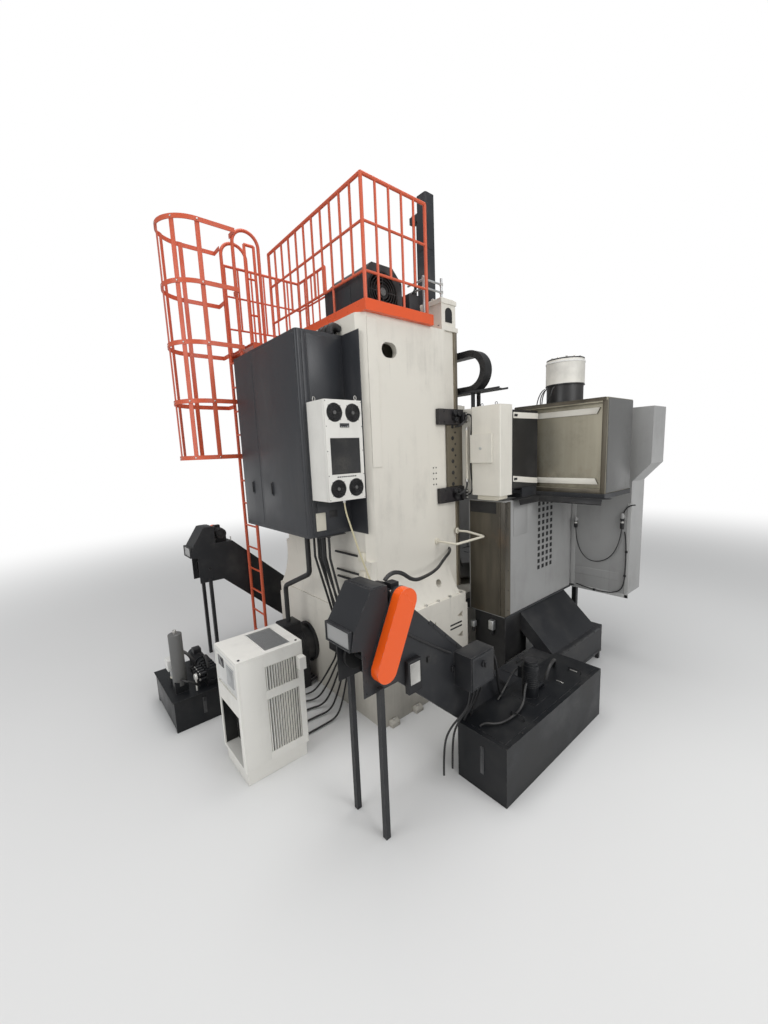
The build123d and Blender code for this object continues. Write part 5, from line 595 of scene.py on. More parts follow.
def fan(name, centre, way, radius, deep, blades=7):
    """Axial fan: a bladed rotor behind a wire finger guard on four arms."""
    centre, way = Vector(centre), Vector(way)
    across = way.orthogonal().normalized()
    up = way.cross(across)
    wires = [wire_ring(centre + way * 0.004, way, radius * share, radius * 0.028, 36, 6)
        for share in (0.985, 0.82, 0.66, 0.5, 0.34)]
    near = centre + way * 0.001
    for turn in range(4):
        arm = across * cos(pi / 4 + turn * pi / 2) + up * sin(pi / 4 + turn * pi / 2)
        wires.append(round_bar(near + arm * radius * 0.1, near + arm * radius * 1.08, radius * 0.035, 8))
    dressed(joined(wires), name + "_guard", "tool_steel", "bolt_black")
    disc(name + "_hub_cap", "tool_steel", centre, centre + way * 0.007, radius * 0.2, way,
        (radius * 0.04, 0.001, -0.002), sides=24, finish="shade_grey", edge=0)
    root = centre - way * (deep * 0.75)
    blade = bar(root + across * radius * 0.28 - up * radius * 0.2 - way * 0.001, root
        + across * radius * 0.9 + up * radius * 0.2 + way * 0.001)
    with shaping(blade):
        axis = "XYZ"[max(range(3), key=lambda i: abs(across[i]))]
        bpy.ops.transform.rotate(value=0.5, orient_axis=axis, center_override=root + across * radius * 0.6)
        bpy.ops.mesh.spin(steps=blades - 1, dupli=True, angle=2 * pi * (blades - 1) / blades, center=centre,
            axis=way)
    hub = stepped(round_bar(centre - way * (deep - 0.001), centre - way * 0.001, radius * 0.36, 28), way,
        (radius * 0.06, 0.001, 0))
    dressed(joined([blade, hub]), name + "_rotor", "chain_black", "plastic_and_painted_shade")


def fins(name, slot, start, step, count, radius, way):
    """Cooling fins round a motor's shell."""
    start, way = Vector(start), Vector(way)
    fin = round_bar(start, start + way * 0.004, radius, 40)
    dressed(in_rows(fin, (count, way * step)), name, slot, edge=0.001, segments=1)


# Column, ways and crossrail clamps

def dress_column():
    screws("column_tapped_holes", (-0.875, 1.35, 2.33), LEFT, 0.008,
        ((2, (0, 0.042, 0)), (4, (0, 0, 0.06))), 0.003)
    for side, word in ENDS:
        # A dark disc set inside the foot hole: painted shade in the hole
        disc(f"column_core_hole_shade_{word}", "chain_black", (side * 0.866, 1.789, 2.075),
            (side * 0.8685, 1.789, 2.075), 0.0414, (side, 0, 0), (0.004, 0, -0.001), finish="plastic_and_painted_shade",
            edge=0)
        screws(f"foot_bolts_{word}", (side * 1.003, 1.12, 1.07), UP, 0.016, ((7, (0, 0.19, 0)),), 0.018, 6,
            "zinc_plate")
        pad = cut_off(bar((side * 1.055 - 0.03, 1.2, 0), (side * 1.055 + 0.03, 1.3, 0.06)),
            (side * 1.085, 1.25, 0.035), (side * 0.5, 0, 0.866))
        in_rows(pad, (4, (0, 0.33, 0)))
        dressed(pad, f"levelling_pads_{word}", "casting_white", edge=0.003)
        screws(f"levelling_screws_{word}", (side * 1.045, 1.25, 0.042), UP, 0.014, ((4, (0, 0.33, 0)),),
            0.03, 6, "zinc_plate")
    # Dark plates set into the gib slots: painted shade in the slots
    for i, z in enumerate((0.735, 0.69)):
        cover(f"bed_gib_slot_shade_{i}", "chain_black", (-1.0275, 1.14, z), (-1.0245, 1.34, z + 0.018), LEFT,
            (0.004, 0, -0.0015), finish="plastic_and_painted_shade", edge=0.0006)


def dress_column_rear():
    """Cables clipped across the rear of the column, below the cabinet."""
    for i, (z, x0, x1) in enumerate(((1.69, -0.735, -0.29), (1.5, -0.72, -0.305), (1.425, -0.715, -0.31))):
        hose(f"column_rear_cable_{i}", [(x0, 2.317, z), ((x0 + x1) / 2, 2.323, z - 0.006),
            (x1, 2.317, z - 0.012)], 0.0115)
    for i, (z0, z1, x) in enumerate(((1.64, 1.735, -0.742), (1.385, 1.545, -0.745))):
        cover(f"column_rear_clamp_{i}", "cover_white", (x - 0.052, 2.2995, z0), (x + 0.036, 2.331, z1),
            REAR, (0.01, 0.003, 0), finish="tube_cream", edge=0.003)


def dress_lift():
    pipe_x, pipe_y = -0.838, 1.165
    for side, word in ENDS:
        x0, x1 = sorted((side * 0.412, side * 0.85))
        cover(f"gearbox_lid_{word}", "casting_white", (x0, 0.976, 4.2695), (x1, 1.184, 4.284), UP,
            (0.035, 0.002, 0.004), edge=0.003)
        screws(f"gearbox_lid_screws_{word}", (x0 + 0.018, 0.994, 4.284), UP, 0.008,
            ((4, (0.134, 0, 0)), (2, (0, 0.172, 0))), 0.007)
        screws(f"gearbox_foot_bolts_{word}", (x0 + 0.03, 0.959, 3.995), UP, 0.0085,
            ((4, (0.12, 0, 0)), (2, (0, 0.242, 0))), 0.01)
        eye_bolt(f"gearbox_eye_{word}", (side * 0.631, 1.08, 4.29), 0.022)
        # A dark arched plate on the gearbox face: painted shade in its slot
        dark = bar((side * 0.86 - 0.002, 1.027, 4.041), (side * 0.86 + 0.002, 1.133, 4.19))
        with shaping(dark, edges=lambda edge: abs(edge.verts[0].co.x - edge.verts[1].co.x) > 0.001
                and middle_of(edge).z > 4.1):
            bpy.ops.mesh.bevel(offset=0.052, segments=8)
        dressed(dark, f"gearbox_slot_shade_{word}", "chain_black", finish="plastic_and_painted_shade")
    hose("breather_pipe", [(pipe_x, pipe_y, 4.284), (pipe_x, pipe_y, 4.47)], 0.013, "screw_steel",
        "galvanised")
    for i, z in enumerate((4.33, 4.41)):
        hose(f"oil_pipe_{i}", [(pipe_x, pipe_y, z), (pipe_x, 1.42, z), (-0.6, 1.42, z)], 0.01,
            "screw_steel", "galvanised", tight=True)
    hose("oil_pipe_post", [(pipe_x, 1.43, 3.958), (pipe_x, 1.43, 4.44)], 0.014, "screw_steel", "galvanised")
    dressed(in_rows(round_bar((pipe_x, pipe_y, 4.318), (pipe_x, pipe_y, 4.342), 0.02, 6), (2, (0, 0, 0.08)),
        (2, (0, 0.265, 0))), "oil_pipe_nuts", "tool_steel", finish="zinc_plate", edge=0.0015)


def dress_deck():
    """Lubrication and valve boxes on the deck, left of the cowl."""
    for i, (x0, y0, x1, y1, top, slot) in enumerate(((-0.8, 1.45, -0.6, 1.6, 4.25, "dark_paint"),
            (-0.56, 1.44, -0.43, 1.58, 4.2, "drum_white"), (-0.39, 1.46, -0.24, 1.62, 4.29, "dark_paint"),
            (-0.18, 1.45, -0.05, 1.57, 4.17, "motor_black"))):
        cover(f"deck_box_{i}", slot, (x0, y0, 3.9577), (x1, y1, top), UP, (0.012, 0, 0.006), edge=0.003)
        screws(f"deck_box_screws_{i}", (x0 + 0.006, y0 + 0.006, top), UP, 0.004,
            ((2, (x1 - x0 - 0.012, 0, 0)), (2, (0, y1 - y0 - 0.012, 0))), 0.003)
        hose(f"deck_hose_{i}", [(x0 + 0.05, y0 + 0.03, top), (x0 + 0.05, y0 + 0.03, top + 0.07),
            (x0 + 0.08, y0 - 0.01, top + 0.09), (x0 + 0.14, y0 - 0.02, top + 0.05),
            (x0 + 0.17, y0 - 0.02, 4.1), (x0 + 0.17, y0 - 0.02, 3.958)], 0.009)
    fan("cowl_fan", (-0.797, 1.945, 4.193), LEFT, 0.172, 0.1, 9)
    screws("cowl_screws", (-0.8, 1.725, 4.085), LEFT, 0.009, ((2, (0, 0.44, 0)), (2, (0, 0, 0.22))))
    cover("cowl_access", "dark_paint", (-0.62, 2.1895, 4.02), (-0.34, 2.194, 4.26), REAR, (0.012, 0, 0.003),
        edge=0.003)


def dress_clamps():
    pipe_y, loop_y = 0.985, 0.972
    for side, word in ENDS:
        out = (side, 0, 0)
        for i, z in enumerate((2.1175, 2.965)):
            screws(f"clamp_screws_{word}_{i}", (side * 0.925, 1.255, z + 0.028), out, 0.012,
                ((2, (0, 0, 0.109)),), 0.004, body=RAIL)
            for k, (y, rise) in enumerate(((1.085, 0.052), (1.035, 0.112), (1.105, 0.124))):
                disc(f"clamp_valve_disc_{word}_{i}_{k}", "motor_black", (side * 0.924, y, z + rise),
                    (side * 0.958, y, z + rise), 0.027, out, (0.005, 0.002, 0), (0.006, 0, -0.003),
                    body=RAIL)
            cover(f"clamp_valve_{word}_{i}", "motor_black", (side * 0.93, 0.945, z + 0.02),
                (side * 0.985, 1.0, z + 0.13), REAR, (0.008, 0, 0.006), edge=0.002, body=RAIL)
            for k in range(3):
                disc(f"clamp_nut_{word}_{i}_{k}", "tool_steel",
                    (side * 0.984, loop_y, z + 0.04 + 0.035 * k),
                    (side * 1.008, loop_y, z + 0.04 + 0.035 * k), 0.012, sides=6, finish="zinc_plate",
                    body=RAIL)
        screws(f"keeper_bolts_{word}", (side * 0.905, 1.105, 2.315), out, 0.022, ((6, (0, 0, 0.126)),),
            0.004, body=RAIL)
        screws(f"keeper_pins_{word}", (side * 0.905, 1.06, 2.378), out, 0.012, ((5, (0, 0, 0.126)),), 0.003,
            body=RAIL)
        x = side * 1.004
        hose(f"clamp_pipe_{word}", [(x, pipe_y, 2.36), (x, pipe_y, 2.9)], 0.011, "cover_white",
            "tube_cream", body=RAIL)
        for i, z in enumerate((2.345, 2.915)):
            disc(f"clamp_pipe_nut_{word}_{i}", "tool_steel", (x, pipe_y, z - 0.016), (x, pipe_y, z + 0.016),
                0.018, sides=6, finish="zinc_plate", body=RAIL)
        for i, (low, high) in enumerate(((2.19, 2.33), (2.93, 3.06))):
            hose(f"clamp_hose_{word}_{i}", [(side * 0.95, 1.105, low + 0.01), (x, 1.105, low + 0.01),
                (x + side * 0.03, 1.07, low + 0.05), (x + side * 0.015, 1.0, high - 0.05),
                (x, pipe_y, high)], 0.01, body=RAIL)
        hose(f"clamp_loop_{word}", [(x, loop_y, 3.07), (x + side * 0.05, loop_y, 3.075),
            (x + side * 0.06, 0.962, 2.98), (x + side * 0.028, 0.955, 2.8), (x + side * 0.028, 0.955, 2.45),
            (x + side * 0.055, 0.962, 2.28), (x + side * 0.045, loop_y, 2.19), (x, loop_y, 2.192)], 0.0085,
            body=RAIL)


def dress_end_cover():
    disc("hatch_lock", "cover_white", (-1.2, 1.0025, 2.695), (-1.2, 1.008, 2.695), 0.015, REAR,
        (0.004, 0.001, 0), (0.004, 0, -0.001), finish="galvanised", body=RAIL)
    for i, x in enumerate((-1.33, -1.15)):
        eye_bolt(f"end_cover_eye_{i}", (x, 0.9, 3.138), 0.014, REAR, "bolt_black", body=RAIL)
    cover("crossrail_gap_sheet", "dark_paint", (-1.433, 0.252, 2.245), (-1.4283, 0.7585, 3.085), LEFT,
        (0.012, 0.0005, -0.001), finish="bolt_black", edge=0.0008, body=RAIL)
    for word, z0, z1, rise in (("top", 2.997, 3.059, 0), ("bottom", 2.271, 2.333, 0.055)):
        strip = bar((-1.437, 0.252, z0), (-1.4325, 0.748, z1))
        with shaping(strip, facing(REAR)):
            bpy.ops.transform.translate(value=(0, 0, rise))
        stepped(strip, LEFT, (0.004, 0.0008, 0))
        dressed(strip, f"gap_strip_{word}", "cover_white", edge=0.001, body=RAIL)
        z = (z0 + z1) / 2 + rise * 0.93
        cover(f"gap_latch_{word}", "motor_black", (-1.448, 0.685, z - 0.012), (-1.4362, 0.735, z + 0.012),
            LEFT, (0.005, 0.002, 0), edge=0.002, body=RAIL)
    bracket = bar((-1.4, 0.8, 2.135), (-1.12, 0.95, 2.1882))
    cut_off(bracket, (-1.4, 0.9, 2.15), (-0.5, 0, -0.866))
    dressed(bracket, "end_cover_bracket", "cover_white", finish="tube_cream", edge=0.003, body=RAIL)
    hose("rear_guard_bar", [(-0.876, 1.365, 1.7), (-1.14, 1.345, 1.7), (-1.18, 0.92, 1.72),
        (-0.98, 0.97, 1.76), (-0.9, 1.02, 1.765)], 0.0135, "cover_white", "tube_cream", tight=True)
    for i, (y, z) in enumerate(((1.365, 1.7), (1.02, 1.765))):
        disc(f"rear_guard_foot_{i}", "cover_white", (-0.8755, y, z), (-0.889, y, z), 0.034, LEFT,
            (0.01, 0.001, 0), finish="tube_cream", edge=0.0015)


# Magazine, splash guard and pan

def dress_magazine():
    for word, z0, z1, low in (("top", 2.9965, 3.0595, False), ("bottom", 2.2705, 2.3335, True)):
        strip = bar((-2.085, 0.1985, z0), (-1.225, 0.2035, z1))
        cut_off(strip, (-2.085, 0.2, z0 if low else z1), (-0.9, 0, 0.43 if low else -0.43))
        dressed(strip, f"panel_strip_{word}", "cover_white", edge=0.0012, body=RAIL)
    cover("panel_hinge_post", "dark_paint", (-1.222, 0.1985, 2.226), (-1.186, 0.242, 3.104), REAR,
        (0.008, 0, -0.004), body=RAIL)
    cover("magazine_top_rail", "panel_steel", (-2.16, 0.2515, 3.118), (-1.15, 0.262, 3.152), REAR,
        (0.004, 0, -0.002), finish="brown_sheet", body=RAIL)
    for word, x0, x1, y1, z1 in (("outer", -2.1768, -2.13, 0.2535, 3.12),
            ("inner", -1.18, -1.133, 0.2535, 3.12), ("low", -2.13, -1.18, 0.253, 2.226)):
        cover(f"magazine_frame_{word}", "panel_steel", (x0, 0.2497, 2.178), (x1, y1, z1), REAR,
            (0.006, 0, 0.001), finish="brown_sheet", edge=0.001, body=RAIL)
    tray = bar((-2.25, 0.2505, 2.1335), (-1.46, 0.345, 2.1395))
    cut_off(tray, (-2.25, 0.3, 2.13), (-0.62, 0.78, 0))
    with shaping(tray, faces=facing(REAR)):
        bpy.ops.mesh.extrude_region_move(TRANSFORM_OT_translate={"value": (0, 0.02, -0.055)})
        bpy.ops.mesh.extrude_region_move(TRANSFORM_OT_translate={"value": (0, -0.004, -0.004)})
    dressed(tray, "magazine_drip_tray", "dark_paint", finish="bolt_black", edge=0.002, body=RAIL)
    arm = bar((-1.51, 0.26, 2.1335), (-1.4, 0.758, 2.1395))
    with shaping(arm, faces=facing(LEFT)):
        bpy.ops.mesh.extrude_region_move(TRANSFORM_OT_translate={"value": (-0.016, 0, -0.055)})
        bpy.ops.mesh.extrude_region_move(TRANSFORM_OT_translate={"value": (0.004, 0, -0.004)})
    dressed(arm, "magazine_drip_arm", "dark_paint", finish="bolt_black", edge=0.002, body=RAIL)
    cover("magazine_side_door", "guard_grey", (-2.179, -0.412, 2.186), (-2.1747, 0.222, 3.142), LEFT,
        (0.014, 0, 0.002), finish="shade_grey", body=RAIL)


def dress_drum():
    x, y = -1.56, -0.11
    for word, z, radius, thick in (("waist", 3.355, 0.208, 0.01), ("brim", 3.6, 0.209, 0.018),
            ("foot", 3.168, 0.217, 0.006)):
        disc(f"drum_{word}_band", "motor_black" if word != "brim" else "drum_white", (x, y, z),
            (x, y, z + thick), radius, sides=48, edge=0.002, body=RAIL)
    with shaping(screws("drum_lid_studs", (x + 0.165, y, 3.65), UP, 0.011, (), 0.016, 6, "zinc_plate",
            body=RAIL)):
        bpy.ops.mesh.spin(steps=11, dupli=True, angle=2 * pi * 11 / 12, center=(x, y, 3.65), axis=UP)
    disc("drum_lid_boss", "motor_black", (x, y, 3.6495), (x, y, 3.668), 0.085, UP, (0.012, 0.003, 0),
        (0.03, 0, -0.006), sides=40, edge=0.0015, body=RAIL)
    for i, (dx, dy, sag) in enumerate(((0.2, 0.05, 0.02), (0.17, 0.13, 0.05), (0.1, 0.19, 0.03),
            (0.01, 0.22, 0.06))):
        hose(f"drum_lead_{i}", [(x + dx, y + dy, 3.34), (x + dx * 1.15, y + dy * 1.15, 3.33),
            (x + dx * (1.3 + sag), y + dy * (1.3 + sag), 3.24), (x + dx * 1.22 + sag, y + dy * 1.22, 3.16),
            (x + dx * 1.22 + sag, y + dy * 1.22, 3.149)], 0.006, body=RAIL)


def dress_wing():
    """Rims of the left door pocket, the plugs of its free cable and the cable that is clipped to it."""
    plug_y, cable_y = -0.581, -0.5945
    # The rims take a lighter copy of the guard grey: painted highlight along them
    rims = [bar((-1.505, -0.6055, 0.835), (-1.452, -0.6015, 2.13)),
        bar((-2.15, -0.6055, 0.8235), (-1.452, -0.6015, 0.868)),
        bar((-2.15, -0.6055, 0.8235), (-2.105, -0.6015, 1.98))]
    rims = [stepped(rim, REAR, (0.006, 0.0012, 0)) for rim in rims]
    dressed(joined(rims), "wing_rims", "guard_grey", finish="guard_rim_highlight", edge=0.0012)
    for i, (x, z0, z1) in enumerate(((-2.06, 1.68, 1.8), (-1.512, 1.64, 1.72))):
        disc(f"wing_plug_{i}", "motor_black", (x, plug_y, z0), (x, plug_y, z1), 0.0205, DOWN,
            (0.006, 0.01, 0), edge=0.0015)
        disc(f"wing_plug_band_{i}", "tool_steel", (x, plug_y, (z0 + z1) / 2 + 0.006),
            (x, plug_y, (z0 + z1) / 2 + 0.026), 0.0225, finish="zinc_plate", edge=0.002)
    hose("wing_plug_lead", [(-2.06, plug_y, 1.797), (-2.064, -0.59, 1.85), (-2.095, -0.5965, 1.93),
        (-2.15, -0.5965, 1.965), (-2.19, -0.5965, 1.968)], 0.007)
    hose("wing_edge_cable", [(-2.085, cable_y, 1.64), (-2.108, cable_y, 1.56), (-2.115, cable_y, 1.22),
        (-2.104, cable_y, 0.975), (-2.04, cable_y, 0.88), (-1.9, cable_y, 0.845), (-1.7, cable_y, 0.85),
        (-1.535, cable_y, 0.88)], 0.0065)
    for i, (x, z) in enumerate(((-2.115, 1.4), (-2.11, 1.1), (-1.76, 0.848))):
        cover(f"wing_cable_clip_{i}", "chain_black", (x - 0.013, -0.6035, z - 0.013),
            (x + 0.013, -0.5865, z + 0.013), REAR, (0.004, 0.001, 0))


def dress_splash_guards():
    wall, rear_face = 1.438, 0.904
    for side, word in ENDS:
        cover(f"guard_rear_sheet_{word}", "guard_grey", (side * 1.4385, 0.9015, 0.83),
            (side * 0.975, 0.9045, 2.115), finish="brown_sheet", edge=0.001)
        cover(f"guard_rear_fold_{word}", "guard_grey", (side * 1.372 - 0.01, rear_face, 0.84),
            (side * 1.372 + 0.01, 0.912, 2.112), REAR, (0.005, 0.001, 0), finish="brown_sheet", edge=0.002)
        cover(f"guard_rear_mouth_{word}", "guard_grey", (side * 1.33, rear_face, 1.985),
            (side * 0.985, 0.9062, 2.108), REAR, (0.012, 0, -0.0012), finish="plastic_and_painted_shade", edge=0)
        # Near-black sheets under the splash guard, at its rear and side: painted shade in the space beneath
        # it
        cover(f"guard_rear_shade_sheet_{word}", "dark_paint", (side * 1.43, 0.888, 0.12),
            (side * 1.03, 0.893, 0.8225), REAR, (0.015, 0.001, 0), finish="bolt_black")
        cover(f"guard_side_shade_sheet_{word}", "dark_paint", (side * 1.436, 0.46, 0.3),
            (side * 1.43, 0.8935, 0.8225), (side, 0, 0), (0.015, 0.001, 0), finish="bolt_black")
        cover(f"guard_corner_{word}", "guard_grey", (side * 1.4365, 0.8, 0.83),
            (side * 1.44, 0.9045, 2.115), (side, 0, 0), (0.008, 0, -0.001), finish="brown_sheet",
            edge=0.0008)
        screws(f"guard_corner_screws_{word}", (side * 1.44, 0.845, 0.9), (side, 0, 0), 0.006,
            ((6, (0, 0, 0.23)),), 0.004)
        # Dark inset squares in the vent perforations: painted shade behind the holes
        vent = bar((side * wall - 0.0012, -0.109, 1.231), (side * wall + 0.0012, -0.061, 1.279))
        stepped(vent, (side, 0, 0), (0.003, 0, -0.0012))
        in_rows(vent, (4, (0, 0.095, 0)), (11, (0, 0, 0.077)))
        dressed(vent, f"guard_vent_shade_{word}", "chain_black", finish="plastic_and_painted_shade")
        cover(f"guard_lower_lip_{word}", "dark_paint", (side * 1.432, -0.6, 0.8175),
            (side * 1.452, 0.905, 0.834), (side, 0, 0), (0.004, 0.001, 0))
        cover(f"guard_access_{word}", "guard_grey", (side * wall - 0.001, 0.46, 1.72),
            (side * wall + 0.001, 0.74, 2.12), (side, 0, 0), (0.006, 0, 0.001), edge=0.0006)


# Cabinet, cooler, drives, conveyors and the floor units

def dress_cabinet():
    gland_y = 2.415
    dressed(bar((-0.6, 2.7, 1.95), (-0.5935, 2.742, 3.785)), "cabinet_edge_ridge", "cabinet_charcoal",
        edge=0.005, segments=3)
    for word, z0, z1 in (("low", 1.965, 2.262), ("high", 3.2, 3.765)):
        cover(f"cabinet_side_panel_{word}", "cabinet_charcoal", (-0.597, 2.335, z0), (-0.5935, 2.688, z1),
            LEFT, (0.01, 0, 0.001))
    cover("cabinet_knockout", "motor_black", (-0.6005, 2.47, 2.1), (-0.5965, 2.56, 2.17), LEFT,
        (0.008, 0, 0.002))
    for word, x0, x1 in (("left", -0.565, 0.302), ("right", 0.358, 0.826)):
        body = f"cabinet_door_{word}"
        cover(f"{body}_panel", "cabinet_charcoal", (x0, 2.7935, 1.962), (x1, 2.7958, 3.768), REAR,
            (0.006, 0.001, 0), edge=0.0008, body=body)
    cover("cabinet_filler_sheet", "cabinet_charcoal", (-0.858, 2.3003, 1.932), (-0.5938, 2.307, 3.798),
        REAR, (0.008, 0.001, 0))
    for i in range(3):
        x = -0.565 + 0.08 * i
        disc(f"cabinet_top_gland_{i}", "motor_black", (x, gland_y, 3.7995), (x, gland_y, 3.822), 0.038, UP,
            (0.006, 0.002, 0), sides=24, edge=0.002)
        hose(f"cabinet_top_conduit_{i}", [(x, gland_y, 3.815), (x, gland_y, 3.868), (x, 2.35, 3.885),
            (x, 2.301, 3.855)], 0.033)
    cover("cabinet_corner_bracket", "cover_white", (-0.612, 2.612, 1.99), (-0.5935, 2.712, 2.16), LEFT,
        (0.008, 0.002, 0), finish="tube_cream", edge=0.002)
    cover("cabinet_gland_plate", "motor_black", (-0.62, 2.4, 1.921), (-0.22, 2.7, 1.9305), DOWN,
        (0.012, 0, 0.003))
    for i, x in enumerate((0.09, 0.57)):
        body = "cabinet_door_" + ("left" if x < 0.33 else "right")
        lever = bar((x - 0.011, 2.803, 2.315), (x + 0.011, 2.812, 2.43))
        stepped(lever, REAR, (0.004, 0.001, 0))
        pivot = round_bar((x, 2.7935, 2.335), (x, 2.8035, 2.335), 0.012, 20)
        dressed(joined([lever, pivot]), f"cabinet_lever_{i}", "tool_steel", finish="bolt_black",
            edge=0.0015, body=body)


def dress_cooler():
    drain_x, drain_y = -0.8, 2.52
    for i, (y, z) in enumerate(((2.628, 3.058), (2.434, 3.058), (2.628, 2.396), (2.434, 2.396))):
        disc(f"cooler_fan_{i}_ring", "chain_black", (-0.88, y, z), (-0.8842, y, z), 0.0815, LEFT,
            (0.006, 0, -0.0008), sides=40, finish="plastic_and_painted_shade", edge=0)
        fan(f"cooler_fan_{i}", (-0.885, y, z), LEFT, 0.0755, 0.017)
        screws(f"cooler_fan_screws_{i}", (-0.884, y - 0.06, z - 0.06), LEFT, 0.004,
            ((2, (0, 0.12, 0)), (2, (0, 0, 0.12))), 0.003)
    cover("cooler_filter", "chain_black", (-0.8835, 2.375, 2.524), (-0.8805, 2.687, 2.838), LEFT,
        (0.008, 0, -0.0015), finish="filter_mesh", edge=0.0008)
    cover("cooler_display", "chain_black", (-0.8885, 2.482, 2.93), (-0.8835, 2.58, 2.966), LEFT,
        (0.005, 0, -0.001), (0.002, 0, -0.001), finish="screen_glass", edge=0.002)
    for i in range(4):
        disc(f"cooler_key_{i}", "pendant_grey", (-0.8878, 2.498 + 0.022 * i, 2.937),
            (-0.8895, 2.498 + 0.022 * i, 2.937), 0.004, sides=16, edge=0.0008)
    dressed(in_rows(bar((-0.8846, 2.43, 2.494), (-0.8836, 2.445, 2.505)), (10, (0, 0.021, 0))),
        "cooler_status_window", "chain_black", finish="plastic_and_painted_shade")
    screws("cooler_face_screws", (-0.884, 2.342, 2.3), LEFT, 0.004,
        ((2, (0, 0.378, 0)), (5, (0, 0, 0.2135))), 0.003)
    cover("cooler_side_seam", "cooler_white", (-0.8835, 2.7315, 2.289), (-0.845, 2.7335, 3.165), REAR,
        (0.006, 0, 0.0005), edge=0.0008)
    for i, (x, y) in enumerate(((-0.66, 2.69), (-0.85, 2.375))):
        eye_bolt(f"cooler_eye_{i}", (x, y, 3.168), 0.019, (1, 0.4, 0))
    hose("cooler_drain", [(drain_x, drain_y, 2.288), (drain_x, drain_y, 2.2), (-0.84, 2.48, 2.0),
        (-0.885, 2.43, 1.75), (-0.93, 2.36, 1.5), (-0.95, 2.3, 1.25), (-0.96, 2.26, 1.074)], 0.008,
        finish="drain_tube")
    disc("cooler_drain_nut", "tool_steel", (drain_x, drain_y, 2.2555), (drain_x, drain_y, 2.2865), 0.014,
        sides=6, finish="zinc_plate", edge=0.0015)


def dress_motors():
    motor_x, motor_z, guard_reach = 0.341, 0.47, 0.175
    fins("main_motor_fins", "motor_black", (motor_x, 2.495, motor_z), 0.021, 12, 0.216, REAR)
    disc("main_motor_fan_plate", "motor_black", (motor_x, 2.9995, motor_z), (motor_x, 3.006, motor_z),
        0.195, REAR, (0.01, 0.002, -0.004), sides=48)
    rings = [wire_ring((motor_x, 3.004, motor_z), REAR, radius, 0.0028, 40, 6)
        for radius in (0.05, 0.08, 0.11, 0.14, 0.17)]
    rings += [round_bar((motor_x + guard_reach * cos(a), 3.003, motor_z + guard_reach * sin(a)),
        (motor_x - guard_reach * cos(a), 3.003, motor_z - guard_reach * sin(a)), 0.003, 8)
        for a in (0.4, 1.45, 2.5)]
    dressed(joined(rings), "main_motor_fan_guard", "tool_steel", finish="guard_wire")
    cover("main_motor_box_lid", "motor_black", (0.235, 2.515, 0.7795), (0.447, 2.725, 0.79), UP,
        (0.012, 0.001, 0.003), edge=0.003)
    screws("main_motor_box_screws", (0.243, 2.523, 0.79), UP, 0.005,
        ((2, (0.196, 0, 0)), (2, (0, 0.194, 0))), 0.004)
    eye_bolt("main_motor_eye", (motor_x, 2.85, 0.678), 0.022, RIGHT, "bolt_black")
    for side, word in ENDS:
        x = side * 1.875
        fins(f"conveyor_motor_fins_{word}", "motor_black", (side * 1.845, 2.86, 1.71), 0.013, 10, 0.0755,
            (-side, 0, 0))
        end = side * 1.64
        disc(f"conveyor_motor_cap_{word}", "motor_black", (end + side * 0.001, 2.86, 1.71),
            (end - side * 0.004, 2.86, 1.71), 0.06, (-side, 0, 0), (0.01, 0.001, -0.002), (0.012, 0, 0.001),
            sides=36)
        screws(f"conveyor_motor_bolts_{word}", (x, 2.8, 1.652), (-side, 0, 0), 0.008,
            ((2, (0, 0.12, 0)), (2, (0, 0, 0.116))), 0.008, 6, "zinc_plate")
        hose(f"conveyor_motor_cable_{word}", [(side * 1.81, 2.895, 1.755), (side * 1.81, 2.93, 1.755),
            (side * 1.82, 2.955, 1.7), (side * 1.86, 2.955, 1.62), (side * 1.896, 2.9, 1.5),
            (side * 1.898, 2.6, 1.28), (side * 1.898, 2.35, 1.12)], 0.009)


# The turn of the conveyors' incline about X, in radians
INCLINE = -0.7506


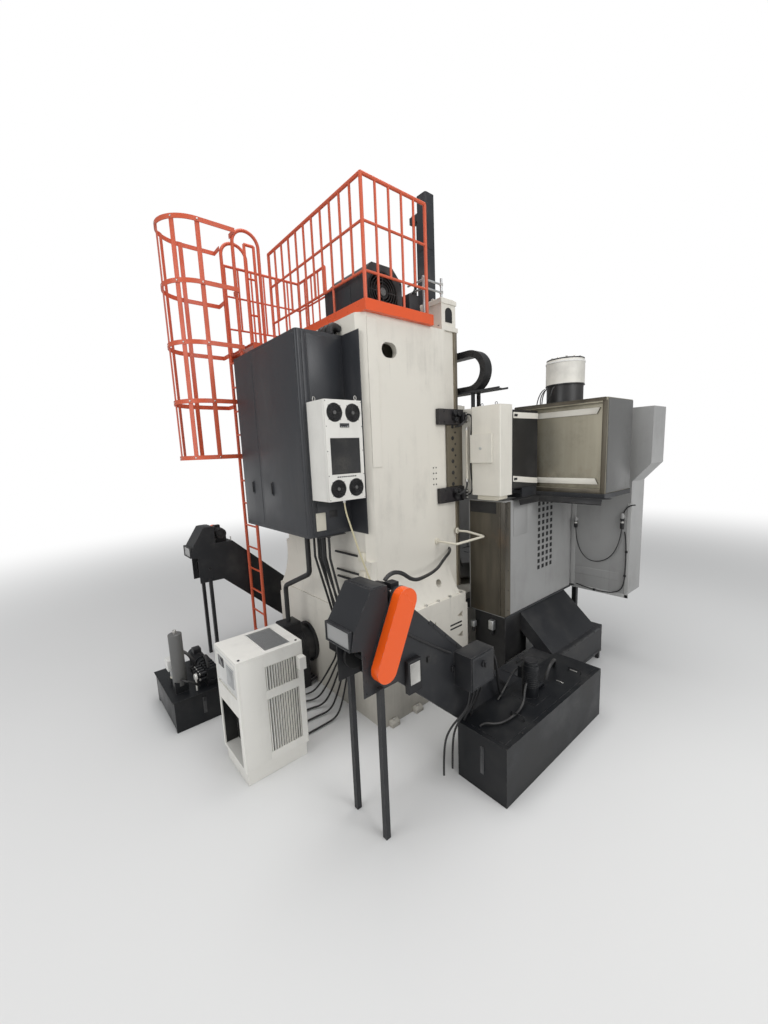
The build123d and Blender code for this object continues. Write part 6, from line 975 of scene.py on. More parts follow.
def dress_conveyors():
    grip_x = 1.68
    run = Vector((0, 0.7313, 0.6821))
    for side, word in ENDS:
        out = (side, 0, 0)
        face = side * 1.89
        # flange strips and their screws along the run, the incline and the head
        strips = [bar((face - side * BITE, *low), (face + side * 0.004, *high))
            for low, high in (((-0.545, 0.392), (1.4, 0.424)), ((-0.545, 0.086), (1.78, 0.116)),
            ((-0.68, -0.015), (0.68, 0.015)))]
        with shaping(strips[2]):
            bpy.ops.transform.rotate(value=INCLINE, orient_axis="X", center_override=(0, 0, 0))
            bpy.ops.transform.translate(value=(0, 2.075, 0.98))
        dressed(joined(strips), f"conveyor_flanges_{word}", "pan_grey", edge=0.001)
        screws(f"conveyor_run_screws_{word}", (face + side * 0.004, -0.48, 0.408), out, 0.007,
            ((12, (0, 0.165, 0)),), 0.005, 6)
        screws(f"conveyor_floor_screws_{word}", (face + side * 0.004, -0.48, 0.101), out, 0.007,
            ((13, (0, 0.18, 0)),), 0.005, 6)
        screws(f"conveyor_incline_screws_{word}", Vector((face + side * 0.004, 2.075, 0.98)) - run * 0.62,
            out, 0.007, ((8, run * 0.177),), 0.005, 6)
        cover(f"conveyor_top_hatch_{word}", "pan_grey", (side * 1.62, 0.75, 0.4295),
            (side * 1.86, 1.25, 0.436), UP, (0.015, 0.002, 0.002), edge=0.003)
        grips = [round_bar((side * grip_x, y, 0.435), (side * grip_x, y, 0.462), 0.005, 12)
            for y in (0.95, 1.05)]
        grips.append(round_bar((side * grip_x, 0.945, 0.462), (side * grip_x, 1.055, 0.462), 0.006, 12))
        dressed(joined(grips), f"conveyor_hatch_grip_{word}", "tool_steel", finish="bolt_black")
        dressed(cut_off(bar((side * 1.6, 2.985, 1.8245), (side * 1.88, 3.085, 1.8295)), (0, 3.08, 1.83),
            (0, 0.8, 0.6)), f"hood_top_plate_{word}", "pan_grey", edge=0.0015)
        screws(f"hood_screws_{word}", (face, 2.985, 1.79), out, 0.006, ((5, (0, 0, -0.085)),), 0.004, 6)
        screws(f"hood_lower_screws_{word}", (face, 3.175, 1.13), out, 0.006, ((4, (0, 0, 0.085)),), 0.004,
            6)
        cover(f"hood_mouth_collar_{word}", "pan_grey", (side * 1.6, 3.262, 1.455),
            (side * 1.88, 3.288, 1.592), REAR, (0.011, 0, -0.012), edge=0.001)
        cover(f"hood_mouth_plate_{word}", "guard_grey", (side * 1.6115, 3.2765, 1.4665),
            (side * 1.8685, 3.2795, 1.5805), REAR, (0.02, 0.001, 0), edge=0)
        for i, y in enumerate((2.755, 2.965)):
            disc(f"chain_tension_bolt_{word}_{i}", "tool_steel", (side * 1.61, y, 1.6),
                (side * 1.61, y, 1.66), 0.008, sides=12, finish="zinc_plate")


def dress_starter():
    """Conveyor control box: door, hinges, isolator and its cables."""
    cable_x = -1.975
    cover("starter_door", "pan_grey", (-2.066, 2.02, 0.84), (-2.0595, 2.29, 1.1), LEFT, (0.006, 0.001, 0),
        (0.012, 0, -0.001), edge=0.002)
    for i, z in enumerate((0.875, 1.045)):
        disc(f"starter_hinge_{i}", "tool_steel", (-2.064, 2.0155, z), (-2.064, 2.0155, z + 0.035), 0.006,
            sides=12, finish="bolt_black")
    disc("starter_isolator", "motor_black", (-2.0665, 2.155, 1.02), (-2.078, 2.155, 1.02), 0.026, LEFT,
        (0.004, 0.002, 0))
    cover("starter_isolator_knob", "motor_black", (-2.092, 2.148, 0.998), (-2.077, 2.162, 1.042), LEFT,
        (0.002, 0.002, 0), edge=0.002)
    for i in range(4):
        y = 2.05 + 0.055 * i
        disc(f"starter_gland_{i}", "motor_black", (cable_x, y, 0.8305), (cable_x, y, 0.808), 0.014, sides=6,
            edge=0.0015)
        hose(f"starter_cable_{i}", [(cable_x, y, 0.815), (cable_x, y, 0.74),
            (-1.94 - 0.01 * i, y + 0.03, 0.62), (-1.915, y + 0.08 + 0.04 * i, 0.5),
            (-1.905, y + 0.1 + 0.05 * i, 0.34), (-1.905, y + 0.1 + 0.05 * i, 0.12)], 0.0085)
    hose("conveyor_loop_cable", [(cable_x, 2.02, 1.06), (cable_x, 1.975, 1.06), (-1.985, 1.9, 0.98),
        (-1.98, 1.84, 0.8), (-1.96, 1.8, 0.62), (-1.95, 1.74, 0.505)], 0.012)
    cover("conveyor_sensor_box", "motor_black", (-1.93, 2.705, 0.985), (-1.8895, 2.835, 1.235), LEFT,
        (0.008, 0.001, 0), edge=0.003)
    cover("conveyor_plain_plate", "tool_steel", (-1.9335, 2.722, 1.055), (-1.93, 2.818, 1.215), LEFT,
        (0.004, 0, -0.0005), finish="brushed_plate", edge=0.001)
    hose("conveyor_feed_cable", [(-0.876, 1.165, 1.585), (-0.94, 1.2, 1.58), (-1.0, 1.4, 1.52),
        (-1.15, 1.67, 1.5), (-1.42, 2.12, 1.585), (-1.66, 2.5, 1.69), (-1.735, 2.7, 1.83),
        (-1.74, 2.82, 1.84), (-1.742, 2.86, 1.8)], 0.016)
    for i, (low, high, way) in enumerate((((-1.075, 0.929, 0.635), (-1.0262, 0.981, 0.7), LEFT),
            ((-1.31, 0.8925, 0.65), (-1.245, 0.94, 0.76), REAR))):
        cover(f"air_unit_{i}", "tool_steel", low, high, way, (0.01, 0.004, 0), finish="galvanised",
            edge=0.003)
        x, y, z0 = (low[0] + high[0]) / 2, (low[1] + high[1]) / 2, low[2]
        disc(f"air_unit_cup_{i}", "chain_black", (x, y, z0 + 0.001), (x, y, z0 - 0.06), 0.019, DOWN,
            (0.005, 0.003, 0), sides=20, finish="bolt_black")
    for i, (y, z) in enumerate(((2.33, 0.98), (2.6, 1.16))):
        cover(f"conveyor_cable_clip_{i}", "motor_black", (-1.906, y - 0.012, z - 0.02),
            (-1.8895, y + 0.012, z + 0.02), LEFT, (0.003, 0.002, 0))


def dress_tank():
    pump_x, pump_y = -2.11, 1.53
    screws("tank_lid_screws", (-2.335, 0.66, 0.4949), UP, 0.006, ((9, (0, 0.1955, 0)),), 0.004)
    fins("pump_fins", "motor_black", (pump_x, pump_y, 0.6), 0.018, 9, 0.0735, UP)
    disc("pump_fan_plate", "motor_black", (pump_x, pump_y, 0.824), (pump_x, pump_y, 0.832), 0.056, UP,
        (0.008, 0.002, -0.002), sides=32)
    hose("tank_hose", [(pump_x, 1.26, 0.53), (pump_x, 1.22, 0.62), (-2.1, 1.1, 0.66), (-2.06, 0.98, 0.6),
        (-2.02, 0.93, 0.498)], 0.016)
    hose("tank_cable", [(-2.03, pump_y, 0.72), (-1.99, pump_y, 0.72), (-1.965, 1.6, 0.66),
        (-1.96, 1.72, 0.55), (-1.955, 1.8, 0.497)], 0.009)
    cover("tank_level_gauge", "pendant_grey", (-2.15, 2.2675, 0.16), (-2.115, 2.2725, 0.4), REAR,
        (0.006, 0, 0.001), finish="screen_glass", edge=0.002)
    hose("tank_lid_hose", [(-2.06, 2.2, 0.497), (-2.075, 2.17, 0.522), (-2.15, 2.11, 0.515),
        (-2.184, 2.003, 0.515), (-2.188, 1.845, 0.515), (-2.166, 1.725, 0.54), (-2.13, 1.66, 0.6),
        (-2.115, 1.6, 0.64)], 0.01)
    for i, y in enumerate((0.871, 1.146)):
        cover(f"tank_lid_hinge_{i}", "tool_steel", (-2.226, y - 0.006, 0.4946), (-2.158, y + 0.006, 0.4985),
            UP, (0.002, 0.0005, 0), finish="zinc_plate", edge=0.001)


def dress_chiller():
    rail_pieces = []
    for x0, x1, y0, y1 in ((-0.775, -0.335, 3.138, 3.152), (-0.775, -0.335, 3.38, 3.394),
            (-0.775, -0.761, 3.15, 3.382), (-0.349, -0.335, 3.15, 3.382)):
        rail_pieces.append(bar((x0, y0, 1.0995), (x1, y1, 1.1015)))
    dressed(joined(rail_pieces), "chiller_grille_rim", "cooler_white", edge=0.0008)
    wire = bar((-0.763, 3.15, 1.0935), (-0.76, 3.382, 1.0965))
    in_rows(wire, (35, (0.0123, 0, 0)))
    cross = bar((-0.765, 3.15, 1.0965), (-0.345, 3.153, 1.0993))
    in_rows(cross, (19, (0, 0.0127, 0)))
    dressed(joined([wire, cross]), "chiller_grille_wires", "tool_steel", finish="galvanised")
    dark = bar((-0.764, 3.149, 1.0852), (-0.346, 3.383, 1.087))
    dressed(stepped(dark, UP, (0.01, 0, 0)), "chiller_coil", "chain_black", finish="filter_mesh")
    cover("chiller_panel", "pendant_grey", (-0.78, 3.6345, 0.8), (-0.325, 3.6515, 1.072), REAR,
        (0.012, 0, -0.003))
    cover("chiller_readout", "chain_black", (-0.52, 3.648, 0.955), (-0.4, 3.6535, 1.04), REAR,
        (0.008, 0, -0.001), finish="screen_glass")
    cover("chiller_switch_plate", "pendant_grey", (-0.73, 3.648, 0.845), (-0.585, 3.6535, 1.01), REAR,
        (0.01, 0, -0.001), finish="galvanised")
    cover("chiller_bay_lining", "chain_black", (-0.765, 3.53, 0.161), (-0.345, 3.5315, 0.614), REAR,
        (0.01, 0, -0.001), finish="plastic_and_painted_shade", edge=0)
    for word, x0, x1 in (("left", -0.7665, -0.7645), ("right", -0.3455, -0.3435)):
        cover(f"chiller_bay_wall_{word}", "chain_black", (x0, 3.5325, 0.161), (x1, 3.64, 0.614),
            (1 if word == "left" else -1, 0, 0), (0.006, 0, 0), finish="plastic_and_painted_shade", edge=0)
    # Dark strips between the louvre slats: painted shade in the gaps
    for word, z0, z1 in (("upper", 0.77, 0.984), ("lower", 0.208, 0.693)):
        dark = bar((-0.8085, 3.133, z0 + 0.004), (-0.8055, 3.1385, z1 - 0.004))
        in_rows(stepped(dark, LEFT, (0.001, 0, 0)), (12, (0, 0.295 / 12.6, 0)))
        dressed(dark, f"chiller_louvre_gap_shade_{word}", "chain_black", finish="plastic_and_painted_shade")
    cover("chiller_side_seam", "cooler_white", (-0.8125, 3.425, 0.145), (-0.8095, 3.632, 1.085), LEFT,
        (0.008, 0, 0.0008), edge=0.0008)
    for i, y in enumerate((3.1, 3.61)):
        disc(f"chiller_lid_cap_{i}", "motor_black", (-0.77, y, 1.0995), (-0.77, y, 1.106), 0.01, UP,
            (0.003, 0.001, 0), sides=20, edge=0.0008)


def dress_hydraulics():
    rear_row_y, pump_y = 3.78, 3.49
    for i in range(4):
        x = 0.441 + 0.06 * i
        for k, z in enumerate((0.425, 0.485)):
            disc(f"valve_coil_cap_{i}_{k}", "tool_steel", (x, 3.6095, z), (x, 3.616, z), 0.0165, REAR,
                (0.003, 0.001, 0), (0.004, 0, 0.006), sides=20, finish="zinc_plate", edge=0.0008)
        cover(f"valve_plug_{i}", "chain_black", (x - 0.016, 3.625, 0.455), (x + 0.016, 3.655, 0.515), UP,
            (0.004, 0.002, 0), edge=0.002)
        hose(f"valve_hose_{i}", [(x, 3.43, 0.36), (x, 3.385, 0.36), (x - 0.01, 3.33, 0.33),
            (x - 0.03, 3.3, 0.22), (x - 0.05, 3.28, 0.1), (x - 0.09, 3.2, 0.02), (x - 0.14, 3.02, 0.018),
            (x - 0.2, 2.72, 0.018), (x - 0.25, 2.45, 0.025), (x - 0.26, 2.384, 0.06)], 0.011)
        disc(f"valve_nut_{i}", "tool_steel", (x, 3.4305, 0.36), (x, 3.402, 0.36), 0.016, sides=6,
            finish="zinc_plate")
    disc("filler_cap_dome", "pendant_grey", (0.76, rear_row_y, 0.3995), (0.76, rear_row_y, 0.408), 0.05, UP,
        (0.01, 0.003, 0), sides=36, finish="tube_cream", edge=0.0015)
    disc("accumulator_valve", "tool_steel", (0.55, rear_row_y, 0.9495), (0.55, rear_row_y, 0.992), 0.018,
        UP, (0.003, 0.002, 0), sides=20, finish="zinc_plate")
    disc("accumulator_shell", "guard_grey", (0.55, rear_row_y, 0.405), (0.55, rear_row_y, 0.952), 0.0652,
        UP, (0.01, 0.006, 0), sides=40, finish="shade_grey", edge=0.002)
    cover("return_manifold", "drum_white", (0.66, 3.76, 0.52), (0.8, 3.86, 0.63), UP, (0.012, 0.003, 0),
        edge=0.004)
    legs = [round_bar((x, 3.81, 0.3345), (x, 3.81, 0.522), 0.014, 16) for x in (0.69, 0.77)]
    dressed(joined(legs), "return_manifold_legs", "tool_steel", finish="galvanised")
    fins("pump_motor_fins", "motor_black", (0.845, pump_y, 0.425), 0.02, 10, 0.0735, RIGHT)
    disc("pump_motor_fan_plate", "motor_black", (1.1195, pump_y, 0.425), (1.128, pump_y, 0.425), 0.058,
        RIGHT, (0.008, 0.002, -0.002), sides=32)
    cover("pump_motor_box", "motor_black", (0.93, 3.45, 0.49), (1.03, 3.53, 0.545), UP,
        (0.008, 0.001, 0.002), edge=0.003)
    for i, (x, y) in enumerate(((0.66, 3.72), (0.42, 3.66))):
        stalk = round_bar((x, y, 0.3345), (x, y, 0.46), 0.009, 12)
        body = round_bar((x, y - 0.012, 0.485), (x, y + 0.012, 0.485), 0.032, 32)
        stepped(body, REAR, (0.004, 0.001, 0), (0.001, 0, -0.002))
        dressed(joined([stalk, body]), f"pressure_gauge_{i}", "pendant_grey", finish="gauge_face",
            edge=0.001)
    disc("return_filter", "motor_black", (0.9, 3.75, 0.3345), (0.9, 3.75, 0.5), 0.045, UP, (0.01, 0.006, 0),
        (0.012, 0, 0.014), sides=36, edge=0.003)
    hose("return_hose", [(0.9, 3.75, 0.52), (0.9, 3.75, 0.6), (0.82, 3.7, 0.66), (0.7, 3.62, 0.6),
        (0.665, 3.58, 0.45), (0.655, 3.56, 0.395)], 0.016)
    hose("pressure_hose", [(0.7, pump_y, 0.47), (0.67, pump_y, 0.53), (0.6, 3.5, 0.6), (0.52, 3.52, 0.62),
        (0.47, 3.52, 0.56), (0.46, 3.52, 0.517)], 0.014)
    hose("accumulator_hose", [(0.48, rear_row_y, 0.475), (0.42, 3.77, 0.48), (0.4, 3.7, 0.45),
        (0.42, 3.63, 0.375)], 0.012)
    cover("oil_level_gauge", "pendant_grey", (0.3465, 3.6, 0.1), (0.3505, 3.635, 0.28), LEFT,
        (0.006, 0, 0.001), finish="screen_glass")
    screws("tank_top_screws", (0.345, 3.345, 0.335), UP, 0.006, ((8, (0.1155, 0, 0)), (2, (0, 0.561, 0))),
        0.004, 6)


def dress_terminal_box():
    cover("terminal_lid", "motor_black", (-0.612, 2.4895, 0.65), (-0.328, 2.497, 0.89), REAR,
        (0.008, 0.001, 0), (0.01, 0, -0.001), edge=0.003)
    screws("terminal_screws", (-0.6, 2.497, 0.662), REAR, 0.005, ((2, (0.26, 0, 0)), (2, (0, 0, 0.216))),
        0.004)
    for i in range(5):
        x = -0.58 + 0.055 * i
        hose(f"terminal_lead_{i}", [(x, 2.43, 0.641), (x, 2.43, 0.56), (x + 0.02 * i, 2.46, 0.42),
            (x + 0.05 * i, 2.52, 0.2), (x + 0.08 * i, 2.6, 0.03), (x + 0.12 * i, 2.76, 0.016),
            (x + 0.12 * i, 3.0, 0.016)], 0.01)


# Doors, guard front and pendant

def dress_doors():
    for side, word in ENDS:
        body = f"front_door_{word}"
        low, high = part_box(body)
        middle, face = (low[0] + high[0]) / 2, -0.96
        cover(f"{body}_glass", "chain_black", (middle - 0.2595, face + 0.0005, 1.5005),
            (middle + 0.2595, face + 0.0045, 2.2995), finish="window_glass", edge=0.0012, body=body)
        rims = []
        for x0, x1, z0, z1 in ((-0.282, 0.282, 2.292, 2.322), (-0.282, 0.282, 1.478, 1.508),
                (-0.282, -0.252, 1.5, 2.3), (0.252, 0.282, 1.5, 2.3)):
            rims.append(stepped(bar((middle + x0, face - 0.006, z0), (middle + x1, face + BITE, z1)), FRONT,
                (0.004, 0.001, 0)))
        dressed(joined(rims), f"{body}_rubber_frame", "chain_black", edge=0.001, body=body)
        screws(f"{body}_screws", (middle - 0.267, face - 0.006, 1.52), FRONT, 0.005,
            ((2, (0.534, 0, 0)), (7, (0, 0, 0.127))), 0.003, body=body)
        for i, z in enumerate((1.06, 2.6)):
            cover(f"{body}_panel_{i}", "guard_grey", (middle - 0.38, face - 0.0025, z - 0.12),
                (middle + 0.38, face + BITE, z + 0.12), FRONT, (0.014, 0.001, 0), edge=0.0008, body=body)
        cover(f"{body}_closing_seal", "chain_black", (side * 0.004 - 0.0035, face - 0.004, 0.9),
            (side * 0.004 + 0.0035, face + BITE, 2.93), edge=0.001, body=body)


def dress_guard_front():
    panel_face, panel_back = -1.0085, -1.0044
    for side, word in ENDS:
        x0, x1 = sorted((side * 1.045, side * 2.045))
        cover(f"guard_front_panel_{word}", "guard_grey", (x0, panel_face, 1.0), (x1, panel_back, 2.16),
            FRONT, (0.02, 0.001, 0), (0.006, 0, -0.001), edge=0.001)
        screws(f"guard_front_screws_{word}", (x0 + 0.01, panel_face, 1.01), FRONT, 0.005,
            ((6, (0.196, 0, 0)), (2, (0, 0, 1.14))), 0.003)
        screws(f"guard_side_screws_{word}", (x0 + 0.01, panel_face, 1.2), FRONT, 0.005,
            ((2, (0.98, 0, 0)), (5, (0, 0, 0.19))), 0.003)
        cover(f"wing_rear_panel_{word}", "guard_grey", (x0, -0.6056, 1.02), (x1, -0.6025, 1.12), REAR,
            (0.01, 0.0005, 0), edge=0.0008)
        cover(f"doorway_seal_{word}", "chain_black", (side * 0.953 - 0.005, -1.008, 0.9),
            (side * 0.953 + 0.005, panel_back, 2.955), edge=0.001)
    cover("header_panel", "guard_grey", (-0.92, panel_face, 2.975), (0.92, panel_back, 3.062), FRONT,
        (0.012, 0.001, 0), edge=0.001)
    screws("header_screws", (-0.9, panel_face, 2.984), FRONT, 0.005,
        ((9, (0.225, 0, 0)), (2, (0, 0, 0.068))), 0.003)
    cover("door_track_lip", "tool_steel", (-2.05, -0.913, 2.96), (2.05, -0.905, 2.972), finish="zinc_plate",
        edge=0.001)


def dress_pendant():
    body, face = "operator_pendant", -1.36
    cover("pendant_screen", "chain_black", (1.331, face + 0.0005, 1.551), (1.669, face + 0.0045, 1.819),
        FRONT, (0.012, 0, -0.0012), finish="screen_glass", edge=0.0008, body=body)
    key = bar((1.34, face - 0.006, 1.478), (1.3585, face + BITE, 1.4955))
    stepped(key, FRONT, (0.002, 0.001, 0))
    dressed(in_rows(key, (9, (0.0255, 0, 0)), (6, (0, 0, -0.0245))), "pendant_keys", "pendant_grey",
        finish="tube_cream", edge=0.001, segments=1, body=body)
    dressed(in_rows(stepped(bar((1.345, face - 0.0045, 1.517), (1.372, face + BITE, 1.531)), FRONT,
        (0.002, 0.001, 0)), (8, (0.0405, 0, 0))), "pendant_soft_keys", "pendant_grey", edge=0.001,
        segments=1, body=body)
    for i, (x, z) in enumerate(((1.6, 1.47), (1.652, 1.47), (1.652, 1.415))):
        disc(f"pendant_dial_{i}", "motor_black", (x, face + BITE, z), (x, face - 0.014, z), 0.017, FRONT,
            (0.003, 0.002, 0), (0.004, 0, -0.002), sides=24, body=body)
        cover(f"pendant_dial_mark_{i}", "pendant_grey", (x - 0.0012, face - 0.017, z + 0.002),
            (x + 0.0012, face - 0.0135, z + 0.014), edge=0, body=body)
    dressed(wire_ring((1.62, face - 0.0035, 1.34), FRONT, 0.031, 0.0045, 40, 8), "stop_guard_ring",
        "pendant_grey", finish="guard_wire", body=body)
    for i, x in enumerate((1.288, 1.712)):
        grip = round_bar((x, -1.345, 1.33), (x, -1.345, 1.77), 0.011, 16)
        feet = [bar((x, -1.353, z), (1.301 if x < 1.5 else 1.699, -1.337, z + 0.02))
            for z in (1.345, 1.735)]
        dressed(joined([grip] + feet), f"pendant_grip_{i}", "motor_black", edge=0.0015, body=body)
    cover("pendant_rear_lid", "pendant_grey", (1.33, -1.2405, 1.29), (1.67, -1.235, 1.81), REAR,
        (0.01, 0.001, 0), (0.012, 0, -0.001), body=body, edge=0.003)
    screws("pendant_rear_screws", (1.342, -1.236, 1.302), REAR, 0.004,
        ((2, (0.316, 0, 0)), (3, (0, 0, 0.248))), 0.003, body=body)
    for i in range(8):
        cover(f"pendant_vent_{i}", "chain_black", (1.42, -1.2375, 1.35 + 0.018 * i),
            (1.58, -1.2345, 1.356 + 0.018 * i), finish="plastic_and_painted_shade", edge=0, body=body)
    arm_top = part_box("operator_pendant")[1][2]
    disc("pendant_pivot_cap", "motor_black", (1.5, -1.3, arm_top - BITE), (1.5, -1.3, arm_top + 0.004),
        0.02, UP, (0.004, 0.001, 0), sides=24, body=body)


# Table, jaws, saddle, ram and crossrail drive

def dress_table():
    for i in range(4):
        body = f"jaw_{i + 1}"
        low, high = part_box(body)
        centre = Vector(((low[0] + high[0]) / 2, (low[1] + high[1]) / 2, high[2]))
        out = Vector((centre.x, centre.y, 0)).normalized()
        across = Vector((-out.y, out.x, 0))
        for k, reach in enumerate((0.52, 0.556)):
            at = out * reach + Vector((0, 0, high[2]))
            ring = round_bar(at - Vector((0, 0, BITE)), at + Vector((0, 0, 0.002)), 0.0155, 24)
            socket = round_bar(at + Vector((0, 0, 0.0014)), at + Vector((0, 0, 0.012)), 0.0125, 24)
            stepped(socket, UP, (0.003, 0.001, 0), (0.003, 0, -0.006))
            dressed(joined([ring, socket]), f"jaw_bolt_{i + 1}_{k}", "tool_steel", finish="bolt_black",
                body=body)
        face = out * 0.33 + Vector((0, 0, 1.232))
        for k in range(5):
            groove = face + Vector((0, 0, 0.008 * k - 0.012)) - out * 0.0012
            disc(f"jaw_serration_{i + 1}_{k}", "tool_steel", groove - across * 0.055, groove
                + across * 0.055, 0.0022, sides=8, edge=0, body=body)
    for k in range(8):
        turn = pi / 8 + k * pi / 4
        at = Vector((cos(turn), sin(turn), 0)) * 0.612 + Vector((0, 0, 1.2))
        disc(f"table_plug_{k}", "cast_grey", at - Vector((0, 0, BITE)), at + Vector((0, 0, 0.0025)), 0.02,
            UP, (0.004, 0.0005, 0), (0.007, 0, -0.0015), finish="tool_steel", edge=0, body="table")


def dress_saddle():
    body = "saddle_unit"
    cover("saddle_front_cover", "casting_white", (0.035, -0.2115, 2.24), (0.365, -0.2044, 3.2), FRONT,
        (0.016, 0.002, 0), (0.01, 0, -0.0015), body=body, edge=0.003)
    screws("saddle_cover_screws", (0.045, -0.2115, 2.252), FRONT, 0.006,
        ((2, (0.31, 0, 0)), (6, (0, 0, 0.187))), 0.004, body=body)
    for word, x0, x1 in (("left", -0.087, -0.0796), ("right", 0.4796, 0.487)):
        out = -1 if word == "left" else 1
        for i, z in enumerate((2.215, 2.955)):
            cover(f"way_wiper_{word}_{i}", "chain_black", (x0, 0.405, z), (x1, 0.497, z + 0.16),
                (out, 0, 0), (0.01, 0.001, 0), edge=0.001, body=body)
        screws(f"saddle_side_screws_{word}", (x0 if out < 0 else x1, 0.43, 2.24), (out, 0, 0), 0.006,
            ((2, (0, 0.04, 0)), (2, (0, 0, 0.11))), 0.004, body=body)
        face = -0.08 if out < 0 else 0.48
        cover(f"saddle_side_plate_{word}", "casting_white", (face, 0.02, 2.45),
            (face + out * 0.004, 0.34, 2.9), (out, 0, 0), (0.012, 0.0008, 0), edge=0.001, body=body)
    for word, z0, z1, way in (("top", 3.2996, 3.318, 1), ("bottom", 2.132, 2.1504, -1)):
        strips = [bar((0.2 + x0, y0, z0), (0.2 + x1, y1, z1))
            for x0, x1, y0, y1 in ((-0.192, -0.1525, -0.192, 0.192), (0.1525, 0.192, -0.192, 0.192),
            (-0.153, 0.153, -0.192, -0.1525), (-0.153, 0.153, 0.1525, 0.192))]
        dressed(joined(strips), f"ram_wiper_{word}", "chain_black", edge=0.0015, body=body)
        screws(f"ram_wiper_screws_{word}", (0.028, -0.172, z1 if way > 0 else z0), (0, 0, way), 0.006,
            ((5, (0.086, 0, 0)), (2, (0, 0.344, 0))), 0.004, body=body)
    cover("oil_distributor", "motor_black", (0.42, -0.1, 3.2996), (0.472, 0.06, 3.37), UP,
        (0.006, 0.002, 0), edge=0.002, body=body)
    for i in range(4):
        y = -0.08 + 0.04 * i
        hose(f"oil_line_{i}", [(0.446, y, 3.368), (0.446, y, 3.4), (0.462, y, 3.405), (0.487, y, 3.38),
            (0.492, y + 0.02 * i, 3.25), (0.49, 0.3 + 0.02 * i, 3.13), (0.4865, 0.42, 3.1)], 0.004,
            body=body)


def dress_tower():
    rod_y = 0.36
    body, side, rear = "saddle_unit", 0.03, 0.445
    for i in range(4):
        z0 = 3.42 + 0.62 * i
        cover(f"tower_panel_left_{i}", "dark_paint", (side - 0.0035, 0.305, z0),
            (side + BITE, 0.415, z0 + 0.54), LEFT, (0.006, 0.0008, 0), edge=0.0008, body=body)
        cover(f"tower_panel_rear_{i}", "dark_paint", (0.055, rear - BITE, z0),
            (0.175, rear + 0.0035, z0 + 0.54), REAR, (0.006, 0.0008, 0), edge=0.0008, body=body)
        screws(f"tower_screws_rear_{i}", (0.062, rear + 0.0035, z0 + 0.01), REAR, 0.004,
            ((2, (0.106, 0, 0)), (3, (0, 0, 0.26))), 0.003, body=body)
        screws(f"tower_screws_left_{i}", (side - 0.0035, 0.312, z0 + 0.01), LEFT, 0.004,
            ((2, (0, 0.096, 0)), (3, (0, 0, 0.26))), 0.003, body=body)
    for i, x in enumerate((0.26, 0.336)):
        disc(f"guide_rod_nut_{i}", "tool_steel", (x, rod_y, 5.7795), (x, rod_y, 5.803), 0.03, UP,
            (0.006, 0.003, 0), sides=6, finish="zinc_plate", edge=0.0015, body=body)
        disc(f"guide_rod_seal_{i}", "chain_black", (x, rod_y, 3.3245), (x, rod_y, 3.352), 0.034, UP,
            (0.006, 0.003, 0), sides=32, edge=0.0015, body=body)
    cover("tower_top_cap", "dark_paint", (0.045, 0.29, 5.935), (0.185, 0.43, 5.9499), UP, (0.008, 0, 0),
        edge=0.002, body=body)
    hose("tower_cable", [(0.205, 0.4, 3.9), (0.225, 0.405, 3.9), (0.235, 0.41, 3.84), (0.238, 0.415, 3.6),
        (0.238, 0.415, 3.4), (0.236, 0.415, 3.328)], 0.01, body=body)
    ram = "ram_unit"
    cover("ram_top_plate", "tool_steel", (0.06, -0.14, 4.2495), (0.34, 0.14, 4.262), UP, (0.01, 0.003, 0),
        (0.05, 0, 0.004), edge=0.002, body=ram)
    screws("ram_top_screws", (0.078, -0.122, 4.2645), UP, 0.008, ((4, (0.0813, 0, 0)), (2, (0, 0.244, 0))),
        0.006, body=ram)
    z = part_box("tool_holder")[1][2] - 0.075
    screws("holder_clamp_screws_front", (0.14, -0.06, z), FRONT, 0.011, ((3, (0.06, 0, 0)),), 0.01,
        body=ram)
    screws("holder_clamp_screws_rear", (0.14, 0.06, z), REAR, 0.011, ((3, (0.06, 0, 0)),), 0.01, body=ram)
    for i in range(2):
        disc(f"coolant_nozzle_{i}", "tool_steel", (0.2 + 0.05 * (2 * i - 1), -0.0595, z - 0.06),
            (0.2 + 0.05 * (2 * i - 1), -0.08, z - 0.075), 0.007, sides=16, finish="zinc_plate", body=ram)


def dress_drive():
    """Cooling ribs, cap screws and cable of the traverse motor."""
    low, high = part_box("x_servo_motor")
    y, z = (low[1] + high[1]) / 2, 2.665
    half = (high[1] - low[1]) / 2
    for word, way in (("front", -1), ("rear", 1)):
        rib = bar((low[0] + 0.07, y + way * (half + 0.0035) - 0.004, z - 0.05),
            (low[0] + 0.25, y + way * (half + 0.0035) + 0.004, z - 0.044))
        in_rows(rib, (8, (0, 0, 0.0134)))
        dressed(rib, f"drive_ribs_{word}", "motor_black", edge=0.001, segments=1, body=RAIL)
    screws("drive_cap_screws", (high[0], y - 0.035, z - 0.035), RIGHT, 0.004,
        ((2, (0, 0.07, 0)), (2, (0, 0, 0.07))), 0.003, body=RAIL)
    top = high[2]
    hose("drive_cable", [(low[0] + 0.2, y, top - 0.002), (low[0] + 0.2, y, top + 0.05),
        (low[0] + 0.15, y + 0.02, top + 0.09), (1.02, 0.74, top + 0.2), (1.0, 0.8, 3.29),
        (0.98, 0.82, 3.31)], 0.011, body=RAIL)


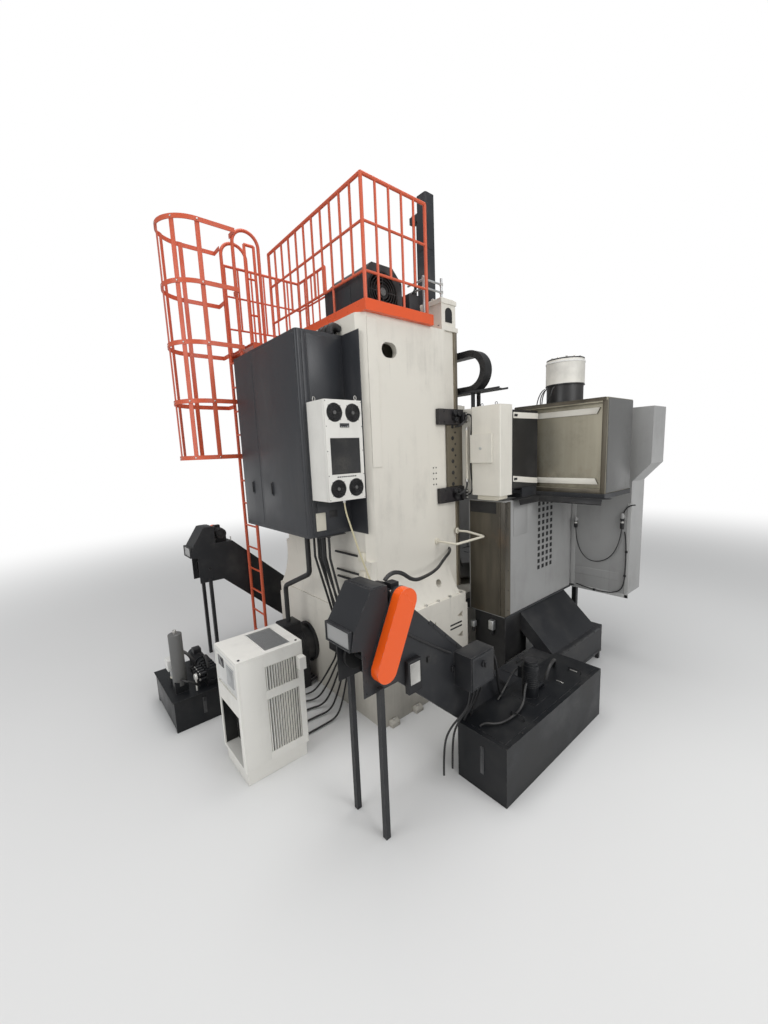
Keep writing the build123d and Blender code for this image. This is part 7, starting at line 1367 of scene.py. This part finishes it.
def dress_chain():
    for word, y, way in (("front", 0.78, -1), ("rear", 0.9, 1)):
        for i, z in enumerate((3.34, 3.72)):
            screws(f"link_pins_{word}_{i}", (-0.9165, y, z), (0, way, 0), 0.016, ((11, (0.105, 0, 0)),),
                0.003, 20, "plastic_and_painted_shade", "chain_black", body=RAIL)
    for i in range(5):
        turn = pi / 2 + pi * (i + 0.5) / 5
        for word, y, way in (("front", 0.78, -1), ("rear", 0.9, 1)):
            at = (-0.969 + 0.19 * cos(turn), y, 3.53 + 0.19 * sin(turn))
            screws(f"bend_pin_{word}_{i}", at, (0, way, 0), 0.016, (), 0.003, 20, "plastic_and_painted_shade",
                "chain_black", body=RAIL)
    for i in range(3):
        y = 0.805 + 0.035 * i
        hose(f"chain_lead_{i}", [(0.1, y, 3.72), (0.22, y, 3.72), (0.235, y, 3.718)], 0.011, body=RAIL)


# Ladder, cage, railing and walkway

def dress_access():
    for side, word in ENDS:
        x = 1.36 + side * 0.19
        cover(f"ladder_foot_{word}", "rail_orange", (x - 0.05, 2.5, 0), (x + 0.05, 2.6, 0.01), UP,
            (0.006, 0.001, 0), edge=0.002)
        screws(f"ladder_foot_bolts_{word}", (x - 0.034, 2.516, 0.01), UP, 0.009,
            ((2, (0.068, 0, 0)), (2, (0, 0.068, 0))), 0.008, 6, "zinc_plate")
        dressed(in_rows(wire_ring((1.36 + side * 0.1705, 2.55, 0.3), RIGHT, 0.0125, 0.0035, 20, 8),
            (13, (0, 0, 0.3))), f"rung_welds_{word}", "rail_orange")
        cover(f"stile_tie_{word}", "rail_orange", (min(x, x + side * 0.004) - 0.018, 2.5, 4.0435),
            (max(x, x + side * 0.004) + 0.018, 2.552, 4.0499), edge=0.001)
    pitch = (5.3 - 2.75) / 4
    for row in range(5):
        z = 2.75 + row * pitch - 0.025
        for k in range(5):
            turn = k * pi / 4
            way = Vector((cos(turn), sin(turn), 0))
            at = Vector((1.36, 2.98, z)) + way * 0.3428
            screws(f"cage_bolt_{row}_{k}", at, way, 0.01, (), 0.007, 6, "zinc_plate")
    dressed(in_rows(bar((0.932, 1.44, 4.0265), (1.692, 1.452, 4.0422)), (8, (0, 0.148, 0))),
        "walkway_bearers", "rail_orange", edge=0.0012)
    dressed(in_rows(bar((0.94, 1.4, 4.0496), (1.655, 1.404, 4.053)), (43, (0, 0.025, 0))),
        "walkway_grip_bars", "rail_orange", edge=0.0005, segments=1)
    side_x, rear_y, deck = -0.897, 2.236, 3.958
    for word, places in (("side", [(side_x, 1.453 + 0.1305 * i) for i in (0, 2, 4, 6)]),
            ("rear", [(side_x + 0.16309 * i, rear_y) for i in (0, 3, 6, 9, 11)])):
        feet = []
        for x, y in places:
            foot = round_bar((x, y, deck - 0.0005), (x, y, deck + 0.009), 0.0255, 24)
            feet.append(stepped(foot, UP, (0.004, 0.002, 0)))
        dressed(joined(feet), f"railing_feet_{word}", "rail_orange", edge=0.001)
    cover("platform_tread", "skirt_orange", (-0.86, 1.4, 3.9578), (-0.84, 2.2, 3.961), UP, (0.002, 0, 0),
        edge=0.0005)


for dress in (dress_column, dress_column_rear, dress_lift, dress_deck, dress_clamps, dress_end_cover,
        dress_magazine, dress_drum, dress_wing, dress_splash_guards, dress_cabinet, dress_cooler,
        dress_motors, dress_conveyors, dress_starter, dress_tank, dress_chiller, dress_hydraulics,
        dress_terminal_box, dress_doors, dress_guard_front, dress_pendant, dress_table, dress_saddle,
        dress_tower, dress_drive, dress_chain, dress_access):
    dress()


# Floor, backdrop and lamps

def add_floor():
    bpy.ops.object.select_all(action="DESELECT")
    bpy.ops.mesh.primitive_plane_add(size=160, location=(0, 0, 0))
    floor = bpy.context.object
    floor.name = "studio_floor"
    ground = Finish("pale_floor", Roughness=0.9, Specular_IOR_Level=0.15)
    ground.feed("Base Color", (0.74, 0.74, 0.735, 1))
    radius = ground.node("ShaderNodeVectorMath", {"operation": "LENGTH"}, {0: ground.place()}, "Value")
    by_camera = ground.node("ShaderNodeLightPath", {}, {}, "Is Camera Ray")
    by_reflection = ground.node("ShaderNodeLightPath", {}, {}, "Is Glossy Ray")
    glow = ground.node("ShaderNodeEmission", {}, {"Color": (1, 1, 1, 1), "Strength": 1.0})
    out = ground.tree.nodes["Material Output"]
    mixed = ground.node("ShaderNodeMixShader", {},
        {0: ground.rise(radius, 5.0, 15.0) * (by_camera + by_reflection),
        1: Signal(ground.tree, ground.shader.outputs[0]), 2: glow})
    ground.tree.links.new(mixed.socket, out.inputs["Surface"])
    floor.data.materials.append(ground.material)


def add_world(strength):
    world = bpy.data.worlds.new("studio")
    world.use_nodes = True
    bpy.context.scene.world = world
    tree = world.node_tree
    path = tree.nodes.new("ShaderNodeLightPath")
    share = tree.nodes.new("ShaderNodeMath")
    share.operation = "MAXIMUM"
    tree.links.new(path.outputs["Is Camera Ray"], share.inputs[0])
    tree.links.new(path.outputs["Is Transmission Ray"], share.inputs[1])
    blend_node = tree.nodes.new("ShaderNodeMixShader")
    soft = tree.nodes["Background"]
    soft.inputs["Color"].default_value = (0.97, 0.985, 1.0, 1)
    soft.inputs["Strength"].default_value = strength
    white = tree.nodes.new("ShaderNodeBackground")
    white.inputs["Color"].default_value = (1, 1, 1, 1)
    tree.links.new(share.outputs[0], blend_node.inputs[0])
    tree.links.new(soft.outputs[0], blend_node.inputs[1])
    tree.links.new(white.outputs[0], blend_node.inputs[2])
    tree.links.new(blend_node.outputs[0], tree.nodes["World Output"].inputs["Surface"])


def add_lamp(name, place, aim, size, watts):
    lamp = bpy.data.objects.new(name, bpy.data.lights.new(name, "AREA"))
    bpy.context.scene.collection.objects.link(lamp)
    lamp.data.size = size
    lamp.data.energy = watts
    lamp.location = place
    lamp.rotation_euler = (Vector(aim) - Vector(place)).to_track_quat("-Z", "Y").to_euler()


add_floor()
add_world(0.38)
add_lamp("overhead", (-0.5, 1.5, 11.0), (-0.3, 1.2, 2.0), 7.0, 520)
add_lamp("left_bank", (-9.0, 1.5, 6.0), (0, 1.0, 2.0), 5.0, 330)
add_lamp("rear_bank", (-1.0, 10.0, 5.0), (-0.3, 1.5, 2.0), 5.0, 190)

bpy.context.scene.view_settings.view_transform = "Standard"
bpy.context.view_layer.update()
